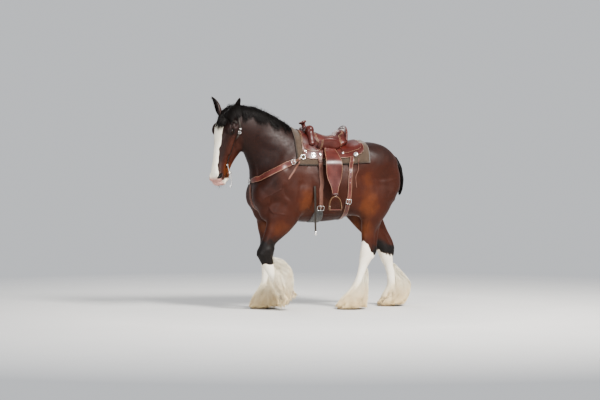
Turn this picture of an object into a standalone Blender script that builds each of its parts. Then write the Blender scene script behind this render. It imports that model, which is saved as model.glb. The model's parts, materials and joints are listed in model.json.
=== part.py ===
"""A clydesdale horse in tack, life-size, in the middle of a walking step. Metres, +Z up.

It faces -X with its head turned to its left (-Y), and stands on three hooves with the left fore lifted.
The flesh is one signed field of ovals that blend into each other, cut into named nodes by planes.
"""
import math

import bmesh
import bpy
import numpy as np
from mathutils import Matrix, Vector
from mathutils.bvhtree import BVHTree

# Driving dimensions, all read off the photograph at the scale that a withers height of 1.80 m gives.
HEAD_TURN = math.radians(31)
HEAD_PITCH = math.radians(12)
POLL = (-1.13, -0.135, 2.09)
EYE = (0.235, -0.050)
LID_HALF = (0.024, 0.015)
EAR_LENGTH = 0.20
LEG_OFFSET = 0.17
FORE_CUT = 0.93
HIND_CUT = 0.985
GAP = 0.0003
PAD_THICKNESS = 0.022
SKIRT_THICKNESS = 0.007
STRAP_THICKNESS = 0.005
COLLAR_WIDTH = 0.055
FRONT_CINCH_X = -0.14
REAR_CINCH_X = 0.17
STIRRUP_AT = (-0.02, 0.43, 1.04)

for stale in list(bpy.data.objects):
    bpy.data.objects.remove(stale)


FAR = 10.0
RESAMPLE = 0.03


def smooth_min(a, b, reach):
    """The smaller field, with the crease between the two rounded over reach."""
    share = np.maximum(reach - np.abs(a - b), 0.0) / reach
    return np.minimum(a, b) - share * share * reach * 0.25


def smooth_max(a, b, reach):
    return -smooth_min(-a, -b, reach)


class Frame:
    """A rigid frame: an origin and three unit axes."""

    def __init__(self, origin=(0, 0, 0), axes=((1, 0, 0), (0, 1, 0), (0, 0, 1))):
        self.origin = np.array(origin, float)
        self.axes = np.array(axes, float)

    def out(self, local):
        return self.origin + np.asarray(local, float) @ self.axes

    def turn(self, local):
        return np.asarray(local, float) @ self.axes


BODY = Frame()


def unit(v):
    v = np.asarray(v, float)
    return v / np.linalg.norm(v)


class Mass:
    """A tube of oval sections. Each station is (front or top point, back or bottom point, side, half width, egg)
    in the frame's own plane, and side is the offset across that plane."""

    def __init__(self, stations, blend=0.04, cap=0.05, frame=BODY, power=2.0, carve=False):
        self.blend, self.power, self.carve = blend, power, carve
        rows = []
        for (ax, az), (bx, bz), side, width, egg in stations:
            a = frame.out((ax, side, az))
            b = frame.out((bx, side, bz))
            rows.append(np.concatenate([(a + b) / 2, (a - b) / 2, [width, egg]]))
        self.rows = resampled(np.array(rows))
        self.across = frame.turn((0, 1, 0))
        self.caps = cap

    def box(self, grow):
        reach = np.maximum(np.linalg.norm(self.rows[:, 3:6], axis=1), self.rows[:, 6]) + grow + self.caps
        return (self.rows[:, :3] - reach[:, None]).min(0), (self.rows[:, :3] + reach[:, None]).max(0)

    def planes(self):
        """The forward normal of each row's section."""
        out = []
        for i, row in enumerate(self.rows):
            run = self.rows[min(i + 1, len(self.rows) - 1), :3] - self.rows[max(i - 1, 0), :3]
            normal = np.cross(row[3:6], self.across)
            normal /= np.linalg.norm(normal)
            out.append(normal if normal @ run > 0 else -normal)
        return np.array(out)

    def field(self, grid, window):
        """The tube's distance on the window of the grid. Each point is measured in the section through it."""
        shape = [s.stop - s.start for s in window]
        best = np.full(shape, FAR, np.float32)
        last = len(self.rows) - 2
        planes = self.planes()
        for i in range(last + 1):
            a, b = self.rows[i], self.rows[i + 1]
            reach = max(np.linalg.norm(a[3:6]), np.linalg.norm(b[3:6]), a[6], b[6]) + grid.margin
            part = grid.window(np.minimum(a[:3], b[:3]) - reach, np.maximum(a[:3], b[:3]) + reach)
            part = overlap(part, window)
            if part is None:
                continue
            p = grid.points(part)
            before = (p - a[:3].astype(np.float32)) @ planes[i].astype(np.float32)
            after = (p - b[:3].astype(np.float32)) @ planes[i + 1].astype(np.float32)
            here = ((before >= 0) | (i == 0)) & ((after <= 0) | (i == last))
            before, after, p = before[here], after[here], p[here]
            if not len(p):
                continue
            over = np.maximum(np.maximum(-before, after), 0)
            gap = before - after
            h = np.clip(before / np.where(np.abs(gap) < 1e-6, 1e-6, gap), 0, 1)[:, None]
            up = a[3:6] + h * (b[3:6] - a[3:6])
            depth = np.sqrt((up * up).sum(-1))
            q = p - (a[:3] + h * (b[:3] - a[:3]))
            s = np.abs(q @ self.across)
            u = (q * up).sum(-1) / depth
            h = h[:, 0]
            width = a[6] + h * (b[6] - a[6])
            egg = a[7] + h * (b[7] - a[7])
            width = width * np.clip(1 + egg * u / depth, 0.3, 1.7)
            u = np.abs(u)
            n = self.power
            k = ((s / width) ** n + (u / depth) ** n) ** (1 / n) + 1e-6
            g2 = k ** (2 - 2 * n) * ((s ** (n - 1) / width ** n) ** 2 + (u ** (n - 1) / depth ** n) ** 2)
            whole = np.sqrt(k * k + (over / self.caps) ** 2)
            g = np.sqrt((k / whole) ** 2 * g2 + (over / self.caps ** 2 / whole) ** 2)
            d = np.where(whole < 0.25, -0.7 * np.minimum(width, depth), (whole - 1) / (g + 1e-6))
            d = np.clip(d, -FAR, FAR)
            local = tuple(slice(x.start - y.start, x.stop - y.start) for x, y in zip(part, window))
            there = best[local]
            there[here] = np.minimum(there[here], d)
        return best


def resampled(rows):
    """Catmull-Rom points through the stations, about RESAMPLE apart."""
    if len(rows) == 1:
        return rows
    out = []
    padded = np.vstack([2 * rows[0] - rows[1], rows, 2 * rows[-1] - rows[-2]])
    for i in range(1, len(padded) - 2):
        p0, p1, p2, p3 = padded[i - 1 : i + 3]
        steps = max(1, int(np.linalg.norm((p2 - p1)[:3]) / RESAMPLE + 0.5))
        for t in np.arange(steps) / steps:
            out.append(0.5 * (2 * p1 + (p2 - p0) * t + (2 * p0 - 5 * p1 + 4 * p2 - p3) * t * t
                              + (3 * p1 - p0 - 3 * p2 + p3) * t ** 3))
    out.append(rows[-1])
    return np.array(out)


class Blob:
    """An ellipsoid: centre, radii and axes in the frame, turned by pitch, yaw and roll in degrees."""

    def __init__(self, centre, radii, blend=0.04, pitch=0.0, yaw=0.0, roll=0.0, frame=BODY, carve=False):
        self.blend, self.carve = blend, carve
        self.centre = frame.out(centre)
        self.radii = np.array(radii, float)
        c, s = math.cos(math.radians(pitch)), math.sin(math.radians(pitch))
        turn = np.array([[c, 0, -s], [0, 1, 0], [s, 0, c]])
        c, s = math.cos(math.radians(yaw)), math.sin(math.radians(yaw))
        turn = turn @ np.array([[c, s, 0], [-s, c, 0], [0, 0, 1]])
        c, s = math.cos(math.radians(roll)), math.sin(math.radians(roll))
        turn = turn @ np.array([[1, 0, 0], [0, c, s], [0, -s, c]])
        self.axes = turn @ frame.axes

    def box(self, grow):
        reach = np.sqrt(((self.axes * self.radii[:, None]) ** 2).sum(0)) + grow
        return self.centre - reach, self.centre + reach

    def field(self, grid, window):
        q = (grid.points(window) - self.centre) @ self.axes.T
        k = np.sqrt(((q / self.radii) ** 2).sum(-1)) + 1e-6
        g = np.sqrt(((q / self.radii ** 2) ** 2).sum(-1)) + 1e-6
        return np.where(k < 0.2, -0.8 * self.radii.min(), k * (k - 1) / g)


class Grid:
    """A box of points a step apart, and the field on them."""

    def __init__(self, low, high, step, margin=0.09):
        self.low, self.step, self.margin = np.array(low, float), step, margin
        self.count = np.ceil((np.array(high, float) - self.low) / step).astype(int) + 1
        self.field = np.full(self.count, FAR, np.float32)

    def window(self, low, high):
        first = np.clip(np.floor((low - self.low) / self.step).astype(int), 0, self.count)
        last = np.clip(np.ceil((high - self.low) / self.step).astype(int) + 1, 0, self.count)
        return tuple(slice(a, b) for a, b in zip(first, last))

    def points(self, window):
        axes = [(self.low[i] + self.step * np.arange(w.start, w.stop)).astype(np.float32)
                for i, w in enumerate(window)]
        return np.stack(np.meshgrid(*axes, indexing="ij"), -1)

    def add(self, mass):
        window = self.window(*mass.box(self.margin))
        if any(w.stop - w.start < 1 for w in window):
            return
        d = mass.field(self, window)
        if mass.carve:
            self.field[window] = smooth_max(self.field[window], -d, mass.blend)
        else:
            self.field[window] = smooth_min(self.field[window], d, mass.blend)


def overlap(a, b):
    part = tuple(slice(max(x.start, y.start), min(x.stop, y.stop)) for x, y in zip(a, b))
    return None if any(s.stop <= s.start for s in part) else part


CORNERS = [(i, j, k) for i in (0, 1) for j in (0, 1) for k in (0, 1)]


def doubled_patterns():
    """For each of the 256 ways in which a cell's corners can be inside, whether two sheets cross it."""
    out = np.zeros(256, bool)
    for pattern in range(256):
        for wanted in (0, 1):
            left = {n for n in range(8) if (pattern >> n & 1) == wanted}
            if not left:
                continue
            stack = [left.pop()]
            while stack:
                a = stack.pop()
                near = {b for b in left if bin(a ^ b).count("1") == 1}
                left -= near
                stack.extend(near)
            out[pattern] |= bool(left)
    return out


def single_sheets(field, step):
    """Moves corner values until no cell is crossed by two sheets, so that the surface never meets itself."""
    doubled = doubled_patterns()
    for _ in range(30):
        parts = [field[tuple(slice(d, n - 1 + d) for d, n in zip(corner, field.shape))] for corner in CORNERS]
        pattern = np.zeros(parts[0].shape, np.uint8)
        for n, part in enumerate(parts):
            pattern |= (part < 0).astype(np.uint8) << n
        cells = np.argwhere(doubled[pattern])
        if not len(cells):
            break
        values = np.stack([part[tuple(cells.T)] for part in parts], 1)
        values = np.where(values < 0, values, -FAR)
        weakest = np.array(CORNERS)[values.argmax(1)] + cells
        field[tuple(weakest.T)] = step * 0.02


def surface_net(field, low, step):
    """Points and quads of the field's zero surface. The grid's border counts as outside."""
    field = field.copy()
    for axis in range(3):
        for end in (0, -1):
            where = [slice(None)] * 3
            where[axis] = end
            field[tuple(where)] = np.maximum(field[tuple(where)], step * 0.5)
    single_sheets(field, step)
    inside = field < 0
    strides = np.array([field.shape[1] * field.shape[2], field.shape[2], 1])
    cells, crossings, quads = [], [], []
    for axis in range(3):
        first, second = [slice(None)] * 3, [slice(None)] * 3
        first[axis], second[axis] = slice(None, -1), slice(1, None)
        at = np.argwhere(inside[tuple(first)] != inside[tuple(second)])
        fa = field[tuple(first)][tuple(at.T)]
        fb = field[tuple(second)][tuple(at.T)]
        point = at.astype(float)
        point[:, axis] += fa / (fa - fb)
        around = []
        for du, dv in ((0, 0), (-1, 0), (-1, -1), (0, -1)):
            cell = at.copy()
            cell[:, (axis + 1) % 3] += du
            cell[:, (axis + 2) % 3] += dv
            around.append(cell @ strides)
            cells.append(around[-1])
            crossings.append(point)
        around = np.stack(around, 1)
        quads.append(np.where((fa < 0)[:, None], around, around[:, ::-1]))
    ids, index = np.unique(np.concatenate(cells), return_inverse=True)
    crossings = np.concatenate(crossings)
    count = np.bincount(index)
    points = np.stack([np.bincount(index, crossings[:, i]) / count for i in range(3)], 1)
    quads = np.searchsorted(ids, np.concatenate(quads))
    return low + step * points, quads


AHEAD = np.array([-math.cos(HEAD_TURN), -math.sin(HEAD_TURN), 0])
UP = np.array([0, 0, 1.0])
# In the head's frame the three numbers are: down the face, to the horse's left, out of the forehead.
HEAD = Frame(POLL, (-math.cos(HEAD_PITCH) * UP + math.sin(HEAD_PITCH) * AHEAD,
                    np.cross(UP, AHEAD),
                    math.cos(HEAD_PITCH) * AHEAD + math.sin(HEAD_PITCH) * UP))
SIDES = (-1, 1)


def trunk():
    yield Mass([
        ((-0.76, 1.50), (-0.76, 1.05), 0, 0.15, 0),
        ((-0.66, 1.66), (-0.66, 0.985), 0, 0.235, 0.0),
        ((-0.52, 1.76), (-0.52, 0.945), 0, 0.275, -0.05),
        ((-0.36, 1.82), (-0.36, 0.925), 0, 0.285, -0.2),
        ((-0.20, 1.815), (-0.20, 0.915), 0, 0.305, -0.25),
        ((-0.04, 1.755), (-0.04, 0.912), 0, 0.335, -0.15),
        ((0.12, 1.725), (0.12, 0.93), 0, 0.35, -0.08),
        ((0.27, 1.735), (0.27, 0.985), 0, 0.345, 0),
        ((0.40, 1.752), (0.40, 1.07), 0, 0.31, 0.05),
        ((0.53, 1.728), (0.53, 1.14), 0, 0.27, 0.05),
        ((0.63, 1.67), (0.63, 1.22), 0, 0.22, 0),
        ((0.70, 1.59), (0.70, 1.32), 0, 0.15, 0),
    ], blend=0.05, cap=0.05)
    for side in SIDES:
        # Haunch: the point of the hip, the croup, the buttock, the stifle and the flank.
        yield Blob((0.34, 0.225 * side, 1.57), (0.13, 0.09, 0.12), 0.10)
        yield Blob((0.49, 0.15 * side, 1.50), (0.24, 0.165, 0.205), 0.12, pitch=-20)
        yield Mass([
            ((0.50, 1.56), (0.715, 1.525), 0.10 * side, 0.10, 0),
            ((0.50, 1.42), (0.775, 1.40), 0.125 * side, 0.13, 0),
            ((0.47, 1.27), (0.775, 1.27), 0.15 * side, 0.135, 0),
            ((0.45, 1.15), (0.715, 1.16), 0.175 * side, 0.12, 0),
        ], blend=0.08, cap=0.06)
        yield Blob((0.38, 0.20 * side, 1.17), (0.135, 0.115, 0.22), 0.10, pitch=8)
        yield Blob((0.24, 0.19 * side, 1.17), (0.16, 0.13, 0.16), 0.10, pitch=20)
        # Shoulder: blade, point, triceps, and the breast's two bulges.
        yield Mass([
            ((-0.38, 1.72), (-0.22, 1.68), 0.13 * side, 0.05, 0),
            ((-0.52, 1.58), (-0.24, 1.50), 0.18 * side, 0.085, 0),
            ((-0.66, 1.42), (-0.32, 1.30), 0.195 * side, 0.11, 0),
            ((-0.745, 1.28), (-0.42, 1.14), 0.185 * side, 0.115, 0),
        ], blend=0.07, cap=0.09)
        yield Blob((-0.38, 0.215 * side, 1.17), (0.17, 0.10, 0.16), 0.07, pitch=-25)
        yield Blob((-0.69, 0.135 * side, 1.20), (0.13, 0.13, 0.17), 0.05, pitch=10)
        yield Blob((-0.62, 0.12 * side, 1.02), (0.13, 0.11, 0.11), 0.05)


def neck():
    yield Mass([
        ((-0.20, 1.77), (-0.72, 1.22), 0.0, 0.25, 0.1),
        ((-0.34, 1.86), (-0.79, 1.37), -0.002, 0.215, 0.05),
        ((-0.48, 1.955), (-0.825, 1.48), -0.012, 0.18, 0.0),
        ((-0.62, 2.03), (-0.86, 1.56), -0.035, 0.155, -0.05),
        ((-0.76, 2.085), (-0.90, 1.63), -0.07, 0.135, -0.1),
        ((-0.91, 2.115), (-0.965, 1.70), -0.100, 0.118, -0.1),
        ((-1.04, 2.105), (-1.04, 1.78), -0.122, 0.105, 0.0),
    ], blend=0.06, cap=0.05)


def head():
    def at(down, out):
        return (down, out)

    # Skull and upper jaw.
    yield Mass([
        (at(-0.01, -0.075), at(0.0, -0.20), 0, 0.080, 0),
        (at(0.07, -0.025), at(0.09, -0.24), 0, 0.108, 0),
        (at(0.16, 0.012), at(0.18, -0.22), 0, 0.128, 0.0),
        (at(0.25, 0.022), at(0.26, -0.19), 0, 0.124, 0.0),
        (at(0.35, 0.022), at(0.36, -0.17), 0, 0.098, -0.10),
        (at(0.46, 0.020), at(0.47, -0.15), 0, 0.078, -0.15),
        (at(0.56, 0.016), at(0.57, -0.14), 0, 0.069, -0.1),
        (at(0.65, 0.010), at(0.655, -0.135), 0, 0.073, 0),
        (at(0.725, -0.010), at(0.72, -0.13), 0, 0.074, 0),
        (at(0.765, -0.040), at(0.755, -0.125), 0, 0.058, 0),
    ], blend=0.05, cap=0.025, frame=HEAD, power=2.3)
    # Lower jaw.
    yield Mass([
        (at(0.10, -0.15), at(0.13, -0.30), 0, 0.080, 0),
        (at(0.20, -0.15), at(0.22, -0.365), 0, 0.088, 0),
        (at(0.30, -0.14), at(0.32, -0.37), 0, 0.084, 0),
        (at(0.39, -0.12), at(0.41, -0.305), 0, 0.070, 0),
        (at(0.49, -0.10), at(0.505, -0.245), 0, 0.058, 0),
        (at(0.59, -0.10), at(0.60, -0.205), 0, 0.052, 0),
        (at(0.67, -0.11), at(0.675, -0.200), 0, 0.054, 0),
        (at(0.73, -0.12), at(0.73, -0.185), 0, 0.046, 0),
    ], blend=0.035, cap=0.02, frame=HEAD)
    for side in SIDES:
        # Cheek, brow, the ridge below the eye, and the nostril's wing.
        yield Blob((0.27, 0.068 * side, -0.255), (0.125, 0.042, 0.105), 0.03, frame=HEAD)
        yield Blob((0.205, 0.108 * side, -0.030), (0.060, 0.030, 0.034), 0.035, frame=HEAD, pitch=-8)
        yield Blob((0.235, 0.104 * side, -0.052), (0.036, 0.026, 0.028), 0.02, frame=HEAD)
        yield Mass([
            (at(0.285, -0.088), at(0.295, -0.118), 0.108 * side, 0.014, 0),
            (at(0.360, -0.088), at(0.365, -0.118), 0.098 * side, 0.013, 0),
            (at(0.450, -0.090), at(0.455, -0.116), 0.080 * side, 0.010, 0),
        ], blend=0.025, cap=0.012, frame=HEAD)
        yield Blob((0.715, 0.056 * side, -0.042), (0.046, 0.030, 0.040), 0.02, frame=HEAD)
        yield Blob((0.055, 0.062 * side, -0.085), (0.045, 0.035, 0.045), 0.03, frame=HEAD)
    yield Blob((0.770, 0, -0.075), (0.030, 0.056, 0.044), 0.02, frame=HEAD)
    yield Blob((0.750, 0, -0.145), (0.032, 0.046, 0.028), 0.012, frame=HEAD)
    yield Blob((0.700, 0, -0.180), (0.035, 0.042, 0.026), 0.02, frame=HEAD)
    for side in SIDES:
        # Eye socket, nostril, the hollow above the eye and that behind the cheek bone.
        yield Blob((0.705, 0.084 * side, -0.030), (0.034, 0.026, 0.013), 0.012, frame=HEAD, carve=True, pitch=-35)
        yield Blob((0.145, 0.134 * side, -0.060), (0.035, 0.018, 0.025), 0.03, frame=HEAD, carve=True)
        yield Mass([
            (at(0.640, -0.143), at(0.640, -0.151), 0.075 * side, 0.020, 0),
            (at(0.700, -0.126), at(0.700, -0.134), 0.060 * side, 0.020, 0),
            (at(0.760, -0.112), at(0.760, -0.120), 0.035 * side, 0.024, 0),
            (at(0.800, -0.106), at(0.800, -0.114), 0.0, 0.030, 0),
        ], blend=0.008, cap=0.01, frame=HEAD, carve=True)
        # Lids.
        yield Mass([
            (at(0.200, -0.052), at(0.212, -0.058), 0.120 * side, 0.007, 0),
            (at(0.215, -0.033), at(0.222, -0.047), 0.132 * side, 0.007, 0),
            (at(0.240, -0.030), at(0.238, -0.044), 0.134 * side, 0.007, 0),
            (at(0.262, -0.044), at(0.252, -0.052), 0.126 * side, 0.007, 0),
            (at(0.274, -0.062), at(0.262, -0.064), 0.112 * side, 0.006, 0),
        ], blend=0.008, cap=0.006, frame=HEAD)
        yield Mass([
            (at(0.203, -0.062), at(0.213, -0.058), 0.118 * side, 0.006, 0),
            (at(0.222, -0.082), at(0.226, -0.070), 0.121 * side, 0.006, 0),
            (at(0.248, -0.084), at(0.246, -0.072), 0.119 * side, 0.006, 0),
            (at(0.272, -0.072), at(0.264, -0.064), 0.110 * side, 0.006, 0),
        ], blend=0.008, cap=0.006, frame=HEAD)


def leg(rows, blend=0.04, cap=0.03):
    return Mass([((a, z1), (b, z2), side, width, egg) for a, z1, b, z2, side, width, egg in rows], blend, cap)


def fore_far():
    s = 0.17
    yield leg([
        (-0.68, 1.10, -0.40, 1.08, 0.19, 0.105, 0),
        (-0.695, 0.97, -0.45, 0.97, 0.185, 0.095, 0),
        (-0.685, 0.85, -0.49, 0.85, s, 0.082, 0),
        (-0.660, 0.73, -0.525, 0.73, s, 0.066, 0),
        (-0.665, 0.64, -0.535, 0.64, s, 0.066, 0),
        (-0.670, 0.585, -0.525, 0.585, s, 0.068, 0),
        (-0.655, 0.51, -0.540, 0.51, s, 0.055, 0),
        (-0.645, 0.42, -0.555, 0.42, s, 0.043, 0),
        (-0.645, 0.32, -0.555, 0.32, s, 0.043, 0),
        (-0.660, 0.24, -0.545, 0.23, s, 0.056, 0),
        (-0.690, 0.17, -0.585, 0.145, s, 0.055, 0),
        (-0.735, 0.10, -0.590, 0.085, s, 0.068, 0),
    ])


def fore_near():
    s = -0.17
    yield leg([
        (-0.60, 1.16, -0.30, 1.08, -0.20, 0.10, 0),
        (-0.68, 1.02, -0.345, 0.94, -0.20, 0.10, 0),
        (-0.690, 0.88, -0.44, 0.82, -0.185, 0.085, 0),
        (-0.730, 0.74, -0.565, 0.71, s, 0.068, 0),
        (-0.765, 0.655, -0.600, 0.66, s, 0.066, 0),
        (-0.785, 0.58, -0.615, 0.60, s, 0.066, 0),
    ])
    yield leg([
        (-0.775, 0.61, -0.60, 0.64, s, 0.066, 0),
        (-0.765, 0.54, -0.615, 0.585, s, 0.060, 0),
        (-0.720, 0.455, -0.610, 0.50, s, 0.046, 0),
        (-0.660, 0.355, -0.572, 0.395, s, 0.043, 0),
        (-0.605, 0.265, -0.490, 0.305, s, 0.056, 0),
        (-0.570, 0.165, -0.475, 0.215, s, 0.055, 0),
    ])


def hind_near():
    s = -0.17
    yield leg([
        (0.30, 1.32, 0.68, 1.33, -0.185, 0.120, 0),
        (0.290, 1.17, 0.690, 1.18, -0.200, 0.125, 0),
        (0.310, 1.05, 0.640, 1.04, -0.205, 0.108, 0),
        (0.335, 0.93, 0.565, 0.92, -0.195, 0.090, 0),
        (0.345, 0.81, 0.510, 0.82, s, 0.072, 0),
        (0.348, 0.70, 0.495, 0.72, s, 0.060, 0),
        (0.335, 0.62, 0.490, 0.62, s, 0.064, 0),
        (0.325, 0.53, 0.468, 0.53, s, 0.056, 0),
        (0.315, 0.44, 0.420, 0.45, s, 0.044, 0),
        (0.285, 0.33, 0.380, 0.36, s, 0.043, 0),
        (0.235, 0.235, 0.350, 0.25, s, 0.056, 0),
        (0.175, 0.165, 0.280, 0.16, s, 0.055, 0),
        (0.120, 0.10, 0.265, 0.09, s, 0.068, 0),
    ])
    yield leg([
        (0.49, 0.90, 0.555, 0.89, s, 0.03, 0),
        (0.485, 0.78, 0.532, 0.775, s, 0.020, 0),
        (0.465, 0.68, 0.522, 0.68, s, 0.024, 0),
        (0.450, 0.605, 0.515, 0.60, s, 0.030, 0),
        (0.440, 0.545, 0.482, 0.54, s, 0.028, 0),
    ], blend=0.03, cap=0.015)


def hind_far():
    s = 0.17
    yield leg([
        (0.29, 1.32, 0.70, 1.34, 0.185, 0.120, 0),
        (0.26, 1.14, 0.715, 1.20, 0.200, 0.125, 0),
        (0.285, 0.99, 0.68, 1.06, 0.205, 0.108, 0),
        (0.375, 0.87, 0.650, 0.95, 0.195, 0.088, 0),
        (0.490, 0.75, 0.675, 0.84, s, 0.070, 0),
        (0.590, 0.65, 0.735, 0.73, s, 0.060, 0),
        (0.640, 0.570, 0.790, 0.62, s, 0.064, 0),
        (0.675, 0.49, 0.808, 0.52, s, 0.056, 0),
        (0.715, 0.42, 0.815, 0.435, s, 0.043, 0),
        (0.742, 0.32, 0.840, 0.33, s, 0.043, 0),
        (0.745, 0.23, 0.865, 0.225, s, 0.056, 0),
        (0.715, 0.165, 0.825, 0.14, s, 0.055, 0),
        (0.675, 0.10, 0.820, 0.085, s, 0.068, 0),
    ])
    yield leg([
        (0.640, 0.92, 0.700, 0.950, s, 0.03, 0),
        (0.700, 0.80, 0.742, 0.825, s, 0.020, 0),
        (0.745, 0.695, 0.800, 0.715, s, 0.024, 0),
        (0.765, 0.61, 0.828, 0.625, s, 0.030, 0),
        (0.775, 0.55, 0.820, 0.555, s, 0.028, 0),
    ], blend=0.03, cap=0.015)



FLESH = list(trunk()) + list(neck()) + list(fore_far()) + list(fore_near())
FLESH += list(hind_near()) + list(hind_far())
FLESH += list(head())


# Materials.
def material(name, colour, roughness=0.6, metallic=0.0):
    found = bpy.data.materials.new(name)
    found.use_nodes = True
    shader = found.node_tree.nodes["Principled BSDF"]
    shader.inputs["Base Color"].default_value = (*colour, 1)
    shader.inputs["Roughness"].default_value = roughness
    shader.inputs["Metallic"].default_value = metallic
    found.diffuse_color = (*colour, 1)
    return found


BAY = material("bay_coat", (0.16, 0.055, 0.025), 0.55)
BLACK = material("black_hair", (0.012, 0.010, 0.012), 0.6)
CREAM = material("white_feather", (0.75, 0.68, 0.55), 0.7)
HORN = material("hoof_horn", (0.22, 0.17, 0.12), 0.5)
DARK_EYE = material("dark_eye", (0.015, 0.008, 0.005), 0.1)
LEATHER = material("chestnut_leather", (0.20, 0.045, 0.022), 0.4)
DARK_LEATHER = material("dark_leather", (0.035, 0.018, 0.012), 0.4)
FELT = material("grey_felt", (0.30, 0.25, 0.20), 0.95)
WEBBING = material("charcoal_webbing", (0.03, 0.03, 0.035), 0.9)
STEEL = material("bright_steel", (0.62, 0.62, 0.60), 0.25, 1.0)
RAWHIDE = material("pale_rawhide", (0.55, 0.42, 0.28), 0.5)


# Mesh tools.
def make(name, points, faces, look, smooth=True, hidden=False):
    mesh = bpy.data.meshes.new(name)
    mesh.from_pydata([tuple(map(float, p)) for p in points], [], [tuple(map(int, f)) for f in faces])
    mesh.validate()
    obj = bpy.data.objects.new(name, mesh)
    bpy.context.scene.collection.objects.link(obj)
    mesh.materials.append(look)
    if smooth:
        mesh.shade_smooth()
    if hidden:
        obj.hide_render = True
        obj.display_type = "WIRE"
    return obj


def remove(obj):
    mesh = obj.data
    bpy.data.objects.remove(obj)
    bpy.data.meshes.remove(mesh)


def bake(obj):
    """Puts the evaluated mesh in place of the object's mesh and modifiers."""
    bpy.context.view_layer.update()
    graph = bpy.context.evaluated_depsgraph_get()
    fresh = bpy.data.meshes.new_from_object(obj.evaluated_get(graph))
    old = obj.data
    obj.modifiers.clear()
    obj.data = fresh
    bpy.data.meshes.remove(old)
    fresh.name = obj.name


def edit(obj, work):
    """Runs work on the object's mesh as a bmesh."""
    bm = bmesh.new()
    bm.from_mesh(obj.data)
    work(bm)
    bm.to_mesh(obj.data)
    bm.free()


def boolean(obj, other, operation, solver="EXACT"):
    step = obj.modifiers.new("cut", "BOOLEAN")
    step.operation = operation
    step.solver = solver
    step.object = other
    bake(obj)


def tidy(obj):
    """Keeps the largest closed surface, welded and in triangles."""
    def work(bm):
        bmesh.ops.remove_doubles(bm, verts=bm.verts, dist=2e-5)
        bmesh.ops.dissolve_degenerate(bm, edges=bm.edges, dist=2e-5)
        bmesh.ops.triangulate(bm, faces=bm.faces)
        left = set(bm.verts)
        shells = []
        while left:
            seed = left.pop()
            shell, stack = {seed}, [seed]
            while stack:
                for edge in stack.pop().link_edges:
                    for vert in edge.verts:
                        if vert in left:
                            left.discard(vert)
                            shell.add(vert)
                            stack.append(vert)
            shells.append(shell)
        shells.sort(key=len, reverse=True)
        for shell in shells[1:]:
            bmesh.ops.delete(bm, geom=list(shell), context="VERTS")
    edit(obj, work)


def thinned(obj, triangles):
    """Collapses edges until about this many triangles are left."""
    obj.data.calc_loop_triangles()
    step = obj.modifiers.new("thin", "DECIMATE")
    step.ratio = min(1.0, triangles / len(obj.data.loop_triangles))
    bake(obj)


def clip(obj, point, normal):
    """Cuts away what lies on the side that the normal points to, and closes the cut."""
    def work(bm):
        geometry = bm.verts[:] + bm.edges[:] + bm.faces[:]
        bmesh.ops.bisect_plane(bm, geom=geometry, dist=1e-6, plane_co=point, plane_no=normal,
                               clear_outer=True)
        rim = [e for e in bm.edges if e.is_boundary]
        bmesh.ops.holes_fill(bm, edges=rim, sides=0)
        bmesh.ops.triangulate(bm, faces=bm.faces)
        bmesh.ops.recalc_face_normals(bm, faces=bm.faces)
    edit(obj, work)


def grown(obj, by, name="cutter"):
    """A hidden copy of the object with its surface moved out."""
    copy = bpy.data.objects.new(name, obj.data.copy())
    bpy.context.scene.collection.objects.link(copy)
    copy.hide_render = True
    copy.display_type = "WIRE"

    def work(bm):
        bm.normal_update()
        moves = []
        for vert in bm.verts:
            flat = 1.0
            for face in vert.link_faces:
                flat = min(flat, vert.normal.dot(face.normal))
            moves.append(vert.normal * (by / max(flat, 0.45)))
        for vert, move in zip(bm.verts, moves):
            vert.co += move
    edit(copy, work)
    return copy


def fit(obj, others, gap=0.0005):
    """Cuts the others, each grown by the gap, out of the object."""
    for other in others:
        cutter = grown(other, gap)
        boolean(obj, cutter, "DIFFERENCE", "MANIFOLD")
        remove(cutter)
    tidy(obj)
    return obj


def box(low, high):
    (a, b, c), (d, e, f) = low, high
    points = [(x, y, z) for x in (a, d) for y in (b, e) for z in (c, f)]
    faces = [(0, 1, 3, 2), (4, 6, 7, 5), (0, 4, 5, 1), (2, 3, 7, 6), (0, 2, 6, 4), (1, 5, 7, 3)]
    return make("box", points, faces, BAY, smooth=False, hidden=True)


def polygonised(name, masses, low, high, step, triangles, look):
    """The masses' surface inside a box, thinned to about a number of triangles."""
    grid = Grid(low, high, step)
    for mass in masses:
        grid.add(mass)
    points, quads = surface_net(grid.field, grid.low, grid.step)
    obj = make(name, points, quads, look)
    tidy(obj)
    thinned(obj, triangles)
    tidy(obj)
    return obj


def loft(name, rings, look, smooth=True, hidden=False):
    """A closed solid through rings of equal length. A ring of one point closes an end."""
    points, starts = [], []
    for ring in rings:
        starts.append(len(points))
        points.extend(ring)
    faces = []
    for i in range(len(rings) - 1):
        a, b = rings[i], rings[i + 1]
        n = max(len(a), len(b))
        for j in range(n):
            k = (j + 1) % n
            corners = [starts[i] + j % len(a), starts[i] + k % len(a),
                       starts[i + 1] + k % len(b), starts[i + 1] + j % len(b)]
            faces.append(tuple(dict.fromkeys(corners)))
    if len(rings[0]) > 1:
        faces.append(tuple(reversed(range(len(rings[0])))))
    if len(rings[-1]) > 1:
        faces.append(tuple(range(starts[-1], len(points))))
    obj = make(name, points, faces, look, smooth, hidden)

    def work(bm):
        bmesh.ops.triangulate(bm, faces=bm.faces)
        bmesh.ops.recalc_face_normals(bm, faces=bm.faces)
    edit(obj, work)
    return obj


# Flesh.
NECK_POINT, NECK_NORMAL = Vector((-0.555, 0, 1.64)), Vector((-0.70, 0, 0.714)).normalized()
HEAD_POINT = Vector(HEAD.out((-0.05, 0, -0.22)))
HEAD_NORMAL = Vector(HEAD.turn(unit((0.4545, 0, 0.89))))

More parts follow.
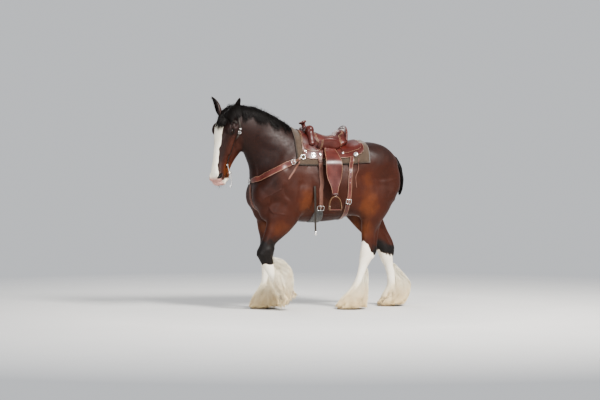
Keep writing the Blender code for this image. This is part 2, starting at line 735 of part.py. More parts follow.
torso = polygonised("torso", FLESH, (-0.95, -0.5, 0.84), (0.92, 0.5, 1.98), 0.018, 1700, BAY)
clip(torso, NECK_POINT, NECK_NORMAL)
LEGS = {
    "foreleg_left": (-1, -0.86, -0.335, FORE_CUT),
    "foreleg_right": (1, -0.86, -0.335, FORE_CUT),
    "hindleg_left": (-1, 0.235, 0.90, HIND_CUT),
    "hindleg_right": (1, 0.235, 0.95, HIND_CUT),
}
for sign, low_x, high_x, top in LEGS.values():
    near, far = (0.055 - GAP) * sign, 0.6 * sign
    cutter = box((low_x + 0.01 - GAP, min(near, far), 0.5),
                 (high_x - 0.01 + GAP, max(near, far), top + GAP / 2))
    boolean(torso, cutter, "DIFFERENCE")
    remove(cutter)
tidy(torso)

neck_node = polygonised("neck", FLESH, (-1.25, -0.42, 1.30), (-0.25, 0.32, 2.2), 0.015, 900, BAY)
clip(neck_node, NECK_POINT + NECK_NORMAL * GAP, -NECK_NORMAL)
clip(neck_node, HEAD_POINT - HEAD_NORMAL * GAP, HEAD_NORMAL)
tidy(neck_node)

head_node = polygonised("head", FLESH, (-1.50, -0.62, 1.22), (-0.84, 0.16, 2.2), 0.0065, 1900, BAY)
clip(head_node, HEAD_POINT, -HEAD_NORMAL)
tidy(head_node)


def almond(name, side, rows, look, hidden=False):
    """A solid with the eyelids' outline. Each row is (how far out, its size, 0 for a point)."""
    rings = []
    for out, size in rows:
        ring_points = []
        for step in range(10 if size else 1):
            angle = 2 * math.pi * step / 10
            down, rise = LID_HALF[0] * size * math.cos(angle), LID_HALF[1] * size * math.sin(angle)
            ring_points.append(Vector(HEAD.out((EYE[0] + down, side * out, EYE[1] + rise - 0.25 * down))))
        rings.append(ring_points)
    return loft(name, rings, look, hidden=hidden)


head_surface = BVHTree.FromPolygons([v.co.copy() for v in head_node.data.vertices],
                                    [list(p.vertices) for p in head_node.data.polygons])
for side, name in ((1, "eye_left"), (-1, "eye_right")):
    start = Vector(HEAD.out((EYE[0], side * 0.3, EYE[1])))
    reach = 0.3 - head_surface.ray_cast(start, Vector(HEAD.turn((0, -side, 0))))[3]
    opening = almond("opening", side, ((reach - 0.018, 0.97), (reach - 0.004, 1.0), (reach + 0.04, 1.6)), BAY, True)
    boolean(head_node, opening, "DIFFERENCE", "MANIFOLD")
    remove(opening)
    almond(name, side, ((reach - 0.0174, 0.92), (reach - 0.004, 0.95), (reach + 0.005, 0.62), (reach + 0.0075, 0)),
           DARK_EYE)
tidy(head_node)

# Hooves.
def hoof_ring(length, width, height, shift, count=12):
    """A horn ring in the hoof's own frame: toe towards -X, flat heel, a level height."""
    ring = []
    for i in range(count):
        turn = 2 * math.pi * (i + 0.5) / count
        x, y = -math.cos(turn), math.sin(turn)
        x = min(x, 0.78)
        ring.append((x * length / 2 + shift, y * width / 2, height))
    return ring


HOOVES = {
    # name: (place of the sole's middle, turn about Y in degrees)
    "hoof_fore_right": ((-0.665, LEG_OFFSET, 0.0), 0),
    "hoof_fore_left": ((-0.445, -LEG_OFFSET, 0.130), 55),
    "hoof_hind_left": ((0.185, -LEG_OFFSET, 0.0), 0),
    "hoof_hind_right": ((0.735, LEG_OFFSET, 0.0), 0),
}


def hoof_place(point, place, turn):
    x, y, z = point
    c, s = math.cos(math.radians(turn)), math.sin(math.radians(turn))
    return (place[0] + c * x - s * z, place[1] + y, place[2] + s * x + c * z)


def hoof(name, place, turn, grow=0.0, hidden=False):
    rows = [(0.205, 0.195, 0.0, 0.0), (0.202, 0.193, 0.012, 0.003), (0.170, 0.165, 0.080, 0.026),
            (0.150, 0.148, 0.098, 0.034)]
    if grow:
        rows[0] = (0.205, 0.195, -0.03, 0.0)
        rows[-1] = (0.150, 0.148, 0.0985, 0.034)
    rings = [[hoof_place(p, place, turn) for p in hoof_ring(a + 2 * grow, b + 2 * grow, z, shift)]
             for a, b, z, shift in rows]
    return loft(name, rings, HORN, hidden=hidden)


for hoof_name, (place, turn) in HOOVES.items():
    hoof(hoof_name, place, turn)


# Lower legs. The long hair is a bell of its own masses around each fetlock.
def bell(rows, side, blend=0.03):
    return Mass([((ax, az), (bx, bz), side, width, 0) for ax, az, bx, bz, width in rows], blend, 0.02)


FEATHER = {
    "foreleg_left": [(-0.700, 0.50, -0.560, 0.56, 0.060), (-0.685, 0.40, -0.480, 0.52, 0.080),
                     (-0.655, 0.30, -0.415, 0.43, 0.100), (-0.600, 0.20, -0.390, 0.31, 0.115),
                     (-0.540, 0.125, -0.400, 0.205, 0.110)],
    "foreleg_right": [(-0.655, 0.42, -0.530, 0.42, 0.055), (-0.668, 0.31, -0.490, 0.31, 0.075),
                      (-0.695, 0.21, -0.455, 0.20, 0.100), (-0.745, 0.12, -0.432, 0.11, 0.130),
                      (-0.785, 0.03, -0.430, 0.03, 0.145)],
    "hindleg_left": [(0.305, 0.42, 0.440, 0.42, 0.055), (0.270, 0.31, 0.430, 0.31, 0.075),
                     (0.215, 0.21, 0.422, 0.20, 0.100), (0.125, 0.12, 0.420, 0.11, 0.130),
                     (0.065, 0.03, 0.410, 0.03, 0.145)],
    "hindleg_right": [(0.715, 0.44, 0.860, 0.45, 0.055), (0.740, 0.34, 0.945, 0.34, 0.075),
                      (0.745, 0.24, 1.010, 0.24, 0.095), (0.700, 0.13, 1.000, 0.12, 0.125),
                      (0.635, 0.03, 0.940, 0.03, 0.140)],
}
LOWER_CUT = {
    "foreleg_left": ((-0.69, 0, 0.535), (-0.35, 0, 0.937)),
    "foreleg_right": ((0, 0, 0.50), (0, 0, 1)),
    "hindleg_left": ((0, 0, 0.50), (0, 0, 1)),
    "hindleg_right": ((0, 0, 0.49), (0, 0, 1)),
}
HAIR_BOTTOM = 0.008
CORE_SHARE = 0.52
# Rows of locks on each lower leg: (row that the roots start on, rows down to the tips, angles from the front).
LOCK_ROWS = [
    (0.0, 1.75, (122, 161, 199, 238)),
    (1.0, 1.80, (88, 132, 180, 228, 272)),
    (1.9, 1.75, (0, 58, 110, 158, 204, 252, 302)),
    (2.7, 1.45, (29, 84, 136, 186, 238, 290, 334)),
]


def lock(points, flats, widths, thickness):
    """A flat tapered lock: a three-sided section at each point, ridged on the outside, and a pointed tip."""
    rings = []
    for k, (point, flat, width) in enumerate(zip(points, flats, widths)):
        run = (points[min(k + 1, len(points) - 1)] - points[max(k - 1, 0)]).normalized()
        flat = (flat - run * flat.dot(run)).normalized()
        side = run.cross(flat)
        if width <= 0:
            rings.append([point])
        else:
            half = side * (width / 2)
            deep = flat * (thickness * min(1.0, width / widths[1]))
            rings.append([point - half, point + deep, point + half])
    return loft("lock", rings, BLACK, smooth=False, hidden=True)


def fuse(base, locks, triangles):
    """Joins the locks to the base in one union, and thins the slivers that the crossings leave."""
    group = bpy.data.collections.new("locks")
    bpy.context.scene.collection.children.link(group)
    for piece in locks:
        bpy.context.scene.collection.objects.unlink(piece)
        group.objects.link(piece)
    step = base.modifiers.new("join", "BOOLEAN")
    step.operation = "UNION"
    step.operand_type = "COLLECTION"
    step.collection = group
    step.solver = "EXACT"
    bake(base)
    for piece in locks:
        remove(piece)
    bpy.data.collections.remove(group)
    tidy(base)
    thinned(base, triangles)


def feather_locks(name, sign):
    """Overlapping locks from the core out to the bell's surface, row below row."""
    rows = FEATHER[name]
    centres = [Vector(((r[0] + r[2]) / 2, LEG_OFFSET * sign, (r[1] + r[3]) / 2)) for r in rows]
    ahead = [Vector(((r[0] - r[2]) / 2, 0, (r[1] - r[3]) / 2)) for r in rows]
    across = [Vector((0, sign * r[4], 0)) for r in rows]

    def spot(level, angle, share):
        level = max(0.0, min(level, len(rows) - 1.0))
        i = min(int(level), len(rows) - 2)
        t = level - i
        c, s = math.cos(math.radians(angle)), math.sin(math.radians(angle))
        way = ahead[i].lerp(ahead[i + 1], t) * c + across[i].lerp(across[i + 1], t) * s
        return centres[i].lerp(centres[i + 1], t) + way * share, way

    out = []
    for start, down, angles in LOCK_ROWS:
        for n, angle in enumerate(angles):
            drift = 7 * math.sin(2.3 * n + start * 1.7)
            points, flats = [], []
            for part, share in ((-0.06, 0.32), (0.22, 0.78), (0.52, 0.98), (0.80, 1.02), (1.0, 1.05)):
                level = start + down * part * (1 - 0.06 * math.cos(1.9 * n))
                point, way = spot(level, angle + drift * part, share)
                if part > 0:
                    point.z = max(point.z, 0.014)
                points.append(point)
                flats.append(way)
            size = 1.0 + 0.12 * math.sin(3.1 * n + start)
            out.append(lock(points, flats, [w * size for w in (0.034, 0.066, 0.064, 0.042, 0)], 0.022))
    return out


def upper_leg(name, sign, low_x, high_x, top):
    """The leg from the body down to below the knee or hock, cut out of the flesh."""
    inner = 0.055
    point, normal = (Vector(v) for v in LOWER_CUT[name])
    low = (low_x, -0.45 if sign < 0 else inner - 0.03, 0.44)
    high = (high_x, -inner + 0.03 if sign < 0 else 0.45, top + 0.03)
    obj = polygonised(name + "_upper", FLESH, low, high, 0.011, 330, BAY)
    clip(obj, (0, 0, top - GAP / 2), (0, 0, 1))
    clip(obj, point + normal * GAP, -normal)
    clip(obj, (0, sign * inner, 0), (0, -sign, 0))
    clip(obj, (low_x + 0.01, 0, 0), (-1, 0, 0))
    clip(obj, (high_x - 0.01, 0, 0), (1, 0, 0))
    tidy(obj)
    return obj


def lower_leg(name, sign):
    """The cannon, the fetlock and the hair around it, with the hoof's room cut out."""
    point, normal = (Vector(v) for v in LOWER_CUT[name])
    rows = FEATHER[name]
    low = (min(r[0] for r in rows) - 0.1, -0.40 if sign < 0 else 0.01, -0.02)
    high = (max(r[2] for r in rows) + 0.07, -0.01 if sign < 0 else 0.40, 0.68)
    core = []
    for ax, az, bx, bz, width in rows[:-1]:
        x, z = (ax + bx) / 2, (az + bz) / 2
        core.append((x + (ax - x) * CORE_SHARE, z + (az - z) * CORE_SHARE, x + (bx - x) * CORE_SHARE,
                     z + (bz - z) * CORE_SHARE, width * CORE_SHARE))
    obj = polygonised(name + "_lower", FLESH + [bell(core, LEG_OFFSET * sign)], low, high, 0.010, 240, CREAM)
    fuse(obj, feather_locks(name, sign), 1080)
    clip(obj, point - normal * GAP, normal)
    clip(obj, (0, 0, HAIR_BOTTOM), (0, 0, -1))
    kind, hand = name.replace("leg", "").split("_")
    place, turn = HOOVES[f"hoof_{kind}_{hand}"]
    room = hoof("room", place, turn, grow=0.0006, hidden=True)
    boolean(obj, room, "DIFFERENCE")
    remove(room)
    tidy(obj)
    return obj


for leg_name, (sign, low_x, high_x, top) in LEGS.items():
    upper_leg(leg_name, sign, low_x, high_x, top)
    lower_leg(leg_name, sign)


def surface(*objects):
    """One searchable surface of several objects."""
    points, faces = [], []
    for obj in objects:
        first = len(points)
        points.extend(v.co.copy() for v in obj.data.vertices)
        faces.extend([first + i for i in p.vertices] for p in obj.data.polygons)
    return BVHTree.FromPolygons(points, faces)


SKIN = surface(torso, neck_node, head_node)


def clearance(stations, angles, least, over=SKIN):
    """How far each point of a drape's grid stands off, so that the flat faces between them clear the skin."""
    hits = []
    for centre, up, side in stations:
        centre, up, side = Vector(centre), Vector(up).normalized(), Vector(side).normalized()
        ways = [up * math.cos(math.radians(a)) + side * math.sin(math.radians(a)) for a in angles]
        hits.append([(over.ray_cast(centre + way * 0.9, -way)[0], way) for way in ways])
    off = np.full((len(stations), len(angles)), least)
    for _ in range(3):
        more = np.zeros_like(off)
        for i in range(len(stations) - 1):
            for j in range(len(angles) - 1):
                corners = [hits[a][b][0] + hits[a][b][1] * off[a, b] for a in (i, i + 1) for b in (j, j + 1)]
                for a in (0, 0.25, 0.5, 0.75, 1):
                    for b in (0, 0.25, 0.5, 0.75, 1):
                        point = corners[0].lerp(corners[1], b).lerp(corners[2].lerp(corners[3], b), a)
                        spot, normal = over.find_nearest(point)[:2]
                        short = least * 0.6 - (point - spot).dot(normal)
                        more[i:i + 2, j:j + 2] = np.maximum(more[i:i + 2, j:j + 2], short)
        off += np.maximum(more, 0)
    return off


def drape(name, stations, angles, inner, outer, look, over=SKIN):
    """A shell over the skin. Each station is (centre, up, side): rays go out from it at the angles,
    and inner and outer give the shell's two distances from the skin at a station and an angle."""
    inside, outside = [], []
    for i, (centre, up, side) in enumerate(stations):
        centre, up, side = Vector(centre), Vector(up).normalized(), Vector(side).normalized()
        rows = ([], [])
        for j, angle in enumerate(angles):
            way = up * math.cos(math.radians(angle)) + side * math.sin(math.radians(angle))
            hit = over.ray_cast(centre + way * 0.9, -way)[0]
            rows[0].append(hit + way * inner(i, j))
            rows[1].append(hit + way * outer(i, j))
        inside.append(rows[0])
        outside.append(rows[1])
    rings = [out + list(reversed(into)) for into, out in zip(inside, outside)]
    return loft(name, rings, look)


# Mane, forelock and tail.
def crest_stations():
    """Places along the crest from between the ears to the withers: the neck's middle, its up and its side."""
    rows = [((-1.115, 2.115), (-1.115, 1.80), -0.135), ((-1.04, 2.105), (-1.04, 1.78), -0.122),
            ((-0.91, 2.115), (-0.965, 1.70), -0.100), ((-0.76, 2.085), (-0.90, 1.63), -0.07),
            ((-0.62, 2.03), (-0.86, 1.56), -0.035), ((-0.48, 1.955), (-0.825, 1.48), -0.012),
            ((-0.405, 1.905), (-0.78, 1.41), -0.002)]
    out = []
    for (ax, az), (bx, bz), side in rows:
        middle = ((ax * 0.6 + bx * 0.4), side, (az * 0.6 + bz * 0.4))
        out.append((middle, (ax - bx, 0, az - bz), (0, 1, 0)))
    return out


MANE_ANGLES = (-40, -20, 0, 24, 50)
MANE_HEIGHT = (0.004, 0.020, 0.026, 0.020, 0.004)
MANE_OFF = clearance(crest_stations(), MANE_ANGLES, 0.001)
mane = drape("mane", crest_stations(), MANE_ANGLES, lambda i, j: MANE_OFF[i, j],
             lambda i, j: MANE_OFF[i, j] + MANE_HEIGHT[j], BLACK)


def falling_lock(root, way, length, width, thickness, over, lift=0.012, sag=0.6, steps=4):
    """A lock that starts in the surface and slides down it, turning towards the ground."""
    step = length / steps
    spot, normal = over.find_nearest(root)[:2]
    points, flats = [spot + normal * 0.006], [normal]
    here, way = root, way.normalized()
    for k in range(steps):
        way = (way + Vector((0, 0, -sag))).normalized()
        here = here + way * step
        spot, normal = over.find_nearest(here)[:2]
        here = spot + normal * (lift * (1.2 - 0.5 * k / (steps - 1)))
        points.append(here.copy())
        flats.append(normal)
    widths = [0.6 * width, width, width, 0.66 * width, 0][: steps + 1]
    return lock(points, flats, widths, thickness)


locks = []
stations = crest_stations()
for n in range(19):
    share = 0.75 + n * 4.6 / 18
    i = min(int(share), len(stations) - 2)
    t = share - i
    middle = Vector(stations[i][0]).lerp(Vector(stations[i + 1][0]), t)
    up = Vector(stations[i][1]).lerp(Vector(stations[i + 1][1]), t).normalized()
    hit = SKIN.ray_cast(middle + up * 0.9, -up)[0]
    to_left = n % 3 == 1
    way = Vector((0.25, -1, 0.1)) if to_left else Vector((0.25, 1, 0.1))
    length = (0.20 if to_left else 0.31) * (1 + 0.14 * math.sin(2.1 * n))
    locks.append(falling_lock(hit + up * 0.022, way, length, 0.090, 0.020, SKIN, 0.014, 0.35))
fuse(mane, locks, 920)


def head_station(down, depth=-0.12):
    return HEAD.out((down, 0, depth)), HEAD.turn((0, 0, 1)), HEAD.turn((0, 1, 0))


FORELOCK_SPREAD = (34, 34, 22)
forelock_rows = []
for down, spread in zip((0.005, 0.045, 0.085), FORELOCK_SPREAD):
    centre, up, side = (Vector(v) for v in head_station(down))
    ring_out, ring_in = [], []
    for part in (-1, -0.5, 0, 0.5, 1):
        angle = math.radians(part * spread)
        way = up * math.cos(angle) + side * math.sin(angle)
        hit = SKIN.ray_cast(centre + way * 0.5, -way)[0]
        ring_out.append(hit + way * (0.016 * (1 - 0.5 * abs(part))))
        ring_in.append(hit + way * 0.002)
    forelock_rows.append(ring_out + list(reversed(ring_in)))
forelock = loft("forelock", forelock_rows, BLACK)
locks = []
for side, lean, length in ((-0.045, -0.25, 0.17), (-0.022, 0.05, 0.21), (0.0, -0.1, 0.19), (0.024, 0.15, 0.21),
                           (0.046, 0.30, 0.17)):
    root = Vector(HEAD.out((0.02, side, -0.02)))
    way = Vector(HEAD.turn((1.0, lean, 0.1)))
    locks.append(falling_lock(root, way, length, 0.048, 0.018, SKIN, 0.012, 0.05))
fuse(forelock, locks, 220)

TAIL = [((0.65, 1.625), (0.735, 1.645), 0.035), ((0.735, 1.545), (0.800, 1.585), 0.045),
        ((0.775, 1.450), (0.850, 1.480), 0.055), ((0.790, 1.350), (0.868, 1.355), 0.058),
        ((0.785, 1.260), (0.858, 1.255), 0.050), ((0.790, 1.190), (0.835, 1.185), 0.030)]
tail = polygonised("tail", [Mass([(a, b, 0, w * 0.8, 0) for a, b, w in TAIL[:4]], 0.02, 0.03)],
                   (0.55, -0.12, 1.1), (0.95, 0.12, 1.72), 0.010, 110, BLACK)
locks = []
for n in range(9):
    start = 0.4 + 0.85 * (n // 3)
    lean = (-0.75, 0.0, 0.75)[n % 3] + 0.2 * math.sin(n * 1.7)
    points, flats = [], []
    for part in (0.0, 0.25, 0.5, 0.75, 1.0):
        level = min(start + (5.35 - start) * 0.62 * part + 0.15 * part * (n % 2), 5.0)
        i = min(int(level), 4)
        t = level - i
        (a0, b0, w0), (a1, b1, w1) = TAIL[i], TAIL[i + 1]
        front = Vector((a0[0], 0, a0[1])).lerp(Vector((a1[0], 0, a1[1])), t)
        back = Vector((b0[0], 0, b0[1])).lerp(Vector((b1[0], 0, b1[1])), t)
        outer = back - front
        reach = 0.55 if part == 0 else (0.92, 0.92, 0.9, 0.85)[int(part * 4) - 1]
        side = Vector((0, (w0 + (w1 - w0) * t) * lean * (0.6 if part == 0 else 1.0), 0))
        points.append(front + outer * (reach - 0.25 * abs(lean)) + side)
        flats.append((outer.normalized() + Vector((0, lean, 0))).normalized())
    locks.append(lock(points, flats, (0.030, 0.046, 0.046, 0.034, 0), 0.018))
fuse(tail, locks, 540)
fit(tail, [torso])


# Ears: a leaf curled into a cup, open at the front and outwards.
def ear(name, base, up, open_to):
    base = np.array(HEAD.out(base))
    up = unit(HEAD.turn(up))
    face = HEAD.turn(open_to)
    face = unit(face - up * (face @ up))
    across = np.cross(up, face)
    rings = []
    rows = [(-0.03, 0.023, 175, 0), (0.02, 0.028, 150, 0.0), (0.07, 0.032, 118, -0.004),
            (0.12, 0.028, 103, -0.004), (0.17, 0.016, 92, 0.004)]
    for height, radius, half, shift in rows:
        outer, inner = [], []
        for step in np.linspace(-1, 1, 6):
            angle = math.radians(half * step)
            way = -face * math.cos(angle) + across * math.sin(angle)
            outer.append(base + up * height * EAR_LENGTH / 0.2 + face * shift + way * radius)
            inner.append(base + up * height * EAR_LENGTH / 0.2 + face * shift + way * (radius - 0.006))
        rings.append(outer + inner[::-1])
    rings.append([base + up * EAR_LENGTH + face * 0.012])
    obj = loft(name, rings, BAY)
    fit(obj, [head_node], 0.0015)
    thinned(obj, 190)
    tidy(obj)


ear("ear_left", (0.060, 0.073, -0.090), (-1.0, 0.08, -0.20), (0, 0.55, 0.8))
ear("ear_right", (0.048, -0.076, -0.038), (-1.0, -0.45, 0.43), (0, -0.30, 1.0))


# Saddle pad, skirts and seat.
def back_stations(xs):
    return [((x, 0, 1.40), (0, 0, 1), (0, 1, 0)) for x in xs]


PAD_XS = (-0.385, -0.32, -0.22, -0.11, 0.01, 0.13, 0.24, 0.33, 0.385)
PAD_ANGLES = (-70, -59, -46, -32, -16, 0, 16, 32, 46, 59, 70)
PAD_OFF = clearance(back_stations(PAD_XS), PAD_ANGLES, 0.006)
pad = drape("saddle_pad", back_stations(PAD_XS), PAD_ANGLES, lambda i, j: PAD_OFF[i, j],
            lambda i, j: PAD_OFF[i, j] + PAD_THICKNESS, FELT)

skirts = drape("saddle_skirts", back_stations(PAD_XS[1:-1]), PAD_ANGLES[1:-1],
               lambda i, j: PAD_OFF[i + 1, j + 1] + PAD_THICKNESS + 0.0008,
               lambda i, j: PAD_OFF[i + 1, j + 1] + PAD_THICKNESS + SKIRT_THICKNESS, LEATHER)

ACROSS = Frame((0, 0, 0), ((0, 1, 0), (1, 0, 0), (0, 0, 1)))
SEAT = [
    # Seat, from the fork back to the cantle.
    Mass([((-0.20, 1.880), (-0.20, 1.72), 0, 0.14, -0.2), ((-0.10, 1.845), (-0.10, 1.69), 0, 0.17, -0.3),
          ((0.00, 1.815), (0.00, 1.67), 0, 0.20, -0.35), ((0.10, 1.83), (0.10, 1.67), 0, 0.205, -0.3),
          ((0.17, 1.85), (0.17, 1.70), 0, 0.19, -0.2)], 0.02, 0.03, power=2.6),
    Blob((0.15, 0, 1.825), (0.06, 0.15, 0.055), 0.03),
    Blob((-0.03, 0.235, 1.71), (0.125, 0.022, 0.085), 0.03, roll=-28),
    Blob((-0.03, -0.235, 1.71), (0.125, 0.022, 0.085), 0.03, roll=28),
    # Fork: an arch over the withers with a swell at each side.
    Mass([((-0.235, 1.735), (-0.195, 1.735), -0.205, 0.035, 0), ((-0.15, 1.87), (-0.13, 1.80), -0.205, 0.038, 0),
          ((0.0, 1.912), (0.0, 1.82), -0.205, 0.040, 0), ((0.15, 1.87), (0.13, 1.80), -0.205, 0.038, 0),
          ((0.235, 1.735), (0.195, 1.735), -0.205, 0.035, 0)], 0.02, 0.03, frame=ACROSS),
    Blob((-0.205, 0.115, 1.878), (0.045, 0.055, 0.042), 0.03),
    Blob((-0.205, -0.115, 1.878), (0.045, 0.055, 0.042), 0.03),
    # Cantle: a raised rim.
    Mass([((-0.215, 1.76), (-0.175, 1.75), 0.165, 0.018, 0), ((-0.165, 1.865), (-0.135, 1.82), 0.185, 0.017, 0),
          ((0.0, 1.915), (0.0, 1.85), 0.200, 0.017, 0), ((0.165, 1.865), (0.135, 1.82), 0.185, 0.017, 0),
          ((0.215, 1.76), (0.175, 1.75), 0.165, 0.018, 0)], 0.02, 0.02, frame=ACROSS),
]
seat = polygonised("saddle_seat", SEAT, (-0.34, -0.30, 1.62), (0.30, 0.30, 1.98), 0.011, 460, LEATHER)
fit(seat, [skirts])


def lathe(name, foot, axis, profile, look, count=10):
    """A turned solid: profile rows are (distance along the axis, radius)."""
    axis = Vector(axis).normalized()
    side = axis.orthogonal().normalized()
    other = axis.cross(side)
    rings = []
    for along, radius in profile:
        centre = Vector(foot) + axis * along
        if radius <= 0:
            rings.append([centre])
            continue
        rings.append([centre + side * radius * math.cos(2 * math.pi * k / count)
                      + other * radius * math.sin(2 * math.pi * k / count) for k in range(count)])
    return loft(name, rings, look)


horn = lathe("saddle_horn", (-0.225, 0, 1.89), (-0.35, 0, 1),
             [(-0.01, 0.026), (0.03, 0.020), (0.052, 0.022), (0.060, 0.040), (0.074, 0.041), (0.080, 0.028)], LEATHER)
fit(horn, [seat, skirts])


# Straps.
def strap(name, path, width, look, over, against=(), thickness=STRAP_THICKNESS, lift=0.0025, rows=None):
    """A flat strap along a path, a little above a surface. rows is how many sections it gets. What it would run
    into is cut out of it."""
    marks = [Vector(p) for p in path]
    lengths = [0.0]
    for a, b in zip(marks, marks[1:]):
        lengths.append(lengths[-1] + (b - a).length)
    rows = rows or max(3, int(lengths[-1] / 0.055) + 1)
    spots = []
    for k in range(rows):
        at = lengths[-1] * k / (rows - 1)
        i = max(n for n in range(len(marks) - 1) if lengths[n] <= at + 1e-9)
        t = (at - lengths[i]) / (lengths[i + 1] - lengths[i])
        point = marks[i].lerp(marks[i + 1], t)
        spot, normal = over.find_nearest(point)[:2]
        spots.append((spot, normal))
    normals = []
    for k in range(rows):
        total = Vector()
        for n in range(max(0, k - 1), min(rows, k + 2)):
            total += spots[n][1]
        normals.append(total.normalized())
    sides, lifts = [], [lift] * rows
    for k in range(rows):
        run = (spots[min(k + 1, rows - 1)][0] - spots[max(k - 1, 0)][0]).normalized()
        normals[k] = (normals[k] - run * normals[k].dot(run)).normalized()
        sides.append(normals[k].cross(run) * (width / 2))
    for _ in range(4):
        more = [0.0] * rows
        for k in range(rows - 1):
            for b in (-1, -0.5, 0, 0.5, 1):
                ends = [spots[n][0] + normals[n] * lifts[n] + sides[n] * b for n in (k, k + 1)]
                for a in (0, 0.25, 0.5, 0.75, 1):
                    point = ends[0].lerp(ends[1], a)
                    spot, normal = over.find_nearest(point)[:2]
                    short = lift * 0.6 - (point - spot).dot(normal)
                    more[k], more[k + 1] = max(more[k], short), max(more[k + 1], short)
        lifts = [x + y for x, y in zip(lifts, more)]
    rings = []
    for k in range(rows):
        normal, side = normals[k], sides[k]
        foot = spots[k][0] + normal * lifts[k]
        rings.append([foot - side, foot + side, foot + side * 0.96 + normal * thickness,
                      foot - side * 0.96 + normal * thickness])
    obj = loft(name, rings, look, smooth=False)
    return fit(obj, against) if against else obj


def ring(name, centre, axis, radius, wire, look, against, count=10, sections=4):
    """A round metal ring."""
    axis = Vector(axis).normalized()
    side = axis.orthogonal().normalized()
    other = axis.cross(side)
    points, faces = [], []
    for k in range(count):
        turn = 2 * math.pi * k / count
        way = side * math.cos(turn) + other * math.sin(turn)
        for n in range(sections):
            lean = 2 * math.pi * n / sections
            points.append(Vector(centre) + way * (radius + wire * math.cos(lean)) + axis * wire * math.sin(lean))
            a, b = k * sections + n, k * sections + (n + 1) % sections
            c, d = (a + sections) % (count * sections), (b + sections) % (count * sections)
            faces.append((a, b, d, c))
    obj = make(name, points, faces, look)
    edit(obj, lambda bm: bmesh.ops.triangulate(bm, faces=bm.faces))
    edit(obj, lambda bm: bmesh.ops.recalc_face_normals(bm, faces=bm.faces))
    return fit(obj, against) if against else obj


def stud(name, at, over, radius, look, against, height=0.008):
    """A domed metal disc lying on a surface."""
    spot, normal = over.find_nearest(Vector(at))[:2]
    obj = lathe(name, spot, normal, [(0.0022, radius), (0.005, radius), (height, radius * 0.5)], look, 8)
    return fit(obj, against) if against else obj


